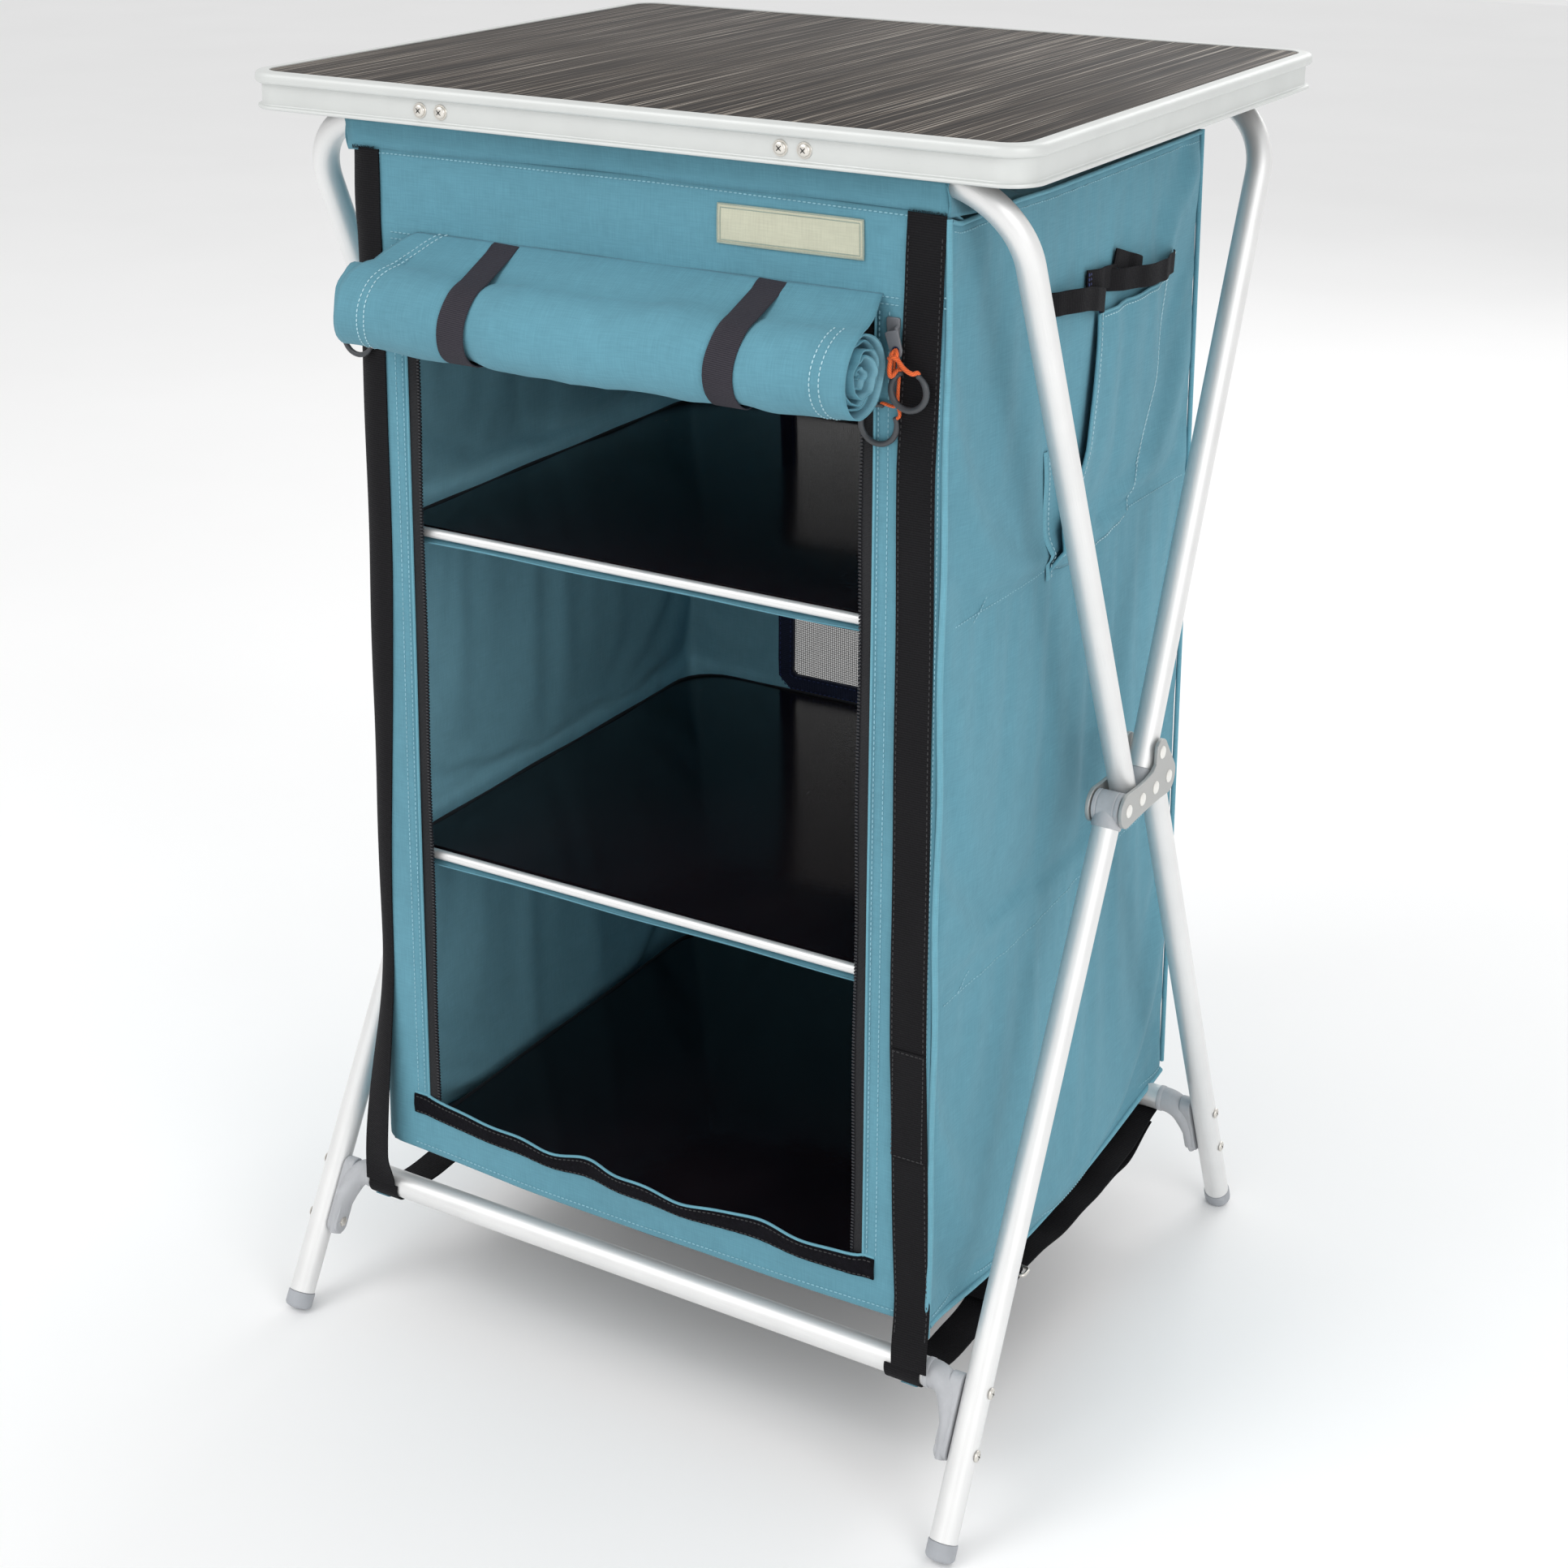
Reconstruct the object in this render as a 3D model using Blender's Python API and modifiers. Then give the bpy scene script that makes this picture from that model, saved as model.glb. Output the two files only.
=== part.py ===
"""Fabric camp kitchen cupboard on a folding tube frame.

Units are metres, +Z is up, the open front faces -Y. The shapes are laid out in a design frame whose
y = 0 lies at the hubs; one offset at the end centres the whole object's footprint on the origin.
Angles called polar lie in the YZ plane, from +Y towards +Z.
"""

import math

import bmesh
import bpy
from mathutils import Matrix, Vector

# ---------------------------------------------------------------- driving dimensions
OFFSET_Y = 0.0199  # design frame to object frame

TOP_W, TOP_D, TOP_Z = 0.600, 0.504, 0.943  # table top, over its edge frame
TOP_R = 0.026  # plan corner radius
BOARD_T = 0.006
EDGE_H = 0.0262  # height of the edge frame
SCREW_X = (0.130, 0.147)  # table screws, each side

TUBE_R, TUBE_WALL = 0.0095, 0.0012
TUBE_X = 0.2739  # centre planes of the side tubes

HUB_Z, PITCH = 0.445, 0.024
P1 = Vector((-0.0345, HUB_Z))  # front leg pivot (y, z)
P2 = Vector((P1.x + PITCH, HUB_Z))  # front hoop pivot
P3 = Vector((P2.x + PITCH, HUB_Z))  # rear hoop, lower rivet
P4 = Vector((P3.x + PITCH, HUB_Z))  # rear leg pivot
P5_UP = 0.0252  # rear hoop, upper rivet, this far up the tube
PLATE_T, PLATE_GAP = 0.003, 0.0110
PIN_R, PIN_HOLE_R, PIN_HEAD_R = 0.0025, 0.0028, 0.0043

HOOP_POLAR = {"front": 113.5, "rear": 65.7}
HOOP_LEN, HOOP_BEND = 0.511, 0.060
FRONT_FOOT_Y, REAR_FOOT_Y = -0.278, 0.2246
FRONT_BAR_S, REAR_BAR_S = 0.395, 0.371  # cross bars, this far down the leg
BOLT_PITCH = 0.0405
FOOT_R, FOOT_FLAT = 0.0102, 0.0005

BAG_FRONT, BAG_BACK = -0.2265, 0.2075
BAG_HALF_FRONT, BAG_HALF_BACK = 0.2350, 0.2250
BAG_LOW, BAG_HIGH = 0.1165, 0.8880
CLOTH = 0.0012
OPEN_HALF, OPEN_LOW, OPEN_HIGH = 0.1860, 0.1800, 0.8300
WINDOW_HALF, WINDOW_LOW, WINDOW_HIGH = 0.128, 0.378, 0.800

SHELF_T = 0.0045
SHELF_HALF, SHELF_FRONT, SHELF_BACK, SHELF_R = 0.2065, -0.2100, 0.1900, 0.035
SHELF_TOPS = {"upper": 0.6235, "middle": 0.3780, "floor": 0.1370}
RAIL_R, RAIL_Y, RAIL_HALF = 0.0035, -0.2170, 0.2040

ROLL_R, ROLL_Y, ROLL_Z, ROLL_X0, ROLL_X1 = 0.0310, -0.2590, 0.7905, -0.2020, 0.1950
SLIDER_X, SLIDER_Z = 0.2000, 0.8165
PULL_X, PULL_Y, PULL_Z = 0.2035, -0.2345, 0.8065  # the outer pull's pivot
INNER_Y, INNER_Z = -0.2299, 0.8050  # the inner pull, close to the panel
TIE_X = (-0.0980, 0.1085)
TIE_W, STRAP_W, WEB_T = 0.0300, 0.0250, 0.0012
STRAP_X = 0.2215
REAR_STRAP_X = 0.2085
GAP = 0.0003


# ---------------------------------------------------------------- scene
for old in list(bpy.data.objects):
    bpy.data.objects.remove(old, do_unlink=True)

PARTS = bpy.data.collections.new("camp_kitchen_cupboard")
CUTTERS = bpy.data.collections.new("cutters")
bpy.context.scene.collection.children.link(PARTS)
bpy.context.scene.collection.children.link(CUTTERS)


def material(name, rgb, roughness, metallic=0.0):
    m = bpy.data.materials.new(name)
    m.use_nodes = True
    bsdf = m.node_tree.nodes["Principled BSDF"]
    bsdf.inputs["Base Color"].default_value = (*rgb, 1.0)
    bsdf.inputs["Roughness"].default_value = roughness
    bsdf.inputs["Metallic"].default_value = metallic
    return m


LAMINATE = ("laminate", (0.12, 0.10, 0.09), 0.45, 0.0)
ALU = ("aluminium", (0.75, 0.77, 0.79), 0.35, 0.9)
EDGE = ("edge_aluminium", (0.82, 0.84, 0.84), 0.40, 0.6)
STEEL = ("steel", (0.62, 0.60, 0.57), 0.30, 1.0)
PLATE = ("plate_grey", (0.42, 0.43, 0.42), 0.45, 0.5)
PLASTIC = ("grey_plastic", (0.38, 0.40, 0.43), 0.50, 0.0)
BLUE = ("blue_fabric", (0.11, 0.30, 0.38), 0.85, 0.0)
BLACK = ("black_webbing", (0.012, 0.012, 0.014), 0.85, 0.0)
BOARD = ("black_board", (0.006, 0.006, 0.009), 0.25, 0.0)
MESH = ("mesh_cloth", (0.06, 0.055, 0.05), 0.90, 0.0)


# ---------------------------------------------------------------- building blocks
def register(obj, name, spec, smooth=True):
    obj.name = name
    if obj.data is not None:
        obj.data.name = name
        obj.data.materials.clear()
        obj.data.materials.append(material(f"{name}_{spec[0]}", *spec[1:]))
        if smooth and obj.type == "MESH":
            obj.data.shade_smooth()
            obj.data.set_sharp_from_angle(angle=math.radians(35))
    for c in list(obj.users_collection):
        c.objects.unlink(obj)
    PARTS.objects.link(obj)
    return obj


def helper(obj, name):
    """A cutter or guide: seen as wire, never rendered."""
    obj.name = name
    for c in list(obj.users_collection):
        c.objects.unlink(obj)
    CUTTERS.objects.link(obj)
    obj.hide_render = True
    obj.display_type = "WIRE"
    return obj


def from_bmesh(bm, name):
    mesh = bpy.data.meshes.new(name)
    bm.to_mesh(mesh)
    bm.free()
    obj = bpy.data.objects.new(name, mesh)
    bpy.context.scene.collection.objects.link(obj)
    return obj


def frozen(obj, weld=1e-6):
    """The evaluated shape as a mesh object of its own, in world coordinates; the source is removed."""
    bpy.context.view_layer.update()
    dg = bpy.context.evaluated_depsgraph_get()
    mesh = bpy.data.meshes.new_from_object(obj.evaluated_get(dg))
    mesh.transform(obj.matrix_world)
    bm = bmesh.new()
    bm.from_mesh(mesh)
    bmesh.ops.remove_doubles(bm, verts=bm.verts, dist=weld)
    bmesh.ops.recalc_face_normals(bm, faces=bm.faces)
    bm.to_mesh(mesh)
    bm.free()
    name = obj.name
    bpy.data.objects.remove(obj, do_unlink=True)
    new = bpy.data.objects.new(name, mesh)
    bpy.context.scene.collection.objects.link(new)
    return new


def path_tube(name, points, radius, sides=12, caps=True):
    """A round tube along straight runs and bends, as a curve with a bevel depth, made a mesh."""
    curve = bpy.data.curves.new(name, "CURVE")
    curve.dimensions = "3D"
    curve.bevel_depth = radius
    curve.bevel_resolution = (sides - 4) // 2
    curve.use_fill_caps = caps
    spline = curve.splines.new("POLY")
    spline.points.add(len(points) - 1)
    for p, co in zip(spline.points, points):
        p.co = (*co, 1.0)
    obj = bpy.data.objects.new(name, curve)
    bpy.context.scene.collection.objects.link(obj)
    return frozen(obj)


def hollow(obj, wall):
    """Open-ended tube: the skin thickened inwards."""
    mod = obj.modifiers.new("wall", "SOLIDIFY")
    mod.thickness = wall
    mod.offset = -1.0
    mod.use_even_offset = True
    return frozen(obj)


def outline(name, loops, half, frame):
    """A flat outline (its holes are further loops) with an extrude of half its thickness.
    frame is the matrix that takes the outline's x, y and its normal z to the object."""
    curve = bpy.data.curves.new(name, "CURVE")
    curve.dimensions = "2D"
    curve.fill_mode = "BOTH"
    curve.extrude = half
    for loop in loops:
        spline = curve.splines.new("POLY")
        spline.points.add(len(loop) - 1)
        for p, co in zip(spline.points, loop):
            p.co = (co[0], co[1], 0.0, 1.0)
        spline.use_cyclic_u = True
    obj = bpy.data.objects.new(name, curve)
    bpy.context.scene.collection.objects.link(obj)
    obj.matrix_world = frame
    return frozen(obj)


def yz_frame(x):
    """Outlines drawn in (y, z), with their thickness along X about this x."""
    return Matrix(((0, 0, 1, x), (1, 0, 0, 0), (0, 1, 0, 0), (0, 0, 0, 1)))


def xz_frame(y):
    """Outlines drawn in (x, z), with their thickness along Y about this y."""
    return Matrix(((1, 0, 0, 0), (0, 0, -1, y), (0, 1, 0, 0), (0, 0, 0, 1)))


def xy_frame(z):
    return Matrix.Translation((0, 0, z))


def turned(name, profile, base, axis, sides=12):
    """A turned piece: (radius, height) pairs down the outer side, then up the inner one, about axis from base."""
    mesh = bpy.data.meshes.new(name)
    n = len(profile)
    closed = profile[0][0] > 1e-7 or profile[-1][0] > 1e-7
    edges = [(i, i + 1) for i in range(n - 1)] + ([(n - 1, 0)] if closed else [])
    mesh.from_pydata([(r, 0.0, h) for r, h in profile], edges, [])
    obj = bpy.data.objects.new(name, mesh)
    bpy.context.scene.collection.objects.link(obj)
    mod = obj.modifiers.new("turn", "SCREW")
    mod.angle = math.tau
    mod.steps = mod.render_steps = sides
    mod.use_merge_vertices = True
    mod.merge_threshold = 0.000001
    mod.use_normal_calculate = False
    obj.matrix_world = Matrix.Translation(base) @ Vector(axis).to_track_quat("Z", "Y").to_matrix().to_4x4()
    return frozen(obj)


def cylinder(name, radius, start, end, sides=12):
    """A plain round bar from start to end."""
    start, end = Vector(start), Vector(end)
    bm = bmesh.new()
    bmesh.ops.create_cone(bm, cap_ends=True, segments=sides, radius1=radius, radius2=radius, depth=(end - start).length)
    obj = from_bmesh(bm, name)
    obj.matrix_world = Matrix.Translation((start + end) / 2) @ (end - start).to_track_quat("Z", "Y").to_matrix().to_4x4()
    return frozen(obj)


def box(name, low, high):
    bm = bmesh.new()
    bmesh.ops.create_cube(bm, size=1.0)
    size = [b - a for a, b in zip(low, high)]
    mid = [(a + b) / 2 for a, b in zip(low, high)]
    bmesh.ops.scale(bm, vec=size, verts=bm.verts)
    bmesh.ops.translate(bm, vec=mid, verts=bm.verts)
    return from_bmesh(bm, name)


def boolean(obj, others, operation):
    """obj cut by, or joined with, each of the others, which go to the cutters."""
    for i, other in enumerate(others):
        helper(other, f"{obj.name}_{operation.lower()}_{i}")
        mod = obj.modifiers.new(f"{operation.lower()}_{i}", "BOOLEAN")
        mod.operation = operation
        mod.object = other
    new = frozen(obj, weld=1e-7)
    for other in others:
        bpy.data.objects.remove(other, do_unlink=True)
    return new


def polar(angle):
    """Unit direction in the YZ plane."""
    return Vector((0.0, math.cos(math.radians(angle)), math.sin(math.radians(angle))))


def yz(point, x=0.0):
    return Vector((x, point.x, point.y))


def arc(centre, radius, start, end, steps):
    """Points of an arc in a plane, both ends included; angles in degrees."""
    return [
        (
            centre[0] + radius * math.cos(math.radians(start + (end - start) * i / steps)),
            centre[1] + radius * math.sin(math.radians(start + (end - start) * i / steps)),
        )
        for i in range(steps + 1)
    ]


def rounded_rectangle(x0, y0, x1, y1, radii, steps=5):
    """Corner radii in the order lower left, lower right, upper right, upper left."""
    corners = ((x0, y0, 180), (x1, y0, 270), (x1, y1, 0), (x0, y1, 90))
    points = []
    for (cx, cy, start), r in zip(corners, radii):
        if r <= 0:
            points.append((cx, cy))
            continue
        ox = cx + (r if cx == x0 else -r)
        oy = cy + (r if cy == y0 else -r)
        points += arc((ox, oy), r, start, start + 90, steps)
    return points


SIDES = (("left", -1.0), ("right", 1.0))


# ---------------------------------------------------------------- table top
def table_top():
    pieces = []
    hw, hd = TOP_W / 2, TOP_D / 2
    board_in = 0.0062
    board = outline(
        "top_board",
        [rounded_rectangle(-hw + board_in, -hd + board_in, hw - board_in, hd - board_in, [TOP_R - board_in] * 4, 4)],
        BOARD_T / 2,
        xy_frame(TOP_Z - 0.0018 - BOARD_T / 2),
    )
    # the field inside the edge frame's lip stands higher than the rim that the lip holds
    field_in = 0.0104
    field = outline(
        "top_field",
        [rounded_rectangle(-hw + field_in, -hd + field_in, hw - field_in, hd - field_in, [TOP_R - field_in] * 4, 4)],
        0.0016,
        xy_frame(TOP_Z - 0.0006 - 0.0016),
    )
    board = boolean(board, [field], "UNION")
    pieces.append(register(board, "top_board", LAMINATE))

    # Edge frame: a channel that holds the board, with a proud band above a recessed web and a small lower lip.
    section = [
        (0.0100, 0.0),
        (0.0032, 0.0),
        (0.0010, -0.0009),
        (0.0, -0.0032),
        (0.0, -0.0060),
        (0.0012, -0.0078),
        (0.0045, -0.0084),
        (0.0045, -0.0232),
        (0.0016, -0.0238),
        (0.0014, -0.0254),
        (0.0030, -EDGE_H),
        (0.0062, -EDGE_H),
        (0.0060, -0.0097),
        (0.0100, -0.0097),
        (0.0100, -0.0082),
        (0.0057, -0.0082),
        (0.0057, -0.0014),
        (0.0100, -0.0014),
    ]
    profile = bpy.data.curves.new("edge_section", "CURVE")
    profile.dimensions = "2D"
    spline = profile.splines.new("POLY")
    spline.points.add(len(section) - 1)
    for p, (u, v) in zip(spline.points, section):
        p.co = (u, v, 0.0, 1.0)
    spline.use_cyclic_u = True
    guide = bpy.data.objects.new("edge_section", profile)
    helper(guide, "edge_section")
    path = bpy.data.curves.new("top_edge_frame", "CURVE")
    path.dimensions = "2D"
    path.fill_mode = "NONE"
    spline = path.splines.new("POLY")
    plan = rounded_rectangle(-hw, -hd, hw, hd, [TOP_R] * 4, 4)
    spline.points.add(len(plan) - 1)
    for p, co in zip(spline.points, plan):
        p.co = (*co, 0.0, 1.0)
    spline.use_cyclic_u = True
    path.bevel_mode = "OBJECT"
    path.bevel_object = guide
    frame = bpy.data.objects.new("top_edge_frame", path)
    bpy.context.scene.collection.objects.link(frame)
    frame.location.z = TOP_Z
    frame = frozen(frame)
    bpy.data.objects.remove(guide, do_unlink=True)
    screw_z = TOP_Z - 0.0158
    holes = [
        cylinder("hole", 0.0023, (side * x, face * (hd - 0.0100), screw_z), (side * x, face * (hd + 0.001), screw_z), 8)
        for _, side in SIDES
        for x in SCREW_X
        for face in (-1, 1)
    ]
    frame = boolean(frame, holes, "DIFFERENCE")
    pieces.append(register(frame, "top_edge_frame", EDGE))

    # Tube brackets behind the web, each with the two screws that hold it.
    web_in, web_out = hd - 0.0060, hd - 0.0045
    for end, face in (("front", -1), ("rear", 1)):
        ty, tz = hoop_top(end)
        inner = 0.0100 if end == "front" else 0.0115
        outer = inner + 0.0030
        shelf_y = outer * math.cos(math.radians(28))
        if end == "front":
            ring_right = arc((0, 0), outer, -70, 28, 5)
            ring_left = arc((0, 0), outer, 130, 250, 6)
            bore = arc((0, 0), inner, 250, -70, 14)
        else:
            ring_right = arc((0, 0), outer, 6, 28, 2)
            ring_left = arc((0, 0), outer, 130, 174, 3)
            bore = arc((0, 0), inner, 174, 6, 8)
        # Drawn with the table edge to the left, then turned to the side it is on.
        web = -(web_in - GAP - ty)
        drop = TOP_Z - tz
        shape = (
            ring_right
            + [(shelf_y, drop - 0.0083), (web + 0.0044, drop - 0.0083), (web + 0.0044, drop - 0.0102), (web, drop - 0.0102), (web, drop - 0.0235)]
            + [(ring_left[0][0], drop - 0.0235)] * (ring_left[0][1] < drop - 0.0236)
            + ring_left
            + bore
        )
        shape = [(face * -1 * u, v) for u, v in shape]
        for side_name, side in SIDES:
            mid = side * (SCREW_X[0] + SCREW_X[1]) / 2
            moved = [(face * ty + u, tz + v) for u, v in shape]
            bracket = outline("bracket", [moved], 0.0150, yz_frame(mid))
            screws = []
            for x in SCREW_X:
                head = [(0.0, 0.0019), (0.0034, 0.0013), (0.0042, 0.0), (0.0019, 0.0), (0.0019, -0.0060), (0.0, -0.0060)]
                screws.append(turned("screw", head, (side * x, face * (web_out + GAP), screw_z), (0, face, 0), 8))
            bracket = boolean(bracket, screws, "UNION")
            pieces.append(register(bracket, f"{end}_bracket_{side_name}", PLASTIC))
    return pieces


def hoop_top(end):
    """Axis of a hoop's cross tube; x is its distance from the hub plane, unsigned."""
    d = polar(HOOP_POLAR[end])
    p = (P2 if end == "front" else P3) + Vector((d.y, d.z)) * HOOP_LEN
    return Vector((abs(p.x), p.y))


# ---------------------------------------------------------------- hoops
def hoop(end):
    pivot = P2 if end == "front" else P3
    d = polar(HOOP_POLAR[end])
    start = -0.0075 if end == "front" else 0.0120
    flat = [(TUBE_X, start), (TUBE_X, 0.20)]
    flat += arc((TUBE_X - HOOP_BEND, HOOP_LEN - HOOP_BEND), HOOP_BEND, 0, 90, 5)
    flat += [(-x, s) for x, s in reversed(flat)]
    points = [Vector((x, 0, 0)) + yz(pivot) + d * s for x, s in flat]
    tube = hollow(path_tube(f"{end}_hoop", points, TUBE_R, caps=False), TUBE_WALL)
    holes = []
    for _, side in SIDES:
        stations = (0.0,) if end == "front" else (P5_UP,)
        for s in stations:
            c = yz(pivot, side * TUBE_X) + d * s
            holes.append(cylinder("hole", PIN_HOLE_R, c - Vector((0.012, 0, 0)), c + Vector((0.012, 0, 0)), 10))
    tube = boolean(tube, holes, "DIFFERENCE")
    return register(tube, f"{end}_hoop", ALU)


def hoop_plug(side_name, side):
    """Rounded plug in the rear hoop's lower end, held by both rivets."""
    d = polar(HOOP_POLAR["rear"])
    spigot = TUBE_R - TUBE_WALL - 2 * GAP
    profile = [(0.0, 0.0330), (spigot, 0.0330), (spigot, 0.0117), (TUBE_R, 0.0117)]
    profile += [(TUBE_R * math.cos(math.radians(a)), TUBE_R * math.sin(math.radians(a))) for a in (0, -30, -60)]
    profile += [(0.0, -TUBE_R)]
    c = yz(P3, side * TUBE_X)
    plug = turned("rear_hoop_plug", profile, c, d)
    holes = []
    for s in (0.0, P5_UP):
        h = c + d * s
        holes.append(cylinder("hole", PIN_HOLE_R, h - Vector((0.012, 0, 0)), h + Vector((0.012, 0, 0)), 10))
    return register(boolean(plug, holes, "DIFFERENCE"), f"rear_hoop_plug_{side_name}", PLASTIC)


# ---------------------------------------------------------------- hubs
def hub_outline():
    """Plate around the four pivots in a row, with a horn up to the rear hoop's upper rivet."""
    d = polar(HOOP_POLAR["rear"])
    p5 = P3 + Vector((d.y, d.z)) * P5_UP
    low, top = 0.0125, 0.0115
    pts = arc(P1, low, 90, 270, 8)
    pts[0] = (P1.x, HUB_Z + top)
    pts += arc(P4, 0.0130, 270, 385, 6)
    pts += arc((p5.x, p5.y), 0.0098, 28, 142, 5)
    pts += [(P3.x - 0.0040, HUB_Z + top + 0.0012), (P2.x + 0.0080, HUB_Z + top)]
    return pts, p5


def pin(name, side, centre, spec=STEEL):
    """A headed pin through both plates."""
    half = PLATE_GAP + PLATE_T
    h = half + GAP
    profile = [(0.0, h + 0.0013), (0.0033, h + 0.0010), (PIN_HEAD_R, h), (PIN_R, h), (PIN_R, -h), (PIN_HEAD_R, -h), (0.0033, -h - 0.0010), (0.0, -h - 0.0013)]
    return turned(name, profile, yz(centre, side * TUBE_X), (1, 0, 0), 10)


def hubs():
    pieces = []
    shape, p5 = hub_outline()
    for side_name, side in SIDES:
        for place, way in (("outer", side), ("inner", -side)):
            fixed = (P2, P3, p5)
            loose = (P1, P4) if place == "outer" else (P1, P4, *fixed)
            holes = [arc(c, PIN_HOLE_R, 7 * i + 3, 7 * i + 327, 9) for i, c in enumerate(loose)]
            x = side * TUBE_X + way * (PLATE_GAP + PLATE_T / 2)
            plate = outline("plate", [shape, *holes], PLATE_T / 2, yz_frame(x))
            if place == "outer":
                plate = boolean(plate, [pin("rivet", side, c) for c in fixed], "UNION")
            pieces.append(register(plate, f"hub_plate_{place}_{side_name}", PLATE))
        pieces.append(register(pin("pin", side, P1), f"front_leg_pin_{side_name}", STEEL))
        pieces.append(register(pin("pin", side, P4), f"rear_leg_pin_{side_name}", STEEL))
    return pieces


# ---------------------------------------------------------------- legs
def leg_line(end):
    """Pivot, unit direction down the leg, and the length to the floor line."""
    pivot, foot = (P1, FRONT_FOOT_Y) if end == "front" else (P4, REAR_FOOT_Y)
    v = Vector((0.0, foot - pivot.x, -pivot.y))
    return pivot, v.normalized(), v.length


def leg(end, side_name, side):
    pivot, d, _ = leg_line(end)
    base = yz(pivot, side * TUBE_X)
    start = 0.0042 if end == "front" else -0.0070
    centre_z = FOOT_R - FOOT_FLAT
    stop = (pivot.y - centre_z) / -d.z - 0.0036
    inner = TUBE_R - TUBE_WALL
    profile = [(TUBE_R, -start), (TUBE_R, -stop), (inner, -stop), (inner, -start)]
    tube = turned("leg", profile, base, -d)
    holes = []
    first = FRONT_BAR_S if end == "front" else REAR_BAR_S
    stations = [(first, 0.0023), (first + BOLT_PITCH, 0.0023)] + ([(0.0, PIN_HOLE_R)] if end == "rear" else [])
    for s, r in stations:
        c = base + d * s
        holes.append(cylinder("hole", r, c - Vector((0.012, 0, 0)), c + Vector((0.012, 0, 0)), 8 if r < PIN_HOLE_R else 10))
    return register(boolean(tube, holes, "DIFFERENCE"), f"{end}_leg_{side_name}", ALU)


def foot_cap(end, side_name, side):
    """Rounded cap with a spigot in the tube and a small flat where it stands."""
    pivot, d, _ = leg_line(end)
    centre_z = FOOT_R - FOOT_FLAT
    s = (pivot.y - centre_z) / -d.z
    c = yz(pivot, side * TUBE_X) + d * s
    spigot = TUBE_R - TUBE_WALL - 2 * GAP
    profile = [(0.0, 0.0200), (spigot, 0.0200), (spigot, 0.0033), (FOOT_R - 0.0004, 0.0033), (FOOT_R, 0.0026)]
    profile += [(FOOT_R * math.cos(math.radians(a)), FOOT_R * math.sin(math.radians(a))) for a in (0, -18, -36, -54, -72)]
    profile += [(0.0, -FOOT_R)]
    cap = turned("cap", profile, c, -d)
    floor = box("floor", (c.x - 0.03, c.y - 0.03, -0.03), (c.x + 0.03, c.y + 0.03, 0.0))
    return register(boolean(cap, [floor], "DIFFERENCE"), f"{end}_foot_cap_{side_name}", PLASTIC)


def knuckle(side_name, side):
    """T-piece between the plates: it turns on the front leg pin and holds the leg's upper end."""
    pivot, d, _ = leg_line("front")
    c = yz(pivot, side * TUBE_X)
    half = Vector((PLATE_GAP - 0.0006, 0, 0))
    barrel = cylinder("barrel", 0.0115, c - half, c + half, 16)
    sleeve = cylinder("sleeve", 0.0107, c, c + d * 0.0150, 16)
    barrel = boolean(barrel, [sleeve], "UNION")
    bore = cylinder("bore", TUBE_R + GAP, c + d * 0.0039, c + d * 0.030, 16)
    hole = cylinder("hole", PIN_HOLE_R, c - half * 1.5, c + half * 1.5, 10)
    return register(boolean(barrel, [bore, hole], "DIFFERENCE"), f"leg_knuckle_{side_name}", PLASTIC)


def cross_bar(end):
    pivot, d, _ = leg_line(end)
    c = yz(pivot) + d * (FRONT_BAR_S if end == "front" else REAR_BAR_S)
    bar = hollow(path_tube("bar", [c + Vector((x, 0, 0)) for x in (-0.2400, 0.2400)], TUBE_R, caps=False), TUBE_WALL)
    return register(bar, f"{end}_cross_bar", ALU)


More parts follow.
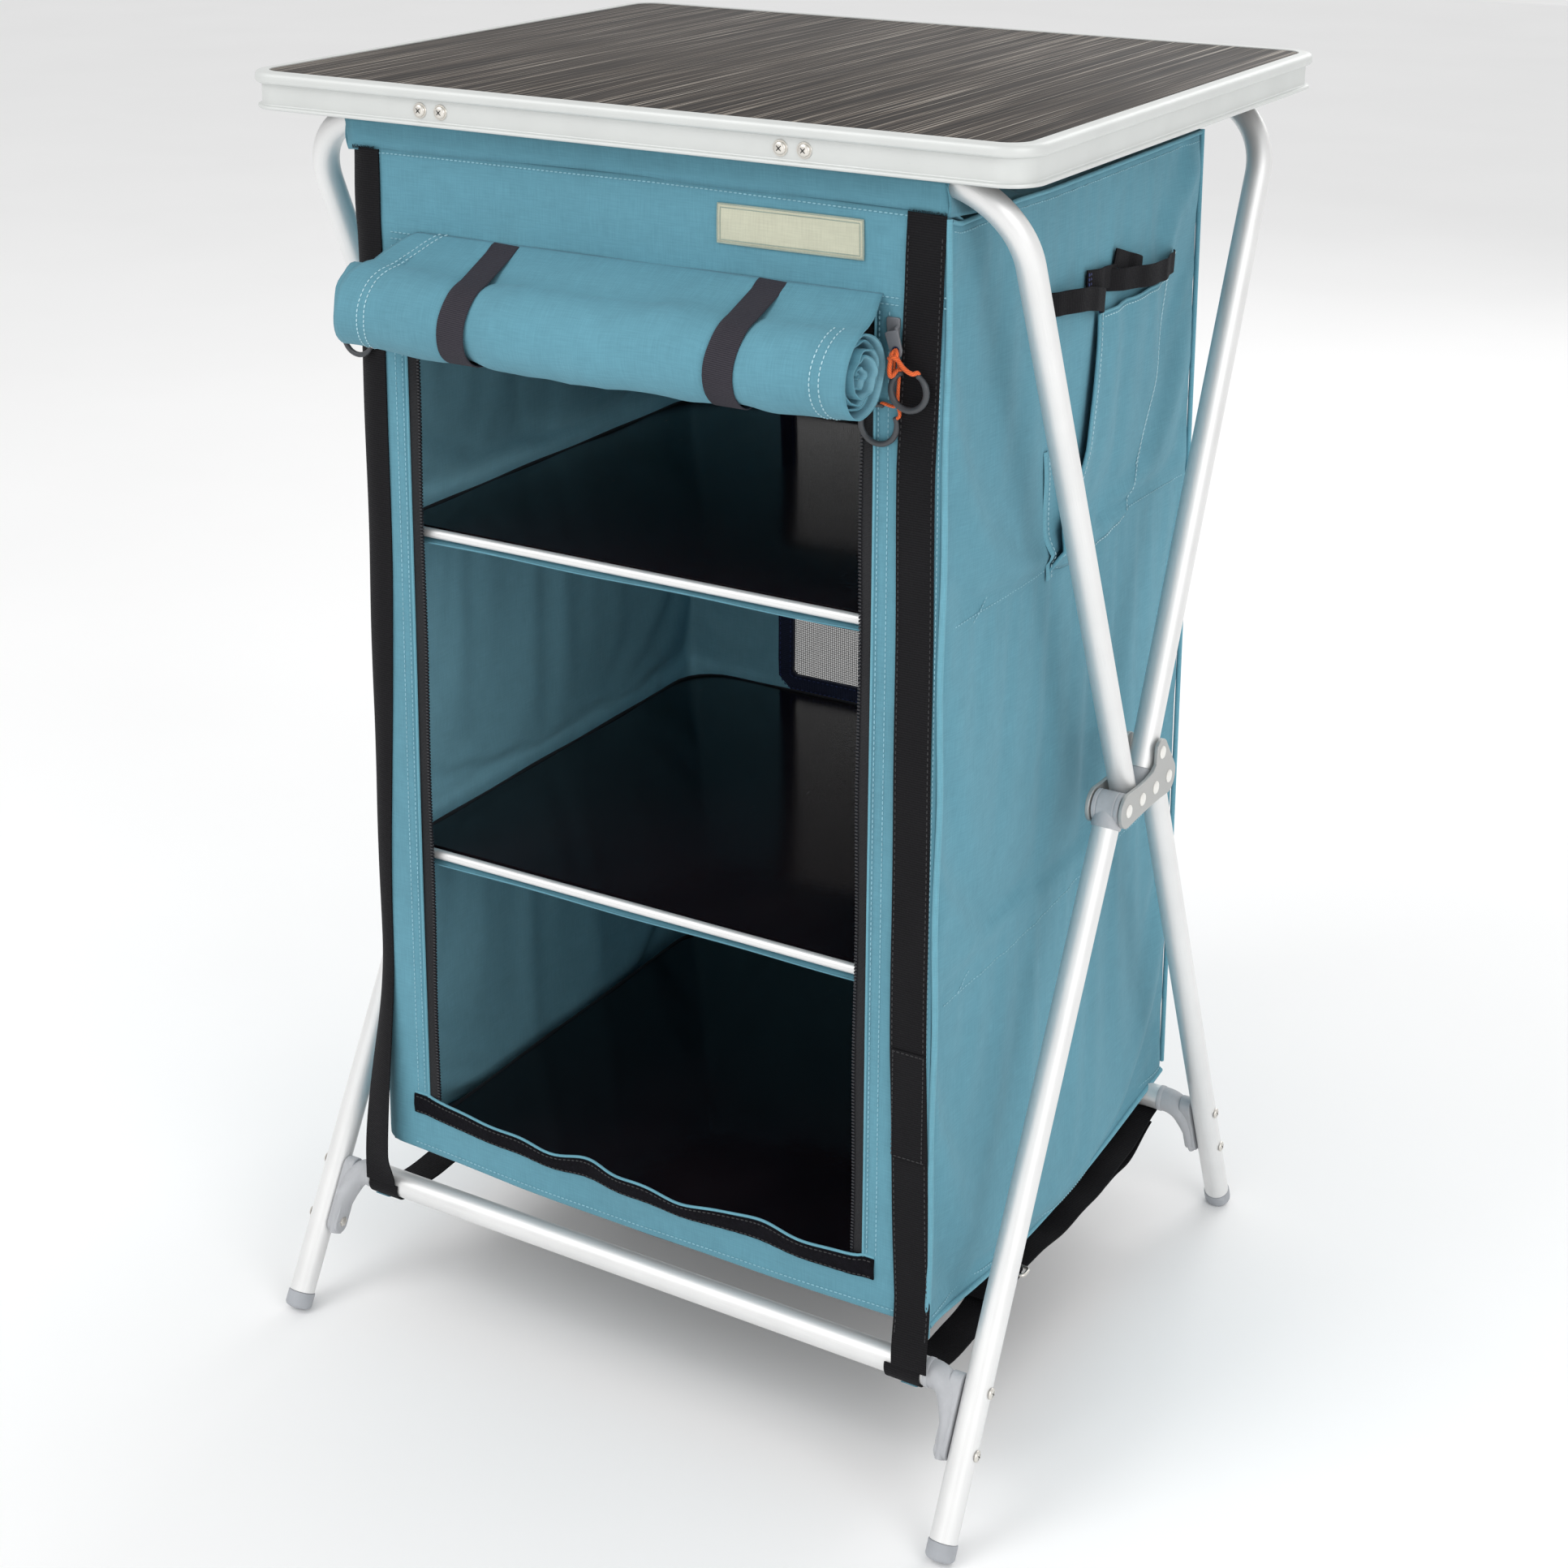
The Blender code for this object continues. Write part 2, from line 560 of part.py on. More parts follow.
def elbow(end, side_name, side):
    """Corner piece: a spigot in the bar, a bend, a tongue along the leg, and two bolts through the leg."""
    pivot, d, _ = leg_line(end)
    first = FRONT_BAR_S if end == "front" else REAR_BAR_S
    c = yz(pivot) + d * first
    face = TUBE_X - TUBE_R - 0.0004  # the tongue lies along the leg's inner side
    start = 0.2403
    drop = 0.0130
    centre = Vector((face - TUBE_R - drop, 0))
    path = [c + Vector((side * start, 0, 0))]
    bend_x = face - TUBE_R
    for x, s in arc((bend_x - drop, 0.0), drop, 90, 0, 4):
        # the arc turns from along the bar to along the leg
        path.append(c + Vector((side * x, 0, 0)) + d * (drop - s))
    path.append(c + Vector((side * bend_x, 0, 0)) + d * (BOLT_PITCH + 0.0095))
    path = [p for i, p in enumerate(path) if i == 0 or (p - path[i - 1]).length > 1e-4]
    body = path_tube("elbow", path, TUBE_R)
    spigot = cylinder("spigot", TUBE_R - TUBE_WALL - 2 * GAP, c + Vector((side * 0.2250, 0, 0)), c + Vector((side * (start + 0.0030), 0, 0)))
    # tongue, flat against the leg from above the upper bolt to below the lower one
    across = d.cross(Vector((1, 0, 0))).normalized()
    tongue_loops = [
        (s * 1.0, w)
        for s, w in (
            arc((0.0, 0.0), 0.0072, 90, 270, 5) + arc((BOLT_PITCH + 0.0022, 0.0), 0.0072, 270, 450, 5)
        )
    ]
    frame = Matrix(
        (
            (0, 0, side, c.x + side * (face - 0.0045)),
            (d.y, across.y, 0, c.y),
            (d.z, across.z, 0, c.z),
            (0, 0, 0, 1),
        )
    )
    tongue = outline("tongue", [tongue_loops], 0.0045, frame)
    bolts = []
    for s in (0.0, BOLT_PITCH):
        b = c + d * s
        x_out = TUBE_X + TUBE_R + GAP
        head = [(0.0, 0.0017), (0.0031, 0.0011), (0.0040, 0.0), (0.0019, 0.0), (0.0019, -(x_out - face + 0.0040)), (0.0, -(x_out - face + 0.0040))]
        bolts.append(turned("bolt", head, b + Vector((side * x_out, 0, 0)), (side, 0, 0), 8))
    body = boolean(body, [spigot, tongue, *bolts], "UNION")
    return register(body, f"{end}_elbow_{side_name}", PLASTIC)


# ---------------------------------------------------------------- bag
def half_width(y):
    """The bag narrows slightly towards the back."""
    t = (y - BAG_FRONT) / (BAG_BACK - BAG_FRONT)
    return BAG_HALF_FRONT + (BAG_HALF_BACK - BAG_HALF_FRONT) * t


def side_panel(side_name, side):
    y0, y1 = BAG_FRONT + CLOTH + GAP, BAG_BACK - CLOTH - GAP
    bm = bmesh.new()
    bmesh.ops.create_cube(bm, size=1.0)
    for v in bm.verts:
        y = y0 if v.co.y < 0 else y1
        x = half_width(y) - (0 if v.co.x * side > 0 else CLOTH)
        v.co = Vector((side * x, y, BAG_LOW if v.co.z < 0 else BAG_HIGH - CLOTH - GAP))
    obj = from_bmesh(bm, "side")
    return register(frozen(obj), f"bag_side_{side_name}", BLUE, smooth=False)


def across_panel(name, y, thickness, hw, low, high, hole, spec, radius=0.0):
    if hole:
        x0, z0, x1, z1 = hole
        loops = [[(-hw, low), (hw, low), (hw, high), (-hw, high)], rounded_rectangle(x0, z0, x1, z1, [radius] * 4, 3)]
    else:
        loops = [rounded_rectangle(-hw, low, hw, high, [radius] * 4, 3)]
    return register(outline(name, loops, thickness / 2, xz_frame(y)), name, spec, smooth=False)


def level_panel(name, z, inset, spec):
    y0, y1 = BAG_FRONT + CLOTH + GAP, BAG_BACK - CLOTH - GAP
    loop = [(-half_width(y0) + inset, y0), (half_width(y0) - inset, y0), (half_width(y1) - inset, y1), (-half_width(y1) + inset, y1)]
    return register(outline(name, [loop], CLOTH / 2, xy_frame(z)), name, spec, smooth=False)


def bag():
    pieces = []
    for side_name, side in SIDES:
        pieces.append(side_panel(side_name, side))
    back = across_panel("bag_back", BAG_BACK - CLOTH / 2, CLOTH, BAG_HALF_BACK, BAG_LOW, BAG_HIGH, (-WINDOW_HALF, WINDOW_LOW, WINDOW_HALF, WINDOW_HIGH), BLUE, 0.012)
    # two webbing straps down the back, sewn on, that end just above their loops on the rear bar
    pivot, d, _ = leg_line("rear")
    bar = yz(pivot) + d * REAR_BAR_S
    end_y = bar.y + TUBE_R + 2 * GAP
    y = BAG_BACK - CLOTH / 2
    pts = [(y, BAG_HIGH - 0.004), (y, BAG_LOW - 0.0010), (end_y, bar.z + 0.0050), (end_y + WEB_T, bar.z + 0.0044), (BAG_BACK + WEB_T, BAG_LOW - 0.0016), (BAG_BACK + WEB_T, BAG_HIGH - 0.004)]
    straps = [outline("strap", [pts], STRAP_W / 2, yz_frame(side * REAR_STRAP_X)) for _, side in SIDES]
    pieces.append(register(boolean(back, straps, "UNION"), "bag_back", BLUE, smooth=False))
    pieces.append(
        across_panel("mesh_window", BAG_BACK - CLOTH / 2, CLOTH * 0.6, WINDOW_HALF - 0.0006, WINDOW_LOW + 0.0006, WINDOW_HIGH - 0.0006, None, MESH, 0.0114)
    )
    pieces.append(
        across_panel("front_panel", BAG_FRONT + CLOTH / 2, CLOTH, BAG_HALF_FRONT, BAG_LOW, BAG_HIGH + 0.006, (-OPEN_HALF, OPEN_LOW, OPEN_HALF, OPEN_HIGH), BLUE, 0.0)
    )
    pieces.append(level_panel("bag_top", BAG_HIGH - CLOTH / 2, 0.0, BLUE))
    pieces.append(level_panel("bag_floor", BAG_LOW + CLOTH / 2, CLOTH + GAP, BLACK))
    return pieces


def shelf(kind):
    top = SHELF_TOPS[kind]
    loop = rounded_rectangle(-SHELF_HALF, SHELF_FRONT, SHELF_HALF, SHELF_BACK, [0, 0, SHELF_R, SHELF_R], 5)
    name = "floor_board" if kind == "floor" else f"{kind}_shelf"
    pieces = [register(outline(name, [loop], SHELF_T / 2, xy_frame(top - SHELF_T / 2)), name, BOARD)]
    if kind != "floor":
        z = top - 0.0025
        bar = path_tube("rail", [Vector((x, RAIL_Y, z)) for x in (-RAIL_HALF, RAIL_HALF)], RAIL_R, 8)
        clips = box("rail_web", (-SHELF_HALF + 0.01, RAIL_Y, z - 0.0006), (SHELF_HALF - 0.01, SHELF_FRONT - GAP, z + 0.0006))
        pieces.append(register(boolean(bar, [clips], "UNION"), f"{kind}_rail", ALU))
    return pieces


def door_roll():
    ends = (Vector((ROLL_X0, ROLL_Y, ROLL_Z)), Vector((ROLL_X1, ROLL_Y, ROLL_Z)))
    roll = cylinder("roll", ROLL_R, *ends, 20)
    # the cloth that runs from the header's seam into the roll
    lead = box("lead", (ROLL_X0 + 0.012, ROLL_Y + 0.012, ROLL_Z + 0.0180), (ROLL_X1 - 0.008, BAG_FRONT - GAP, OPEN_HIGH + 0.004))
    return register(boolean(roll, [lead], "UNION"), "door_roll", BLUE)


def tie(side_name, x):
    """Webbing band that goes round the roll, from the header seam back up behind it."""
    r0, r1 = ROLL_R + 2 * GAP, ROLL_R + 2 * GAP + WEB_T
    top_out = arc((ROLL_Y, ROLL_Z), r1, 76, 300, 20)
    top_in = arc((ROLL_Y, ROLL_Z), r0, 300, 76, 20)
    band = outline("tie", [top_out + top_in], TIE_W / 2, yz_frame(x))
    return register(band, f"door_tie_{side_name}", BLACK)


def front_strap(side_name, side):
    """Long webbing strap sewn down the front panel; it ends just above its loop on the front bar."""
    pivot, d, _ = leg_line("front")
    bar = yz(pivot) + d * FRONT_BAR_S
    y = BAG_FRONT - GAP
    end_y = bar.y - TUBE_R - GAP * 2
    pts = [(y, BAG_HIGH + 0.004), (y, 0.150), (end_y, bar.z + 0.004), (end_y - WEB_T, bar.z + 0.004), (y - WEB_T, 0.150), (y - WEB_T, BAG_HIGH + 0.004)]
    return register(outline("strap", [pts], STRAP_W / 2, yz_frame(side * STRAP_X)), f"front_strap_{side_name}", BLACK, smooth=False)


def belly_strap(end, side_name, side):
    """Webbing that wraps a cross bar and runs under the bag to the rectangular ring where both halves meet."""
    pivot, d, _ = leg_line(end)
    first = FRONT_BAR_S if end == "front" else REAR_BAR_S
    bar = yz(pivot) + d * first
    r0, r1 = TUBE_R + GAP, TUBE_R + GAP + WEB_T
    ring_y, ring_z = -0.0700, 0.0880
    if end == "front":
        angles = (178, 270)
        run = [(ring_y - 0.004, ring_z + 0.0006), (ring_y - 0.004, ring_z - 0.0006)]
        outer = arc((bar.y, bar.z), r1, angles[0], angles[1], 8)
        inner = arc((bar.y, bar.z), r0, angles[1], angles[0], 8)
        pts = outer + [run[1], run[0]] + inner
        strap = outline("strap", [pts], STRAP_W / 2, yz_frame(side * STRAP_X))
        ring = box("ring", (side * STRAP_X - 0.0160, ring_y - 0.0070, ring_z - 0.0016), (side * STRAP_X + 0.0160, ring_y + 0.0010, ring_z + 0.0016))
        strap = boolean(strap, [ring], "UNION")
    else:
        angles = (4, -90)
        outer = arc((bar.y, bar.z), r1, angles[0], angles[1], 8)
        inner = arc((bar.y, bar.z), r0, angles[1], angles[0], 8)
        pts = outer + [(ring_y + 0.0030, ring_z - 0.0012), (ring_y + 0.0030, ring_z + 0.0012)] + inner
        strap = outline("strap", [pts], STRAP_W / 2, yz_frame(side * STRAP_X))
    return register(strap, f"belly_strap_{end}_{side_name}", BLACK)


def side_pocket():
    """Utensil pocket on the right side, open at the top: a sheet with closed edges and bottom."""
    y0, y1, z0, z1, deep = -0.0520, 0.1350, 0.6350, 0.7950, 0.0115

    def body(name, a, b, c, e, inset, out):
        bm = bmesh.new()
        bmesh.ops.create_cube(bm, size=1.0)
        for v in bm.verts:
            y = a if v.co.y < 0 else b
            x = half_width(y) + (inset if v.co.x < 0 else out)
            v.co = Vector((x, y, c if v.co.z < 0 else e))
        return frozen(from_bmesh(bm, name))

    outer = body("outer", y0, y1, z0, z1, GAP, deep)
    inner = body("inner", y0 + 0.0015, y1 - 0.0015, z0 + 0.0015, z1 + 0.01, -0.002, deep - 0.0015)
    pocket = boolean(outer, [inner], "DIFFERENCE")
    return register(pocket, "side_pocket", BLUE, smooth=False)


def zip_slider():
    """Slider body on the right-hand zip, at its upper end, with the bridge that both pulls hang from."""
    front = BAG_FRONT - GAP - 0.0034
    body = box("slider", (SLIDER_X - 0.0045, front, SLIDER_Z - 0.0090), (SLIDER_X + 0.0045, BAG_FRONT - GAP, SLIDER_Z + 0.0090))
    mod = body.modifiers.new("round", "BEVEL")
    mod.width = 0.0010
    mod.segments = 1
    body = frozen(body)
    bridge = box("bridge", (PULL_X - 0.0022, PULL_Y - 0.0014, PULL_Z + 0.0022), (PULL_X + 0.0022, front + 0.0010, PULL_Z + 0.0080))
    return register(boolean(body, [bridge], "UNION"), "zip_slider", PLASTIC)


def grip_ring(centre, major, minor):
    """Round plastic grip lying in a plane parallel to the front."""
    steps, around = 18, 6
    mesh = bpy.data.meshes.new("grip")
    section = [(major + minor * math.cos(math.tau * i / around), minor * math.sin(math.tau * i / around)) for i in range(around)]
    mesh.from_pydata([(r, 0.0, -h) for r, h in section], [(i, (i + 1) % around) for i in range(around)], [])
    ring = bpy.data.objects.new("grip", mesh)
    bpy.context.scene.collection.objects.link(ring)
    mod = ring.modifiers.new("turn", "SCREW")
    mod.angle = math.tau
    mod.steps = mod.render_steps = steps
    mod.use_merge_vertices = True
    mod.merge_threshold = 0.000001
    ring.matrix_world = Matrix.Translation(centre) @ Matrix.Rotation(math.radians(90), 4, "X")
    return frozen(ring)


def zip_pull(name, pivot, centre, major, minor):
    """Cord loop with a round plastic grip; it turns about the pivot just below the slider's bridge."""
    pivot, centre = Vector(pivot), Vector(centre)
    way = (centre - pivot).normalized()
    cord = cylinder("cord", 0.0013, pivot - way * 0.0013, centre - way * major, 8)
    return register(boolean(grip_ring(centre, major, minor), [cord], "UNION"), name, BLACK)


def left_slider():
    """Slider on the left-hand zip, under the roll, with its pull lying on the strap beside it."""
    x, z = -0.1935, 0.7620
    front = BAG_FRONT - GAP - 0.0034
    body = box("slider", (x - 0.0042, front, z - 0.0085), (x + 0.0042, BAG_FRONT - GAP, z + 0.0085))
    centre = Vector((-0.2210, INNER_Y, 0.7600))
    start = Vector((x, INNER_Y, 0.7600))
    way = (centre - start).normalized()
    cord = cylinder("cord", 0.0013, start, centre - way * 0.0122, 8)
    return register(boolean(body, [cord, grip_ring(centre, 0.0122, 0.0016)], "UNION"), "zip_slider_left", PLASTIC)


# ---------------------------------------------------------------- assembly
def body_empty(name, y, z, parent=None):
    empty = bpy.data.objects.new(name, None)
    empty.empty_display_size = 0.03
    PARTS.objects.link(empty)
    empty["place"] = (0.0, y, z)
    empty.location = (0.0, y, z)
    if parent:
        base = parent["place"]
        empty.parent = parent
        empty.location = (0.0, y - base[1], z - base[2])
    return empty


def attach(pieces, empty):
    """Pieces keep their place, measured from the empty on their joint's axis."""
    place = Vector(empty["place"])
    for obj in pieces:
        obj.data.transform(Matrix.Translation(obj.location - place))
        obj.location = (0.0, 0.0, 0.0)
        obj.parent = empty


def main():
    root = body_empty("cupboard", 0.0, 0.0)
    top_front = hoop_top("front")

    fixed = [hoop("rear")]
    fixed += [hoop_plug(*s) for s in SIDES]
    fixed += hubs()
    bag_pieces = {p.name: p for p in bag()}
    front_panel = bag_pieces.pop("front_panel")
    fixed += list(bag_pieces.values())
    fixed.append(side_pocket())
    attach(fixed, root)

    front_hoop_axis = body_empty("front_hoop_axis", P2.x, P2.y, root)
    attach([hoop("front")], front_hoop_axis)

    front_leg_axis = body_empty("front_leg_axis", P1.x, P1.y, root)
    front = [cross_bar("front")]
    for s in SIDES:
        front += [knuckle(*s), leg("front", *s), foot_cap("front", *s), elbow("front", *s)]
    attach(front, front_leg_axis)

    rear_leg_axis = body_empty("rear_leg_axis", P4.x, P4.y, root)
    rear = [cross_bar("rear")]
    for s in SIDES:
        rear += [leg("rear", *s), foot_cap("rear", *s), elbow("rear", *s)]
    attach(rear, rear_leg_axis)

    table_axis = body_empty("table_axis", -top_front.x, top_front.y, front_hoop_axis)
    attach(table_top(), table_axis)

    bag_front_axis = body_empty("bag_front_axis", -top_front.x, top_front.y, front_hoop_axis)
    front_bag = [front_panel, door_roll(), tie("left", TIE_X[0]), tie("right", TIE_X[1])]
    front_bag += [front_strap(*s) for s in SIDES]
    attach(front_bag, bag_front_axis)

    slider_axis = body_empty("slider_axis", BAG_FRONT, SLIDER_Z, bag_front_axis)
    attach([zip_slider()], slider_axis)
    pull_axis = body_empty("pull_axis", PULL_Y, PULL_Z, slider_axis)
    attach([zip_pull("zip_pull", (PULL_X, PULL_Y, PULL_Z), (0.2145, PULL_Y, 0.7820), 0.0122, 0.0021)], pull_axis)
    inner_axis = body_empty("inner_pull_axis", INNER_Y, INNER_Z, slider_axis)
    attach([zip_pull("zip_pull_inner", (PULL_X, INNER_Y, INNER_Z), (0.1915, INNER_Y, 0.7566), 0.0126, 0.0016)], inner_axis)
    left_axis = body_empty("left_slider_axis", BAG_FRONT, 0.7620, bag_front_axis)
    attach([left_slider()], left_axis)

    for kind, z in SHELF_TOPS.items():
        axis = body_empty(f"{kind}_shelf_axis", SHELF_BACK, z, root)
        attach(shelf(kind), axis)

    for end, pivot_axis, station in (("front", front_leg_axis, FRONT_BAR_S), ("rear", rear_leg_axis, REAR_BAR_S)):
        pivot, d, _ = leg_line(end)
        c = yz(pivot) + d * station
        axis = body_empty(f"{end}_bar_axis", c.y, c.z, pivot_axis)
        attach([belly_strap(end, *s) for s in SIDES], axis)

    root.location.y = OFFSET_Y
    bpy.context.view_layer.update()


main()
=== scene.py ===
import math
import random

import bmesh
import bpy
import numpy as np
from mathutils import Matrix, Vector
from mathutils.bvhtree import BVHTree


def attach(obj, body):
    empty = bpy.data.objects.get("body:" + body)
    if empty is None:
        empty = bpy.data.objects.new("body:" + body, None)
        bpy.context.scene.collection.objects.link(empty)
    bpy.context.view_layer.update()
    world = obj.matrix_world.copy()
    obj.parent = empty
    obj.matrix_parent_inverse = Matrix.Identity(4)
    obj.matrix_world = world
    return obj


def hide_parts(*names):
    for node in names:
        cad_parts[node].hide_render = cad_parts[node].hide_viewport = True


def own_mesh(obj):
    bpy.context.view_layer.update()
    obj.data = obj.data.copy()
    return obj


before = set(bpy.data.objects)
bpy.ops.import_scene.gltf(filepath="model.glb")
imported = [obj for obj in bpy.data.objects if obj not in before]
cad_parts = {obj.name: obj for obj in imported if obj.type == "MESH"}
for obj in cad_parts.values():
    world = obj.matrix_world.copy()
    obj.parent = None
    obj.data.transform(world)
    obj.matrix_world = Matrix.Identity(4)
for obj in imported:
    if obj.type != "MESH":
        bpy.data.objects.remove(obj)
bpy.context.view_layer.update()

# ---------------------------------------------------------------- dimensions, metres, y from the hubs
OFF = 0.0199
TOP_W, TOP_D, TOP_Z, TOP_R = 0.600, 0.504, 0.943, 0.026
EDGE_H = 0.0262
SCREW_X = (0.130, 0.147)
TUBE_R, TUBE_WALL, TUBE_X = 0.0095, 0.0012, 0.2739
HUB_Z, PITCH = 0.445, 0.024
P1 = Vector((0, -0.0345, HUB_Z))
P2 = P1 + Vector((0, PITCH, 0))
P3 = P2 + Vector((0, PITCH, 0))
P4 = P3 + Vector((0, PITCH, 0))
P5_UP = 0.0252
PLATE_T, PLATE_GAP = 0.003, 0.0110
HOOP_POLAR = {"front": 113.5, "rear": 65.7}
HOOP_LEN, HOOP_BEND = 0.511, 0.060
FOOT_Y = {"front": -0.278, "rear": 0.2246}
BAR_S = {"front": 0.395, "rear": 0.371}
BOLT_PITCH = 0.0405
FOOT_R, FOOT_FLAT = 0.0102, 0.0005
FRONT, BACK = -0.2265, 0.2075
HALF_F, HALF_B = 0.2350, 0.2250
LOW, HIGH = 0.1165, 0.8840
OPEN, OPEN_LOW, OPEN_HIGH = 0.1860, 0.1800, 0.8300
WIN, WIN_LOW, WIN_HIGH = 0.128, 0.378, 0.800
SHELF_TOPS = {"upper": 0.6235, "middle": 0.3780, "floor": 0.1370}
SHELF_HALF, SHELF_FRONT, SHELF_BACK, SHELF_R = 0.2065, -0.2100, 0.1900, 0.035
RAIL_R, RAIL_Y, RAIL_HALF = 0.0035, -0.2170, 0.2040
SIDES = (("left", -1.0), ("right", 1.0))


def polar(a):
    return Vector((0.0, math.cos(math.radians(a)), math.sin(math.radians(a))))


def lerp(a, b, t):
    return a + (b - a) * t


def smooth(t):
    t = min(1.0, max(0.0, t))
    return t * t * (3 - 2 * t)


def bell(x, mid, wide):
    return math.exp(-((x - mid) / wide) ** 2)


def table(x, pairs):
    """Piecewise-linear value at x."""
    if x <= pairs[0][0]:
        return pairs[0][1]
    for (a, p), (b, q) in zip(pairs, pairs[1:]):
        if x <= b:
            return lerp(p, q, (x - a) / (b - a))
    return pairs[-1][1]


# ---------------------------------------------------------------- mesh building
class Shape:
    """Points, faces, corner UVs in metres and material numbers of one piece."""

    def __init__(self):
        self.v, self.f, self.uv, self.mi = [], [], [], []

    def face(self, ids, uvs=None, mi=0):
        self.f.append(tuple(ids))
        self.uv.append(tuple(uvs) if uvs else tuple((0.0, 0.0) for _ in ids))
        self.mi.append(mi)

    def grid(self, rows, uvs=None, wrap=False, loop=False, mi=0, flip=False, skip=None):
        """Quads over rows of points. wrap joins a row's ends, loop joins the last row to the first; uvs then have one more column or row."""
        n, base = len(rows[0]), len(self.v)
        for r in rows:
            self.v.extend(tuple(p) for p in r)
        for i in range(len(rows) if loop else len(rows) - 1):
            for j in range(n if wrap else n - 1):
                if skip and skip(i, j):
                    continue
                a, b, k = base + i * n, base + ((i + 1) % len(rows)) * n, (j + 1) % n
                q = (a + j, a + k, b + k, b + j)
                c = (uvs[i][j], uvs[i][j + 1], uvs[i + 1][j + 1], uvs[i + 1][j]) if uvs else None
                if flip:
                    q, c = q[::-1], c[::-1] if c else None
                self.face(q, c, mi)
        return base

    def mesh(self, me, matrix=None, mi=0):
        base = len(self.v)
        matrix = matrix or Matrix.Identity(4)
        self.v.extend(tuple(matrix @ v.co) for v in me.vertices)
        for p in me.polygons:
            pts = [me.vertices[i].co for i in p.vertices]
            self.face([base + i for i in p.vertices], [(c.x, c.y) for c in pts], mi)

    def join(self, other, mi=0):
        base = len(self.v)
        self.v += other.v
        self.f += [tuple(base + i for i in f) for f in other.f]
        self.uv += other.uv
        self.mi += [m + mi for m in other.mi]


def directions(points, up=None, closed=False):
    """Tangent, side and normal at each point of a path; parallel transport where up is None."""
    pts = [Vector(p) for p in points]
    n = len(pts)
    out = []
    last = None
    for i in range(n):
        a = pts[(i - 1) % n] if closed or i > 0 else pts[0]
        b = pts[(i + 1) % n] if closed or i < n - 1 else pts[-1]
        t = (b - a).normalized()
        if up is not None:
            u = up[i] if isinstance(up, list) else Vector(up)
            side = u.cross(t).normalized()
        elif last is None:
            ref = Vector((0, 0, 1)) if abs(t.z) < 0.9 else Vector((1, 0, 0))
            side = ref.cross(t).normalized()
        else:
            side = (last - t * last.dot(t)).normalized()
        last = side
        out.append((t, side, t.cross(side).normalized()))
    return out


def sweep(S, points, section, up=None, caps=True, closed=False, scale=None, mi=0, v0=0.0):
    """A section of (side, normal) offsets carried along a path."""
    pts = [Vector(p) for p in points]
    dirs = directions(pts, up, closed)
    m = len(section)
    us = [0.0]
    for i in range(m):
        a, b = section[i], section[(i + 1) % m]
        us.append(us[-1] + math.hypot(a[0] - b[0], a[1] - b[1]))
    vs, rows = [v0], []
    for i, (p, (t, s, w)) in enumerate(zip(pts, dirs)):
        k = scale[i] if scale else 1.0
        kx, ky = k if isinstance(k, tuple) else (k, k)
        rows.append([p + s * (a * kx) + w * (b * ky) for a, b in section])
        if i:
            vs.append(vs[-1] + (p - pts[i - 1]).length)
    if closed:
        vs.append(vs[-1] + (pts[0] - pts[-1]).length)
    base = S.grid(rows, [[(u, v) for u in us] for v in vs], wrap=True, loop=closed, mi=mi)
    if caps and not closed:
        first = list(range(base, base + m))
        end = list(range(base + (len(pts) - 1) * m, base + len(pts) * m))
        S.face(first[::-1], [(a, b) for a, b in section][::-1], mi)
        S.face(end, [(a, b) for a, b in section], mi)


def circle(r, n, squeeze=1.0):
    return [(r * math.cos(math.tau * i / n), r * squeeze * math.sin(math.tau * i / n)) for i in range(n)]


def band(width, thick, soft=0.3):
    """Section of a flat webbing: its width along the side direction, its thickness along the normal."""
    w, t = width / 2, thick / 2
    e = min(t * 0.9, 0.0005)
    n = 6
    top = [(lerp(w - e, -w + e, i / n), t) for i in range(n + 1)]
    low = [(lerp(-w + e, w - e, i / n), -t) for i in range(n + 1)]
    return [(w, 0.0)] + top + [(-w, 0.0)] + low


def pipe(S, points, radius, wall, sides=32, mi=0):
    """An open-ended tube with a real wall."""
    pts = [Vector(p) for p in points]
    dirs = directions(pts)
    n = len(pts)
    rows, vs = [], [0.0]
    for i, (p, (t, s, w)) in enumerate(zip(pts, dirs)):
        rows.append([p + s * a + w * b for a, b in circle(radius, sides)])
        if i:
            vs.append(vs[-1] + (p - pts[i - 1]).length)
    inner = [[p + s * a + w * b for a, b in circle(radius - wall, sides)] for p, (t, s, w) in zip(pts, dirs)][::-1]
    vall = vs + vs[::-1] + [vs[0]]
    us = [math.tau * radius * j / sides for j in range(sides + 1)]
    S.grid(rows + inner, [[(u, v) for u in us] for v in vall], wrap=True, loop=True, mi=mi)


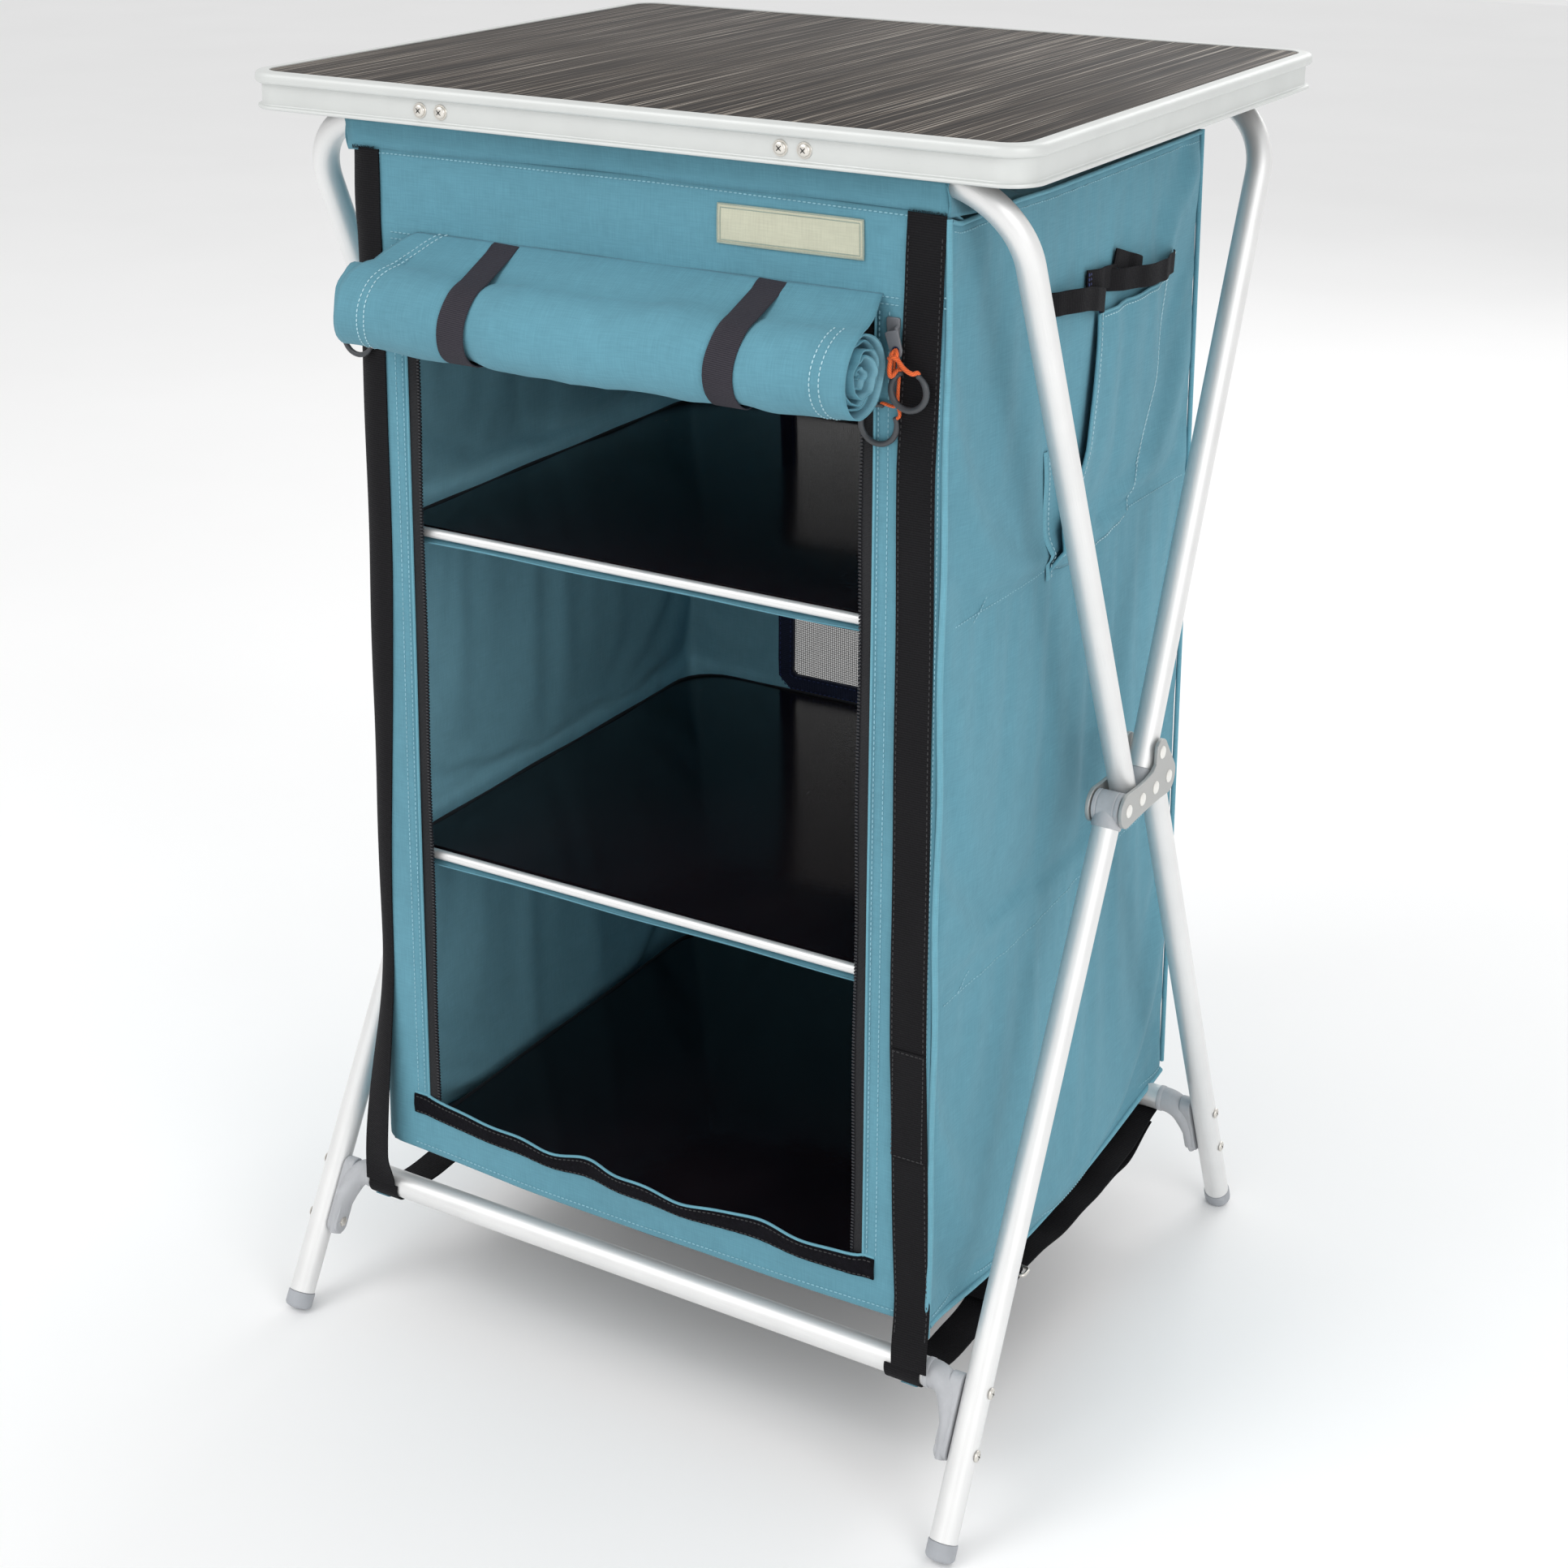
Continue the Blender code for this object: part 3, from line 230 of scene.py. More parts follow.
def lathe(S, profile, base, axis, sides=32, mi=0):
    """A turned piece from (radius, height) pairs along an axis; a radius of 0 closes it."""
    z = Vector(axis).normalized()
    x = z.orthogonal().normalized()
    y = z.cross(x)
    base = Vector(base)
    rings = []
    for r, h in profile:
        c = base + z * h
        if r < 1e-7:
            S.v.append(tuple(c))
            rings.append([len(S.v) - 1])
        else:
            start = len(S.v)
            S.v.extend(tuple(c + (x * math.cos(a) + y * math.sin(a)) * r) for a in (math.tau * i / sides for i in range(sides)))
            rings.append(list(range(start, start + sides)))
    v = 0.0
    for i in range(len(rings) - 1):
        a, b = rings[i], rings[i + 1]
        step = math.hypot(profile[i][0] - profile[i + 1][0], profile[i][1] - profile[i + 1][1])
        rr = max(profile[i][0], profile[i + 1][0])
        for j in range(sides):
            k = (j + 1) % sides
            u0, u1 = math.tau * rr * j / sides, math.tau * rr * (j + 1) / sides
            if len(a) == 1 and len(b) == 1:
                continue
            if len(a) == 1:
                S.face((a[0], b[k], b[j]), ((u0, v), (u1, v + step), (u0, v + step)), mi)
            elif len(b) == 1:
                S.face((a[j], a[k], b[0]), ((u0, v), (u1, v), (u0, v + step)), mi)
            else:
                S.face((a[j], a[k], b[k], b[j]), ((u0, v), (u1, v), (u1, v + step), (u0, v + step)), mi)
        v += step


def arc(centre, radius, start, end, steps):
    return [
        (
            centre[0] + radius * math.cos(math.radians(start + (end - start) * i / steps)),
            centre[1] + radius * math.sin(math.radians(start + (end - start) * i / steps)),
        )
        for i in range(steps + 1)
    ]


def rounded_rectangle(x0, y0, x1, y1, radii, steps=10):
    corners = ((x0, y0, 180), (x1, y0, 270), (x1, y1, 0), (x0, y1, 90))
    points = []
    for (cx, cy, start), r in zip(corners, radii):
        if r <= 0:
            points.append((cx, cy))
            continue
        ox = cx + (r if cx == x0 else -r)
        oy = cy + (r if cy == y0 else -r)
        points += arc((ox, oy), r, start, start + 90, steps)
    return points


def yz_frame(x):
    return Matrix(((0, 0, 1, x), (1, 0, 0, 0), (0, 1, 0, 0), (0, 0, 0, 1)))


def xz_frame(y):
    return Matrix(((1, 0, 0, 0), (0, 0, -1, y), (0, 1, 0, 0), (0, 0, 0, 1)))


def xy_frame(z):
    return Matrix.Translation((0, 0, z))


def slab(S, loop, half, matrix, bevel=0.0004, mi=0, segments=2):
    """A flat outline with rounded edges, its thickness along the frame's z."""
    bm = bmesh.new()
    vs = [bm.verts.new((x, y, -half)) for x, y in loop]
    f = bm.faces.new(vs)
    area = sum(a[0] * b[1] - b[0] * a[1] for a, b in zip(loop, loop[1:] + loop[:1]))
    if area > 0:
        f.normal_flip()
    out = bmesh.ops.extrude_face_region(bm, geom=[f])
    for v in [g for g in out["geom"] if isinstance(g, bmesh.types.BMVert)]:
        v.co.z = half
    bmesh.ops.recalc_face_normals(bm, faces=bm.faces)
    if bevel:
        rim = [e for e in bm.edges if abs(e.verts[0].co.z - e.verts[1].co.z) < 1e-9]
        bmesh.ops.bevel(bm, geom=rim, offset=bevel, segments=segments, profile=0.6, affect="EDGES", clamp_overlap=True)
    me = bpy.data.meshes.new("slab")
    bm.to_mesh(me)
    bm.free()
    if matrix.to_3x3().determinant() < 0:
        me.flip_normals()
    S.mesh(me, matrix, mi)
    bpy.data.meshes.remove(me)


def make(S, name, mats, body, angle=38, replaces=()):
    me = bpy.data.meshes.new(name)
    me.from_pydata([(x, y + OFF, z) for x, y, z in S.v], [], S.f)
    me.uv_layers.new(name="cloth")
    me.uv_layers["cloth"].data.foreach_set("uv", [c for cs in S.uv for p in cs for c in p])
    me.polygons.foreach_set("material_index", S.mi)
    for m in mats if isinstance(mats, (list, tuple)) else [mats]:
        me.materials.append(m)
    me.shade_smooth()
    if angle:
        me.set_sharp_from_angle(angle=math.radians(angle))
    me.update()
    obj = bpy.data.objects.new(name, me)
    bpy.context.scene.collection.objects.link(obj)
    bpy.context.view_layer.update()
    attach(obj, body)
    if replaces:
        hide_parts(*replaces)
    return obj


def thicken(obj, thick, offset=0.0, subdivide=0):
    if subdivide:
        m = obj.modifiers.new("smooth", "SUBSURF")
        m.levels = m.render_levels = subdivide
        m.boundary_smooth = "PRESERVE_CORNERS"
    m = obj.modifiers.new("cloth thickness", "SOLIDIFY")
    m.thickness = thick
    m.offset = offset
    m.use_even_offset = True
    m.thickness_clamp = 1.5
    return obj


def crumple(obj):
    """Gives the cloth piece its own copy of its mesh."""
    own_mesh(obj)
    return obj


def resample(points, step):
    pts = [Vector(p) for p in points]
    out, carry = [pts[0]], 0.0
    for a, b in zip(pts, pts[1:]):
        length = (b - a).length
        if length < 1e-9:
            continue
        s = step - carry
        while s <= length:
            out.append(a.lerp(b, s / length))
            s += step
        carry = length - (s - step)
    if (out[-1] - pts[-1]).length > step * 0.3:
        out.append(pts[-1])
    return out


def stitch(S, points, normal, pitch=0.0036, length=0.0027, radius=0.00042, mi=0):
    """A row of single stitches, each a small spindle lying along the path, just proud of the cloth."""
    pts = resample(points, pitch)
    n0 = Vector(normal) if not isinstance(normal, list) else None
    for i in range(len(pts) - 1):
        a, b = pts[i], pts[i + 1]
        t = (b - a).normalized()
        if n0 is None:
            k = min(len(normal) - 1, round(i / max(1, len(pts) - 2) * (len(normal) - 1)))
            n = Vector(normal[k])
        else:
            n = n0
        s = t.cross(n).normalized()
        c = (a + b) / 2
        h = length / 2
        base = len(S.v)
        for p, r in ((-0.92, 0.35), (-0.45, 1.0), (0.45, 1.0), (0.92, 0.35)):
            q = c + t * (p * h) + n * (radius * 0.15 * r)
            for j in range(4):
                ang = math.tau * (j + 0.5) / 4
                S.v.append(tuple(q + s * (math.cos(ang) * radius * r * 1.1) + n * (math.sin(ang) * radius * r * 0.8)))
        for g in range(3):
            for j in range(4):
                k = (j + 1) % 4
                S.face((base + 4 * g + j, base + 4 * g + k, base + 4 * g + 4 + k, base + 4 * g + 4 + j), None, mi)
        S.face([base + 3, base + 2, base + 1, base], None, mi)
        S.face([base + 12, base + 13, base + 14, base + 15], None, mi)


# ---------------------------------------------------------------- materials
class Mat:
    def __init__(self, name, colour=(0.5, 0.5, 0.5), rough=0.5, metal=0.0, **sockets):
        self.m = bpy.data.materials.new(name)
        self.m.use_nodes = True
        self.nt = self.m.node_tree
        self.b = self.nt.nodes["Principled BSDF"]
        self.b.inputs["Base Color"].default_value = (*colour, 1.0)
        self.b.inputs["Roughness"].default_value = rough
        self.b.inputs["Metallic"].default_value = metal
        for k, v in sockets.items():
            self.b.inputs[k.replace("_", " ")].default_value = v

    def put(self, sock, value):
        if isinstance(value, bpy.types.NodeSocket):
            self.nt.links.new(value, sock)
        elif value is not None:
            sock.default_value = value

    def uv(self):
        n = self.nt.nodes.new("ShaderNodeUVMap")
        n.uv_map = "cloth"
        return n.outputs[0]

    def obj(self):
        return self.nt.nodes.new("ShaderNodeTexCoord").outputs["Object"]

    def scaled(self, vec, scale, move=(0, 0, 0)):
        n = self.nt.nodes.new("ShaderNodeMapping")
        self.put(n.inputs["Vector"], vec)
        n.inputs["Scale"].default_value = scale
        n.inputs["Location"].default_value = move
        return n.outputs[0]

    def noise(self, vec, scale=1.0, detail=2.0, rough=0.5, distortion=0.0):
        n = self.nt.nodes.new("ShaderNodeTexNoise")
        self.put(n.inputs["Vector"], vec)
        n.inputs["Scale"].default_value = scale
        n.inputs["Detail"].default_value = detail
        n.inputs["Roughness"].default_value = rough
        n.inputs["Distortion"].default_value = distortion
        return n.outputs["Fac"]

    def bands(self, vec, axis, scale, distortion=0.0):
        n = self.nt.nodes.new("ShaderNodeTexWave")
        n.wave_type = "BANDS"
        n.bands_direction = axis
        n.wave_profile = "SIN"
        self.put(n.inputs["Vector"], vec)
        n.inputs["Scale"].default_value = scale
        n.inputs["Distortion"].default_value = distortion
        return n.outputs["Fac"]

    def math(self, op, a, b=None, c=None):
        n = self.nt.nodes.new("ShaderNodeMath")
        n.operation = op
        self.put(n.inputs[0], a)
        self.put(n.inputs[1], b)
        if c is not None:
            self.put(n.inputs[2], c)
        return n.outputs[0]

    def fit(self, fac, lo, hi, a, b):
        n = self.nt.nodes.new("ShaderNodeMapRange")
        self.put(n.inputs["Value"], fac)
        for k, v in zip(("From Min", "From Max", "To Min", "To Max"), (lo, hi, a, b)):
            n.inputs[k].default_value = v
        return n.outputs[0]

    def mix(self, fac, a, b, blend="MIX"):
        n = self.nt.nodes.new("ShaderNodeMix")
        n.data_type = "RGBA"
        n.blend_type = blend
        self.put(n.inputs[0], fac)
        for s, v in ((n.inputs[6], a), (n.inputs[7], b)):
            self.put(s, (*v, 1.0) if isinstance(v, tuple) and len(v) == 3 else v)
        return n.outputs[2]

    def ramp(self, fac, stops):
        n = self.nt.nodes.new("ShaderNodeValToRGB")
        self.put(n.inputs[0], fac)
        el = n.color_ramp.elements
        while len(el) < len(stops):
            el.new(0.5)
        for e, (p, c) in zip(el, stops):
            e.position = p
            e.color = (*c, 1.0)
        return n.outputs[0]

    def bump(self, height, strength, distance, after=None):
        n = self.nt.nodes.new("ShaderNodeBump")
        n.inputs["Strength"].default_value = strength
        n.inputs["Distance"].default_value = distance
        self.put(n.inputs["Height"], height)
        if after is not None:
            self.put(n.inputs["Normal"], after)
        return n.outputs[0]

    def set(self, colour=None, rough=None, normal=None):
        self.put(self.b.inputs["Base Color"], colour)
        self.put(self.b.inputs["Roughness"], rough)
        self.put(self.b.inputs["Normal"], normal)
        return self.m


def woven(name, colour, rough=0.82, contrast=0.07, thread=0.0009, sheen=0.12, tint=(0.62, 0.80, 0.88), dirt=0.10):
    """Coated oxford cloth: crossing threads, uneven yarns, soft large-scale shade changes."""
    M = Mat(name, colour, rough, 0.0, Sheen_Weight=sheen, Sheen_Roughness=0.5, Specular_IOR_Level=0.30)
    M.b.inputs["Sheen Tint"].default_value = (*tint, 1.0)
    uv = M.uv()
    warp = M.noise(M.scaled(uv, (1 / thread, 60, 1)), 1.0, 1.0)
    weft = M.noise(M.scaled(uv, (60, 1 / thread, 1)), 1.0, 1.0)
    wx = M.bands(M.scaled(uv, (1, 1, 1)), "X", 0.31416 / thread)
    wy = M.bands(M.scaled(uv, (1, 1, 1)), "Y", 0.31416 / thread)
    cross = M.math("MULTIPLY", M.math("SUBTRACT", wx, 0.5), M.math("SUBTRACT", wy, 0.5))
    slub = M.math("ADD", M.math("MULTIPLY", warp, 0.5), M.math("MULTIPLY", weft, 0.5))
    broad = M.noise(M.scaled(uv, (5, 3, 1)), 1.0, 3.0, 0.55)
    cloud = M.noise(M.scaled(uv, (60, 60, 1)), 1.0, 3.0, 0.6)
    k = M.fit(slub, 0.33, 0.67, 1 - contrast, 1 + contrast)
    k = M.math("MULTIPLY", k, M.fit(broad, 0.3, 0.7, 1 - dirt, 1 + dirt * 0.6))
    k = M.math("MULTIPLY", k, M.fit(cloud, 0.3, 0.7, 0.965, 1.035))
    k = M.math("ADD", k, M.math("MULTIPLY", cross, 0.22))
    col = M.mix(1.0, colour, M.joined(k), "MULTIPLY")
    height = M.math("ADD", cross, M.math("MULTIPLY", slub, 0.8))
    soft = M.bump(broad, 0.25, 0.004)
    return M.set(col, M.fit(slub, 0.3, 0.7, rough + 0.06, rough - 0.06), M.bump(height, 0.5, 0.0003, soft))


def _joined(self, v):
    n = self.nt.nodes.new("ShaderNodeCombineColor")
    for i in range(3):
        self.put(n.inputs[i], v)
    return n.outputs[0]


Mat.joined = _joined


def webbing(name, colour, rib=0.0016, lift=0.05, spec=0.25):
    """Ribbed webbing: bars across its length, a fine twill and a slightly furred surface."""
    M = Mat(name, colour, 0.8, 0.0, Sheen_Weight=0.2 * spec, Sheen_Roughness=0.45, Specular_IOR_Level=spec)
    M.b.inputs["Sheen Tint"].default_value = (0.5, 0.52, 0.6, 1.0)
    uv = M.uv()
    bars = M.bands(uv, "Y", 0.31416 / rib, 0.4)
    fine = M.bands(uv, "X", 0.31416 / 0.0011, 0.3)
    fuzz = M.noise(M.scaled(uv, (900, 500, 1)), 1.0, 2.0)
    broad = M.noise(M.scaled(uv, (30, 14, 1)), 1.0, 3.0)
    h = M.math("ADD", M.math("MULTIPLY", bars, 0.7), M.math("MULTIPLY", fine, 0.2))
    h = M.math("ADD", h, M.math("MULTIPLY", fuzz, 0.4))
    c0 = tuple(c * 0.6 for c in colour)
    c1 = tuple(c * 1.3 + lift * 0.3 for c in colour)
    col = M.mix(M.fit(M.math("ADD", bars, M.math("MULTIPLY", broad, 0.8)), 0.2, 1.6, 0, 1), c0, c1)
    return M.set(col, M.fit(fuzz, 0.3, 0.7, 0.7, 0.9), M.bump(h, 0.6, 0.0004))


def brushed(name, colour, rough=0.36, metal=0.85, grain=0.05, shade=None):
    """Drawn aluminium: fine lines along the piece, faint clouding, small scratches and dull spots."""
    M = Mat(name, colour, rough, metal, Specular_IOR_Level=0.6)
    uv = M.uv()
    lines = M.noise(M.scaled(uv, (5200, 30, 1)), 1.0, 2.0)
    cloud = M.noise(M.scaled(M.obj(), (26, 26, 26)), 1.0, 3.0)
    specks = M.noise(M.scaled(M.obj(), (420, 420, 420)), 1.0, 1.0)
    scratch = M.fit(M.noise(M.scaled(uv, (900, 130, 1), (3, 1, 0)), 1.0, 4.0, 0.6), 0.66, 0.72, 0.0, 1.0)
    k = M.math("MULTIPLY", M.fit(lines, 0.3, 0.7, 1 - grain, 1 + grain * 0.4), M.fit(cloud, 0.3, 0.7, 0.97, 1.02))
    k = M.math("SUBTRACT", k, M.math("MULTIPLY", scratch, 0.06))
    col = M.mix(1.0, colour, M.joined(k), "MULTIPLY")
    r = M.math("ADD", M.fit(lines, 0.3, 0.7, rough - 0.05, rough + 0.07), M.math("MULTIPLY", specks, 0.06))
    h = M.math("ADD", M.math("MULTIPLY", lines, 0.5), M.math("MULTIPLY", specks, 0.3))
    return M.set(col, r, M.bump(h, 0.12, 0.0002))


def moulded(name, colour, rough=0.48, grain=900, depth=0.0002):
    """Moulded plastic with a fine spark-eroded grain, flow shades and scattered paler scuffs."""
    M = Mat(name, colour, rough, 0.0, Specular_IOR_Level=0.45)
    o = M.obj()
    fine = M.noise(M.scaled(o, (grain,) * 3), 1.0, 2.0)
    flow = M.noise(M.scaled(o, (60, 60, 30)), 1.0, 3.0, 0.6, 0.6)
    scuff = M.fit(M.noise(M.scaled(o, (240, 240, 90)), 1.0, 4.0, 0.65), 0.6, 0.75, 0, 1)
    col = M.mix(M.math("MULTIPLY", scuff, 0.35), M.mix(M.fit(flow, 0.3, 0.7, 0, 1), tuple(c * 0.9 for c in colour), tuple(min(1, c * 1.08) for c in colour)), tuple(min(1, c * 1.25 + 0.03) for c in colour))
    return M.set(col, M.fit(fine, 0.3, 0.7, rough - 0.07, rough + 0.1), M.bump(fine, 0.35, depth))


def laminate():
    """Printed wood-look laminate: fine dark and pale lines that run from front to back."""
    M = Mat("laminate", (0.12, 0.1, 0.09), 0.50, 0.0, Specular_IOR_Level=0.20)
    o = M.obj()
    a = M.noise(M.scaled(o, (500, 1.5, 1), (0.3, 0, 0)), 1.0, 3.0, 0.70)
    b = M.noise(M.scaled(o, (1250, 6.0, 1), (5, 2, 0)), 1.0, 2.0, 0.6)
    c = M.noise(M.scaled(o, (46, 0.6, 1), (2, 7, 0)), 1.0, 2.0, 0.5)
    pores = M.fit(M.noise(M.scaled(o, (1500, 42, 1), (1, 4, 0)), 1.0, 2.0, 0.6), 0.62, 0.70, 0, 1)
    mixed = M.math("ADD", M.math("MULTIPLY", a, 0.62), M.math("ADD", M.math("MULTIPLY", b, 0.30), M.math("MULTIPLY", c, 0.10)))
    col = M.ramp(M.fit(mixed, 0.41, 0.62, 0, 1), [(0.0, (0.005, 0.004, 0.003)), (0.34, (0.013, 0.009, 0.007)), (0.54, (0.035, 0.026, 0.020)), (0.70, (0.076, 0.060, 0.047)), (0.84, (0.175, 0.150, 0.124)), (1.0, (0.34, 0.31, 0.27))])
    col = M.mix(M.math("MULTIPLY", pores, 0.6), col, (0.012, 0.010, 0.009))
    wear = M.noise(M.scaled(o, (7, 7, 7)), 1.0, 4.0, 0.6)
    return M.set(col, M.math("ADD", M.fit(a, 0.3, 0.7, 0.58, 0.46), M.math("MULTIPLY", wear, 0.1)), M.bump(M.math("ADD", a, M.math("MULTIPLY", b, 0.6)), 0.25, 0.0002))


def glossy_board():
    """Black coated board: a smooth gloss with a faint leather grain and hair scratches."""
    M = Mat("black_board", (0.006, 0.005, 0.008), 0.13, 0.0, Specular_IOR_Level=0.22)
    o = M.obj()
    grain = M.noise(M.scaled(o, (380,) * 3), 1.0, 2.0)
    wave = M.noise(M.scaled(o, (11, 9, 10)), 1.0, 2.0)
    hair = M.fit(M.noise(M.scaled(o, (700, 50, 10)), 1.0, 3.0, 0.6), 0.66, 0.74, 0, 1)
    col = M.mix(M.fit(wave, 0.3, 0.7, 0, 1), (0.0045, 0.0028, 0.0040), (0.0085, 0.0052, 0.0068))
    r = M.math("ADD", M.fit(wave, 0.3, 0.7, 0.10, 0.19), M.math("MULTIPLY", hair, 0.12))
    return M.set(col, r, M.bump(M.math("ADD", grain, M.math("MULTIPLY", wave, 6.0)), 0.06, 0.0004))


def net():
    """Knitted mesh: dark threads round small open holes, in paler and darker patches that are painted shade of folds.
    """
    M = Mat("mesh_cloth", (0.058, 0.050, 0.044), 0.85, 0.0, Sheen_Weight=0.2)
    uv = M.uv()
    hx = M.bands(uv, "X", 0.31416 / 0.0013)
    hy = M.bands(uv, "Y", 0.31416 / 0.0013)
    hole = M.math("MULTIPLY", hx, hy)
    # paler and darker patches from a broad noise: painted shade of folds in the mesh
    fold = M.noise(M.scaled(uv, (16, 6, 1)), 1.0, 2.0)
    alpha = M.fit(hole, 0.34, 0.50, 1.0, 0.14)
    M.put(M.b.inputs["Alpha"], alpha)
    fuzz = M.noise(M.scaled(uv, (1600, 1600, 1)), 1.0, 1.0)
    col = M.mix(M.fit(fold, 0.3, 0.7, 0, 1), (0.060, 0.053, 0.049), (0.120, 0.108, 0.100))
    return M.set(col, M.fit(fuzz, 0.3, 0.7, 0.78, 0.95), M.bump(hole, 0.5, 0.0005))


def fuzzy(name, colour, scale=2200):
    """Loop side of a hook-and-loop tape: dense curled pile."""
    M = Mat(name, colour, 0.95, 0.0, Sheen_Weight=0.02, Sheen_Roughness=0.6, Specular_IOR_Level=0.08)
    M.b.inputs["Sheen Tint"].default_value = (0.35, 0.38, 0.5, 1.0)
    uv = M.uv()
    pile = M.noise(M.scaled(uv, (scale, scale, 1)), 1.0, 3.0, 0.7, 1.0)
    clump = M.noise(M.scaled(uv, (260, 260, 1)), 1.0, 3.0, 0.6)
    col = M.mix(M.fit(M.math("ADD", pile, clump), 0.7, 1.3, 0, 1), tuple(c * 0.4 for c in colour), tuple(c * 1.9 + 0.001 for c in colour))
    return M.set(col, M.fit(clump, 0.3, 0.7, 0.88, 1.0), M.bump(M.math("ADD", pile, clump), 0.9, 0.0008))


def thread_mat(name, colour):
    M = Mat(name, colour, 0.6, 0.0, Sheen_Weight=0.2)
    o = M.obj()
    twist = M.noise(M.scaled(o, (1800,) * 3), 1.0, 2.0)
    shade = M.noise(M.scaled(o, (40,) * 3), 1.0, 2.0)
    col = M.mix(M.fit(M.math("ADD", twist, shade), 0.7, 1.3, 0, 1), tuple(c * 0.78 for c in colour), tuple(min(1.0, c * 1.12) for c in colour))
    return M.set(col, M.fit(twist, 0.3, 0.7, 0.5, 0.7), M.bump(twist, 0.4, 0.0002))


def cordage(name, colour):
    """Braided cord: slanting strands."""
    M = Mat(name, colour, 0.62, 0.0, Sheen_Weight=0.15)
    uv = M.uv()
    a = M.bands(M.scaled(uv, (1, 1, 1)), "DIAGONAL", 0.31416 / 0.0009)
    f = M.noise(M.scaled(uv, (3000, 900, 1)), 1.0, 2.0)
    col = M.mix(M.fit(M.math("ADD", a, M.math("MULTIPLY", f, 0.5)), 0.1, 1.3, 0, 1), tuple(c * 0.62 for c in colour), tuple(min(1.0, c * 1.12) for c in colour))
    return M.set(col, M.fit(f, 0.3, 0.7, 0.55, 0.72), M.bump(a, 0.7, 0.0004))


TEAL = (0.105, 0.279, 0.355)
BLUE = woven("blue_fabric", TEAL)
# inner, coated side of the blue cloth: a little greyer, and much paler than the outer side; the extra brightness is
# painted light standing in for light inside the bag
BLUE_INSIDE_PAINTED_LIGHT = woven("blue_coated_side_painted_light", (0.205, 0.435, 0.530), rough=0.60, contrast=0.06, sheen=0.05, dirt=0.12)
BLUE_EDGE = woven("blue_binding", (0.135, 0.345, 0.430), contrast=0.12, thread=0.0006)
BLACK_CLOTH = woven("black_fabric", (0.010, 0.010, 0.012), rough=0.75, contrast=0.3, sheen=0.15, tint=(0.4, 0.4, 0.5))
BLACK_WEB = webbing("black_webbing", (0.0072, 0.0068, 0.0080), lift=0.008, spec=0.13)
PLUM_WEB = webbing("plum_webbing", (0.022, 0.019, 0.028), rib=0.0013, lift=0.06)
NAVY_WEB = webbing("navy_webbing", (0.012, 0.016, 0.045), rib=0.0012)
TAPE = webbing("zip_tape", (0.010, 0.010, 0.012), rib=0.0008)
BLUE_TAPE = webbing("blue_tape", (0.16, 0.37, 0.47), rib=0.0010)
LOOP_TAPE = fuzzy("loop_tape", (0.0048, 0.0044, 0.0062))
ALU = brushed("tube_aluminium", (0.80, 0.80, 0.795), 0.42, 0.55)
EDGE = brushed("edge_aluminium", (0.612, 0.628, 0.615), 0.46, 0.25, grain=0.02)
STEEL = brushed("steel", (0.72, 0.69, 0.64), 0.30, 0.95)
RIVET = brushed("rivet_steel", (0.86, 0.85, 0.81), 0.38, 0.55)
# near-black plastic for the screws' cross recesses: painted shade standing in for the depth of the recess
RECESS_SHADE = moulded("painted_recess_shade", (0.03, 0.028, 0.025), 0.7)
PLATE = brushed("hub_plate", (0.46, 0.465, 0.455), 0.46, 0.55, grain=0.03)
PLASTIC = moulded("grey_plastic", (0.425, 0.435, 0.455), 0.50)
CAP = moulded("cap_plastic", (0.36, 0.375, 0.40), 0.55)
CLIP = moulded("clip_plastic", (0.50, 0.52, 0.53), 0.45)
BOARD = glossy_board()
NET = net()
LAMINATE = laminate()
THREAD = thread_mat("pale_thread", (0.235, 0.470, 0.560))
WHITE_THREAD = thread_mat("white_thread", (0.40, 0.62, 0.69))
BLACK_THREAD = thread_mat("black_thread", (0.009, 0.009, 0.011))
NAVY_THREAD = thread_mat("navy_thread", (0.015, 0.030, 0.16))
ORANGE = cordage("orange_cord", (0.86, 0.135, 0.020))
GRIP = moulded("pull_plastic", (0.050, 0.054, 0.060), 0.42)
TAB = moulded("tab_plastic", (0.16, 0.165, 0.18), 0.45)
# dark navy for the pull tab's hole: painted shade standing in for the shaded view through the hole
HOLE_SHADE = moulded("painted_hole_shade", (0.008, 0.014, 0.05), 0.6)
PATCH = woven("cream_patch", (0.535, 0.535, 0.415), rough=0.7, contrast=0.07, thread=0.0007, tint=(0.9, 0.9, 0.8), dirt=0.04)
PATCH_LINE = thread_mat("patch_border", (0.30, 0.36, 0.30))
TEETH = moulded("zip_teeth", (0.016, 0.016, 0.020), 0.35)

# ---------------------------------------------------------------- camera
CAM = dict(x=0.9335, y=-1.6169 + OFF, z=1.1981, yaw=0.5288, pitch=-0.2435, roll=0.0052, f=3238.93, py=424.0)


def set_camera():
    cy, sy, cp, sp = math.cos(CAM["yaw"]), math.sin(CAM["yaw"]), math.cos(CAM["pitch"]), math.sin(CAM["pitch"])
    fwd = Vector((-sy * cp, cy * cp, sp))
    right = Vector((cy, sy, 0.0))
    up = right.cross(fwd)
    c, s = math.cos(CAM["roll"]), math.sin(CAM["roll"])
    r2, u2 = right * c + up * s, up * c - right * s
    data = bpy.data.cameras.new("camera")
    cam = bpy.data.objects.new("camera", data)
    bpy.context.scene.collection.objects.link(cam)
    m = Matrix((r2, u2, -fwd)).transposed().to_4x4()
    m.translation = Vector((CAM["x"], CAM["y"], CAM["z"]))
    cam.matrix_world = m
    data.sensor_width = 36.0
    data.sensor_fit = "HORIZONTAL"
    data.lens = CAM["f"] / 1932 * 36
    data.shift_y = -(966 - CAM["py"]) / 1932
    data.clip_start, data.clip_end = 0.05, 60
    data.dof.use_dof = False
    bpy.context.scene.camera = cam


set_camera()

# ---------------------------------------------------------------- tubes of the folding frame


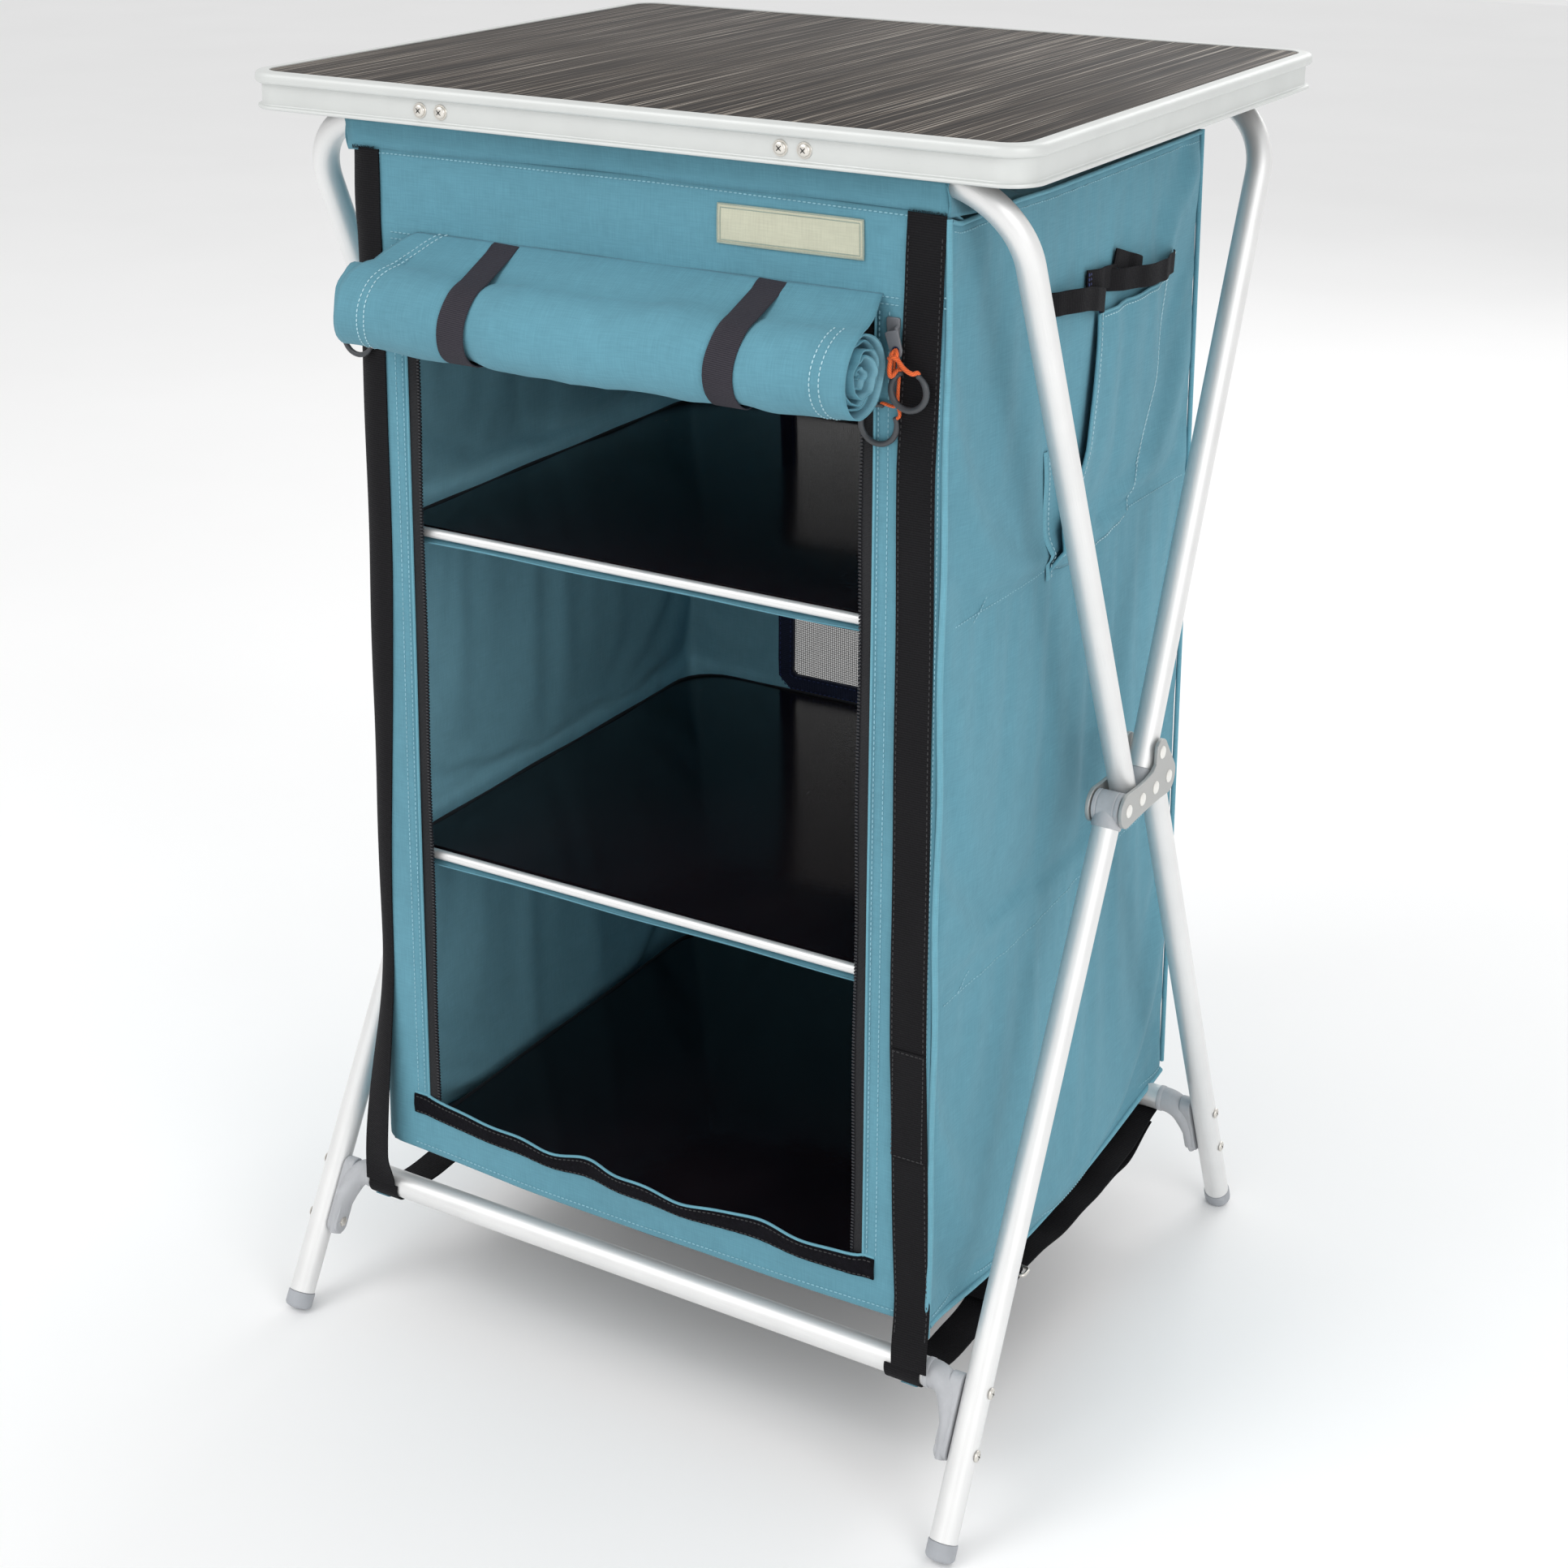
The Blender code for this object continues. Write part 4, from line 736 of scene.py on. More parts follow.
def hoop_points(end, start):
    pivot, d = (P2 if end == "front" else P3), polar(HOOP_POLAR[end])
    flat = [(TUBE_X, start), (TUBE_X, 0.05), (TUBE_X, 0.15), (TUBE_X, 0.30), (TUBE_X, 0.40)]
    flat += arc((TUBE_X - HOOP_BEND, HOOP_LEN - HOOP_BEND), HOOP_BEND, 0, 90, 20)
    flat += [(0.1, HOOP_LEN)]
    flat += [(-x, s) for x, s in reversed(flat)]
    return [Vector((x, 0, 0)) + pivot + d * s for x, s in flat]


def hoop_top(end):
    return (P2 if end == "front" else P3) + polar(HOOP_POLAR[end]) * HOOP_LEN


for end, start, body in (("front", -0.0075, "front_hoop"), ("rear", 0.0120, "cupboard")):
    S = Shape()
    pipe(S, hoop_points(end, start), TUBE_R, TUBE_WALL, 40)
    make(S, f"{end}_hoop_tube", ALU, body, replaces=[f"{end}_hoop"])


def leg_line(end):
    pivot = P1 if end == "front" else P4
    v = Vector((0.0, FOOT_Y[end] - pivot.y, -pivot.z))
    return pivot, v.normalized()


def cross_head(S, at, axis, radius, height, mi_head=0, mi_recess_shade=1, shank=0.004):
    """Pan-head screw: a low dome with a cross of near-black blocks flush with it, painted shade standing in for the
    cross recess.
    """
    axis = Vector(axis).normalized()
    prof = [(0.0, -shank), (radius * 0.45, -shank), (radius * 0.45, -0.0002), (radius, -0.0002), (radius, height * 0.25)]
    prof += [(radius * math.cos(a), height * (0.25 + 0.75 * math.sin(a))) for a in (math.radians(d) for d in (20, 40, 60, 76))]
    prof += [(0.0, height)]
    lathe(S, prof, at, axis, 28, mi_head)
    x = axis.orthogonal().normalized()
    y = axis.cross(x)
    for a, b in ((x, y), (y, x)):
        for sgn in (-1, 1):
            mid = Vector(at) + a * (sgn * radius * 0.27) + axis * (height * 0.93)
            hx, hy, hz = radius * 0.27, radius * 0.11, height * 0.10
            pts = []
            for dz in (-1, 1):
                for da, db in ((-1, -1), (1, -0.45), (1, 0.45), (-1, 1)):
                    pts.append(mid + a * (sgn * da * hx) + b * (db * hy) + axis * (dz * hz - (0.10 * height if da > 0 else 0)))
            base = len(S.v)
            S.v.extend(tuple(p) for p in pts)
            order = [(3, 2, 1, 0), (4, 5, 6, 7), (0, 1, 5, 4), (1, 2, 6, 5), (2, 3, 7, 6), (3, 0, 4, 7)]
            flip = (a.cross(b)).dot(axis) * sgn < 0
            for q in order:
                S.face([base + i for i in (q[::-1] if flip else q)], None, mi_recess_shade)


for end in ("front", "rear"):
    pivot, d = leg_line(end)
    body = f"{end}_legs"
    for name, side in SIDES:
        base = pivot + Vector((side * TUBE_X, 0, 0))
        start = 0.0042 if end == "front" else -0.0070
        cz = FOOT_R - FOOT_FLAT
        stop = (pivot.z - cz) / -d.z - 0.0036
        S = Shape()
        pipe(S, [base + d * lerp(start, stop, i / 6) for i in range(7)], TUBE_R, TUBE_WALL, 40)
        make(S, f"{end}_leg_tube_{name}", ALU, body, replaces=[f"{end}_leg_{name}"])
        # rounded foot cap with a collar line
        s = (pivot.z - cz) / -d.z
        c = base + d * s
        spigot = TUBE_R - TUBE_WALL - 0.0004
        S = Shape()
        prof = [(0.0, 0.0200), (spigot, 0.0200), (spigot, 0.0034), (FOOT_R - 0.0006, 0.0033), (FOOT_R - 0.0001, 0.0030), (FOOT_R, 0.0022)]
        end_h, rim = FOOT_R * 0.84, 0.0032
        prof += [(FOOT_R, 0.0), (FOOT_R, -(end_h - rim) * 0.6)]
        prof += [(FOOT_R - rim + rim * math.cos(math.radians(a)), rim - end_h - rim * math.sin(math.radians(a))) for a in range(0, 91, 15)]
        prof += [(FOOT_R * 0.35, -end_h - 0.0002), (0.0, -end_h - 0.0003)]
        prof = [(r, -h) for r, h in prof]
        lathe(S, prof, c, d, 32)
        S.v = [(x, y, max(z, 0.0)) for x, y, z in S.v]
        make(S, f"{end}_foot_{name}", CAP, body, replaces=[f"{end}_foot_cap_{name}"])
    c = pivot + d * BAR_S[end]
    S = Shape()
    pipe(S, [c + Vector((x, 0, 0)) for x in (-0.24, -0.15, -0.05, 0.05, 0.15, 0.24)], TUBE_R, TUBE_WALL, 40)
    make(S, f"{end}_bar_tube", ALU, body, replaces=[f"{end}_cross_bar"])

    # corner elbows: a bend out of the bar, a tongue along the leg and two bolts
    for name, side in SIDES:
        face = TUBE_X - TUBE_R - 0.0004
        drop, start = 0.0130, 0.2364
        bend_x = face - TUBE_R
        path = [c + Vector((side * start, 0, 0))]
        for x, s in arc((bend_x - drop, 0.0), drop, 90, 0, 10):
            path.append(c + Vector((side * x, 0, 0)) + d * (drop - s))
        reach = BOLT_PITCH + 0.0095
        tail = [drop + (reach - drop) * i / 5 for i in range(1, 6)]
        path += [c + Vector((side * bend_x, 0, 0)) + d * t for t in tail]
        path = [p for i, p in enumerate(path) if i == 0 or (p - path[i - 1]).length > 1e-4]
        S = Shape()
        n = len(path)
        taper = [1.0] * (n - 4) + [(0.98, 0.98), (0.93, 0.93), (0.84, 0.84), (0.66, 0.66)]
        sweep(S, path, circle(TUBE_R, 28), scale=taper)
        thin = []
        for v in S.v:
            v = Vector(v)
            f = smooth(((v - c).dot(d) - 0.0040) / 0.0260)
            thin.append((side * face - (side * face - v.x) * (1 - 0.46 * f), v.y, v.z))
        S.v = thin
        lathe(S, [(0, 0), (TUBE_R * 1.045, 0), (TUBE_R * 1.055, 0.0006), (TUBE_R * 1.055, 0.0030), (TUBE_R * 1.02, 0.0036), (0, 0.0036)], c + Vector((side * start, 0, 0)), (side, 0, 0), 28)
        lathe(S, [(0, -0.016), (TUBE_R - TUBE_WALL - 0.0005, -0.015), (TUBE_R - TUBE_WALL - 0.0004, 0.0), (0, 0.001)], c + Vector((side * start, 0, 0)), (side, 0, 0), 24)
        across = d.cross(Vector((1, 0, 0))).normalized()
        loop = arc((0.0, 0.0), 0.0072, 90, 270, 12) + arc((BOLT_PITCH + 0.0022, 0.0), 0.0072, 270, 450, 12)
        m = Matrix(((0, 0, side, c.x + side * (face - 0.0045)), (d.y, across.y, 0, c.y), (d.z, across.z, 0, c.z), (0, 0, 0, 1)))
        slab(S, loop, 0.0045, m, 0.0012, segments=3)
        for s in (0.0, BOLT_PITCH):
            b = c + d * s
            cross_head(S, b + Vector((side * (TUBE_X + TUBE_R + 0.0003), 0, 0)), (side, 0, 0), 0.0040, 0.0017, 1, 2, shank=0.018)
            lathe(S, [(0, -0.001), (0.0037, -0.001), (0.0037, 0.0012), (0.0030, 0.0016), (0, 0.0018)], b + Vector((side * (face - 0.0090), 0, 0)), (-side, 0, 0), 6, 1)
        make(S, f"{end}_corner_{name}", [PLASTIC, STEEL, RECESS_SHADE], body, replaces=[f"{end}_elbow_{name}"])

# hub: plates, rivets, pins, knuckles, plugs
d_rear = polar(HOOP_POLAR["rear"])
P5 = P3 + d_rear * P5_UP


def hub_outline():
    low, top = 0.0125, 0.0115
    pts = arc((P1.y, P1.z), low, 93, 270, 20)
    mid = [(lerp(P1.y, P4.y, t), HUB_Z - low + 0.0010 * math.sin(math.pi * t)) for t in (0.2, 0.35, 0.5, 0.65, 0.8)]
    pts += mid
    pts += arc((P4.y, P4.z), 0.0130, 272, 385, 16)
    pts += arc((P5.y, P5.z), 0.0098, 28, 142, 14)
    pts += [(P3.y + 0.0016, HUB_Z + top + 0.0052), (P3.y - 0.0040, HUB_Z + top + 0.0016), (P2.y + 0.0080, HUB_Z + top), (P2.y - 0.008, HUB_Z + top)]
    return pts


def rivet(S, at, side, way, mi):
    r, h = 0.0047, 0.0016
    prof = [(0.0, -0.003), (0.0028, -0.003), (0.0028, 0.0), (r, 0.0), (r, 0.0005)]
    prof += [(r * math.cos(math.radians(a)) * 0.99, 0.0005 + (h - 0.0005) * math.sin(math.radians(a))) for a in (25, 45, 65, 80)]
    prof += [(0.0, h)]
    lathe(S, prof, at, (way, 0, 0), 28, mi)


for name, side in SIDES:
    for place, way in (("outer", side), ("inner", -side)):
        x = side * TUBE_X + way * (PLATE_GAP + PLATE_T / 2)
        S = Shape()
        slab(S, hub_outline(), PLATE_T / 2, yz_frame(x), 0.0006, segments=3)
        for c in (P2, P3, P5):
            rivet(S, c + Vector((x + way * PLATE_T / 2, 0, 0)), side, way, 1)
        make(S, f"hub_{place}_{name}", [PLATE, RIVET], "cupboard", replaces=[f"hub_plate_{place}_{name}"])
    for pname, c in (("front_leg_pin", P1), ("rear_leg_pin", P4)):
        S = Shape()
        h = PLATE_GAP + PLATE_T
        for way in (-1, 1):
            rivet(S, c + Vector((side * TUBE_X + way * h, 0, 0)), side, way, 0)
        lathe(S, [(0, -h), (0.0025, -h), (0.0025, h), (0, h)], c + Vector((side * TUBE_X, 0, 0)), (1, 0, 0), 24)
        make(S, f"{pname}_head_{name}", RIVET, "cupboard", replaces=[f"{pname}_{name}"])
    # knuckle: barrel between the plates with a sleeve for the leg and two dark shadow rings
    pivot, d = leg_line("front")
    c = pivot + Vector((side * TUBE_X, 0, 0))
    S = Shape()
    half = PLATE_GAP - 0.0006
    prof = [(0, -half), (0.0040, -half), (0.0046, -half + 0.0016), (0.0095, -half + 0.0016), (0.0108, -half + 0.0002), (0.0115, -half + 0.0009), (0.0115, -half + 0.0030), (0.0110, -half + 0.0033), (0.0110, -half + 0.0042), (0.0115, -half + 0.0045)]
    prof = prof + [(r, -h) for r, h in reversed(prof)]
    lathe(S, prof, c, (1, 0, 0), 40)
    lathe(S, [(0, 0.002), (0.0107, 0.002), (0.0107, 0.0138), (0.0103, 0.0148), (TUBE_R + 0.0003, 0.0150), (TUBE_R + 0.0003, 0.0052), (0, 0.0050)], c, d, 40)
    make(S, f"knuckle_{name}", PLASTIC, "front_legs", replaces=[f"leg_knuckle_{name}"])
    # collar plug in the rear hoop's lower end
    S = Shape()
    c = P3 + Vector((side * TUBE_X, 0, 0))
    sp = TUBE_R - TUBE_WALL - 0.0006
    prof = [(0.0, 0.0330), (sp, 0.0330), (sp, 0.0119), (TUBE_R - 0.0003, 0.0118), (TUBE_R, 0.0113)]
    prof += [(TUBE_R * math.cos(math.radians(a)), TUBE_R * math.sin(math.radians(a))) for a in range(0, -81, -10)] + [(0, -TUBE_R)]
    lathe(S, [(r, -h) for r, h in prof], c, -d_rear, 32)
    make(S, f"hoop_plug_{name}", PLASTIC, "cupboard", replaces=[f"rear_hoop_plug_{name}"])

# ---------------------------------------------------------------- table top
hw, hd = TOP_W / 2, TOP_D / 2
S = Shape()
inset = 0.0062
slab(S, rounded_rectangle(-hw + inset, -hd + inset, hw - inset, hd - inset, [TOP_R - inset] * 4, 14), 0.003, xy_frame(TOP_Z - 0.0048), 0.0002)
inner = 0.0104
slab(S, rounded_rectangle(-hw + inner, -hd + inner, hw - inner, hd - inner, [TOP_R - inner] * 4, 14), 0.0014, xy_frame(TOP_Z - 0.0006 - 0.0014), 0.0003)
make(S, "laminate_board", LAMINATE, "table_top", replaces=["top_board"])

section = [(0.0100, 0.0), (0.0045, 0.0), (0.0030, -0.0001), (0.0019, -0.0004), (0.0010, -0.0010), (0.0004, -0.0019), (0.0, -0.0032), (0.0, -0.0060), (0.0003, -0.0069), (0.0009, -0.0077), (0.0018, -0.0082), (0.0034, -0.0084)]
section += [(0.0043, -0.0088), (0.0045, -0.0096), (0.0045, -0.0225), (0.0041, -0.0231), (0.0024, -0.0233), (0.0017, -0.0237), (0.0014, -0.0246), (0.0016, -0.0255), (0.0022, -0.0260), (0.0032, -EDGE_H)]
section += [(0.0062, -EDGE_H), (0.0060, -0.0097), (0.0100, -0.0097), (0.0100, -0.0082), (0.0057, -0.0082), (0.0057, -0.0014), (0.0100, -0.0014)]
S = Shape()
path, normals = [], []
for cx, cy, a0 in ((-1, -1, 180), (1, -1, 270), (1, 1, 0), (-1, 1, 90)):
    ox, oy = cx * (hw - TOP_R), cy * (hd - TOP_R)
    for i in range(17):
        a = math.radians(a0 + 90 * i / 16)
        path.append((ox + TOP_R * math.cos(a), oy + TOP_R * math.sin(a)))
        normals.append((math.cos(a), math.sin(a)))
rows = [[(px - nx * u, py - ny * u, TOP_Z + v) for u, v in section] for (px, py), (nx, ny) in zip(path, normals)]
us = [0.0]
for a, b in zip(section, section[1:] + section[:1]):
    us.append(us[-1] + math.hypot(a[0] - b[0], a[1] - b[1]))
vs = [0.0]
for a, b in zip(path, path[1:] + path[:1]):
    vs.append(vs[-1] + math.hypot(a[0] - b[0], a[1] - b[1]))
S.grid(rows, [[(u, v) for u in us] for v in vs], wrap=True, loop=True, flip=True)
make(S, "edge_channel", EDGE, "table_top", angle=30, replaces=["top_edge_frame"])

web_out = hd - 0.0045
screw_z = TOP_Z - 0.0158
for end, face in (("front", -1), ("rear", 1)):
    top = hoop_top(end)
    ty, tz = abs(top.y), top.z
    inner = 0.0100 if end == "front" else 0.0115
    outer = inner + 0.0030
    shelf_y = outer * math.cos(math.radians(28))
    if end == "front":
        ring_right, ring_left, bore = arc((0, 0), outer, -70, 28, 14), arc((0, 0), outer, 130, 250, 16), arc((0, 0), inner, 250, -70, 36)
    else:
        ring_right, ring_left, bore = arc((0, 0), outer, 6, 28, 4), arc((0, 0), outer, 130, 174, 8), arc((0, 0), inner, 174, 6, 20)
    web = -((hd - 0.0060) - 0.0003 - ty)
    dr = TOP_Z - tz
    shape = ring_right + [(shelf_y, dr - 0.0083), (web + 0.0044, dr - 0.0083), (web + 0.0044, dr - 0.0102), (web, dr - 0.0102), (web, dr - 0.0235)]
    shape += [(ring_left[0][0], dr - 0.0235)] * (ring_left[0][1] < dr - 0.0236) + ring_left + bore
    shape = [(face * ty + face * -1 * u, tz + v) for u, v in shape]
    for name, side in SIDES:
        S = Shape()
        slab(S, shape, 0.0150, yz_frame(side * (SCREW_X[0] + SCREW_X[1]) / 2), 0.0)
        for x in SCREW_X:
            lathe(S, [(0, 0.0), (0.0052, 0.0), (0.0054, 0.0003), (0.0052, 0.0006), (0, 0.0006)], (side * x, face * web_out, screw_z), (0, face, 0), 28, 1)
            cross_head(S, (side * x, face * (web_out + 0.0006), screw_z), (0, face, 0), 0.0043, 0.0019, 1, 2, shank=0.006)
        make(S, f"{end}_clip_{name}", [CLIP, STEEL, RECESS_SHADE], "table_top", replaces=[f"{end}_bracket_{name}"])

# ---------------------------------------------------------------- bag
LEFT_F, CORNER = 0.2300, 0.0225  # the left front corner is soft
HOLE_L, HOLE_R = -0.1815, 0.1870  # the door opening


def half_width(y, side=1.0):
    t = (y - FRONT) / (BACK - FRONT)
    return lerp(HALF_F if side > 0 else LEFT_F, HALF_B, t)


def low_edge(y):
    t = (y - FRONT) / (BACK - FRONT)
    return lerp(0.1170, 0.1117, t) - 0.0105 * math.sin(math.pi * min(1, max(0, t))) + 0.0205 * math.exp(-max(0.0, y - FRONT) / 0.11) - 0.0065 * math.exp(-max(0.0, y - FRONT) / 0.014)


def high_edge(y):
    return table(y, [(-0.2265, 0.8890), (-0.2104, 0.8842), (-0.1221, 0.8848), (-0.0728, 0.8830), (0.1998, 0.8816)])


def cloth_run(obj, pins, frames, shrink, bend=0.6, stiff=28.0, gravity=1.0):
    """Lets the cloth settle between its seams and returns the settled points."""
    n = len(obj.data.vertices)
    group = obj.vertex_groups.new(name="pin")
    for w in sorted({round(float(x), 2) for x in pins if x > 0}):
        group.add([i for i in range(n) if round(float(pins[i]), 2) == w], w, "REPLACE")
    mod = obj.modifiers.new("settle", "CLOTH")
    s = mod.settings
    s.quality = 5
    s.mass = 0.20
    s.tension_stiffness = s.compression_stiffness = stiff
    s.shear_stiffness = 8.0
    s.bending_stiffness = bend
    s.air_damping = 3.0
    s.vertex_group_mass = "pin"
    s.shrink_min = shrink
    s.effector_weights.gravity = gravity
    mod.collision_settings.use_collision = False
    mod.collision_settings.use_self_collision = False
    mod.point_cache.frame_start, mod.point_cache.frame_end = 1, frames
    sc = bpy.context.scene
    for f in range(1, frames + 1):
        sc.frame_set(f)
    ev = obj.evaluated_get(bpy.context.evaluated_depsgraph_get())
    me = ev.to_mesh()
    co = np.zeros(n * 3)
    me.vertices.foreach_get("co", co)
    ev.to_mesh_clear()
    obj.modifiers.remove(mod)
    obj.vertex_groups.remove(group)
    sc.frame_set(1)
    return co.reshape(-1, 3)


def apply_points(obj, co):
    obj.data.vertices.foreach_set("co", np.asarray(co, np.float64).ravel())
    obj.data.update()


# shell: right side, back with its window, left side, in one piece of cloth
cols = []  # x, y, u, kind
u = 0.0


def add_run(a, b, n, kind, first=False):
    global u
    length = math.hypot(b[0] - a[0], b[1] - a[1])
    for i in range(0 if first else 1, n + 1):
        t = i / n
        cols.append((lerp(a[0], b[0], t), lerp(a[1], b[1], t), u + length * t, kind))
    u += length


add_run((HALF_F, FRONT + 0.0012), (HALF_B, BACK), 54, "right", True)
add_run((HALF_B, BACK), (WIN, BACK), 12, "back")
add_run((WIN, BACK), (-WIN, BACK), 32, "window")
add_run((-WIN, BACK), (-HALF_B, BACK), 12, "back")
add_run((-HALF_B, BACK), (-LEFT_F, FRONT + CORNER), 51, "left")
bands_z = [(None, WIN_LOW, 32), (WIN_LOW, 0.6235, 31), (0.6235, WIN_HIGH, 22), (WIN_HIGH, None, 11)]
rows, vs_rows, band_of = [], [], []
for bi, (z0, z1, n) in enumerate(bands_z):
    for i in range(0 if bi == 0 else 1, n + 1):
        row = []
        for x, y, uu, kind in cols:
            a = low_edge(y) if z0 is None else z0
            b = high_edge(y) if z1 is None else z1
            row.append((x, y, lerp(a, b, i / n)))
        rows.append(row)
        band_of.append(bi)
NC, NR = len(cols), len(rows)
uvs = [[(cols[j][2], rows[i][j][2]) for j in range(NC)] for i in range(NR)]
win_cols = [j for j in range(NC) if cols[j][3] == "window"]
jw0, jw1 = win_cols[0] - 1, win_cols[-1]
iw0 = band_of.index(1) - 1
iw1 = max(i for i in range(NR) if band_of[i] == 2)
S = Shape()
S.grid(rows, uvs, skip=lambda i, j: iw0 <= i < iw1 and jw0 <= j < jw1)
used = sorted({i for f in S.f for i in f})
remap = {a: b for b, a in enumerate(used)}
S.v = [S.v[a] for a in used]
S.f = [tuple(remap[i] for i in f) for f in S.f]
shell = make(S, "bag_shell", [BLUE, BLUE_INSIDE_PAINTED_LIGHT], "cupboard", angle=0, replaces=["bag_side_left", "bag_side_right", "bag_back"])
rest = np.array([v.co for v in shell.data.vertices])
rng = np.random.default_rng(7)
waves = [(rng.uniform(2.0, 9.0), rng.uniform(1.5, 7.0), rng.uniform(0, 6.28), rng.uniform(-1, 1)) for _ in range(12)]
ucoord = np.array([cols[a % NC][2] for a in used])
kinds = [cols[a % NC][3] for a in used]
rowi = np.array([a // NC for a in used])
coli = np.array([a % NC for a in used])
bump_field = sum(amp * np.sin(6.28 * (fu * ucoord + fz * rest[:, 2] * sgn) + ph) for (fu, fz, ph, amp), sgn in zip(waves, [1, -1] * 6)) / 4.0
edge_like = np.zeros(len(used))
for k, a in enumerate(used):
    i, j = a // NC, a % NC
    kind = cols[j][3]
    y = cols[j][1]
    pin = 0.0
    if i in (0, NR - 1) or j in (0, NC - 1):
        pin = 1.0
    elif j in (54, jw1 + 12):
        pin = 1.0
    elif (i == iw0 or band_of[i] == 1 and i == band_of.index(2) - 1) and kind != "window":
        pin = 1.0 if kind in ("left", "right") else 0.55
    if iw0 <= i <= iw1 and jw0 <= j <= jw1:
        pin = 1.0
    edge_like[k] = pin
normals = np.array([{"right": (1, 0.023, 0), "back": (0, 1, 0), "window": (0, 1, 0), "left": (-1, 0.012, 0)}[k] for k in kinds], float)
free = 1.0 - edge_like
seed = rest + normals * (bump_field * 0.0022 * free)[:, None]
apply_points(shell, seed)
settled = cloth_run(shell, edge_like, 26, -0.010)
move = settled - rest
out = (move * normals).sum(1)
# tension folds that run down from the upper rear corner of the right side
yy, zz = rest[:, 1] - OFF, rest[:, 2]
on_right = np.array([1.0 if k == "right" else 0.0 for k in kinds])
for (ya, za), (yb, zb), amp, wide in (((BACK - 0.003, 0.8800), (BACK - 0.078, 0.7900), 0.0050, 0.0105), ((BACK - 0.004, 0.8760), (BACK - 0.034, 0.7150), 0.0026, 0.0095)):
    run = math.hypot(yb - ya, zb - za)
    ey, ez = (yb - ya) / run, (zb - za) / run
    along = np.clip(((yy - ya) * ey + (zz - za) * ez) / run, 0, 1)
    across = (yy - ya) * ez - (zz - za) * ey
    out += on_right * free * np.sin(math.pi * along ** 0.8) * (amp * np.exp(-(across / wide) ** 2) - 0.55 * amp * np.exp(-((across - 2.1 * wide) / (1.3 * wide)) ** 2))
out = np.clip(out, -0.0065, 0.0085)
side_move = move - normals * (move * normals).sum(1)[:, None]
length = np.linalg.norm(side_move, axis=1)
side_move *= np.minimum(1.0, 0.006 / np.maximum(length, 1e-9))[:, None]
apply_points(shell, rest + normals * out[:, None] + side_move)
thicken(shell, 0.0012, 0.0, 1)
shell.modifiers["cloth thickness"].material_offset = 1
crumple(shell)


def tree_of(obj):
    bm = bmesh.new()
    bm.from_mesh(obj.data)
    t = BVHTree.FromBMesh(bm)
    bm.free()
    return t


shell_tree = tree_of(shell)


def on_side(y, z, side=1.0, proud=0.0010):
    """A point on the settled side cloth, in the layout's own coordinates."""
    hit = shell_tree.ray_cast(Vector((side * 0.30, y + OFF, z)), Vector((-side, 0, 0)), 0.15)
    x = hit[0].x if hit[0] is not None else side * half_width(y, side)
    return Vector((x + side * proud, y, z))


def on_back(x, z, proud=0.0010):
    hit = shell_tree.ray_cast(Vector((x, 0.27 + OFF, z)), Vector((0, -1, 0)), 0.12)
    y = hit[0].y - OFF if hit[0] is not None else BACK
    return Vector((x, y + proud, z))


def span(a, b, n):
    return [lerp(a, b, i / n) for i in range(n + 1)]


# piping along the upright seams and the lower edge, and the topstitching beside them
S = Shape()
zs = span(0.120, 0.884, 90)
sweep(S, [Vector((HALF_B + 0.0008, BACK + 0.0008, z)) for z in zs], circle(0.0019, 10))
sweep(S, [Vector((-(HALF_B + 0.0008), BACK + 0.0008, z)) for z in zs], circle(0.0019, 10))
for side in (1.0, -1.0):
    ys = span(FRONT + (0.004 if side > 0 else CORNER), BACK, 60)
    sweep(S, [Vector((side * (half_width(y, side) + 0.0005), y, low_edge(y))) for y in ys], circle(0.0020, 10))
    sweep(S, [Vector((side * (half_width(y, side) + 0.0002), y, high_edge(y) + 0.0003)) for y in ys], circle(0.0017, 10))
sweep(S, [Vector((x, BACK + 0.0003, low_edge(BACK))) for x in span(-HALF_B, HALF_B, 40)], circle(0.0020, 10))
sweep(S, [Vector((x, BACK + 0.0003, high_edge(BACK))) for x in span(-HALF_B, HALF_B, 40)], circle(0.0017, 10))
piping = make(S, "bag_seams", BLUE_EDGE, "cupboard")
crumple(piping)

S = Shape()
for side in (1.0, -1.0):
    n = (side, 0, 0)
    y_in = FRONT + (0.006 if side > 0 else CORNER + 0.003)
    for z_shelf in (0.6215, 0.3600):
        stitch(S, [on_side(y, z_shelf + 0.002 * math.sin(y * 21), side, 0.0007) for y in span(y_in + 0.01, BACK - 0.012, 70)], n, pitch=0.0042, length=0.0030, radius=0.00036)
    stitch(S, [on_side(y, low_edge(y) + 0.0065, side, 0.0008) for y in span(y_in, BACK - 0.006, 70)], n)
    stitch(S, [on_side(y, high_edge(y) - 0.0055, side, 0.0008) for y in span(y_in, BACK - 0.006, 70)], n)
for x in (-HALF_B + 0.006, HALF_B - 0.006):
    stitch(S, [on_back(x, z, 0.0008) for z in span(0.125, 0.876, 140)], (0, 1, 0))
for z in (0.118, 0.875):
    stitch(S, [on_back(x, z, 0.0008) for x in span(-0.190, 0.190, 90)], (0, 1, 0))
# two loose starts of thread where seams cross the side near the front
for y0, z0, y1, z1 in ((-0.178, 0.6175, -0.150, 0.6330), (-0.190, 0.362, -0.172, 0.371)):
    stitch(S, [on_side(lerp(y0, y1, t / 8), lerp(z0, z1, t / 8), 1.0, 0.0008) for t in range(9)], (1, 0, 0), radius=0.0005)
st = make(S, "bag_topstitching", THREAD, "cupboard")
crumple(st)

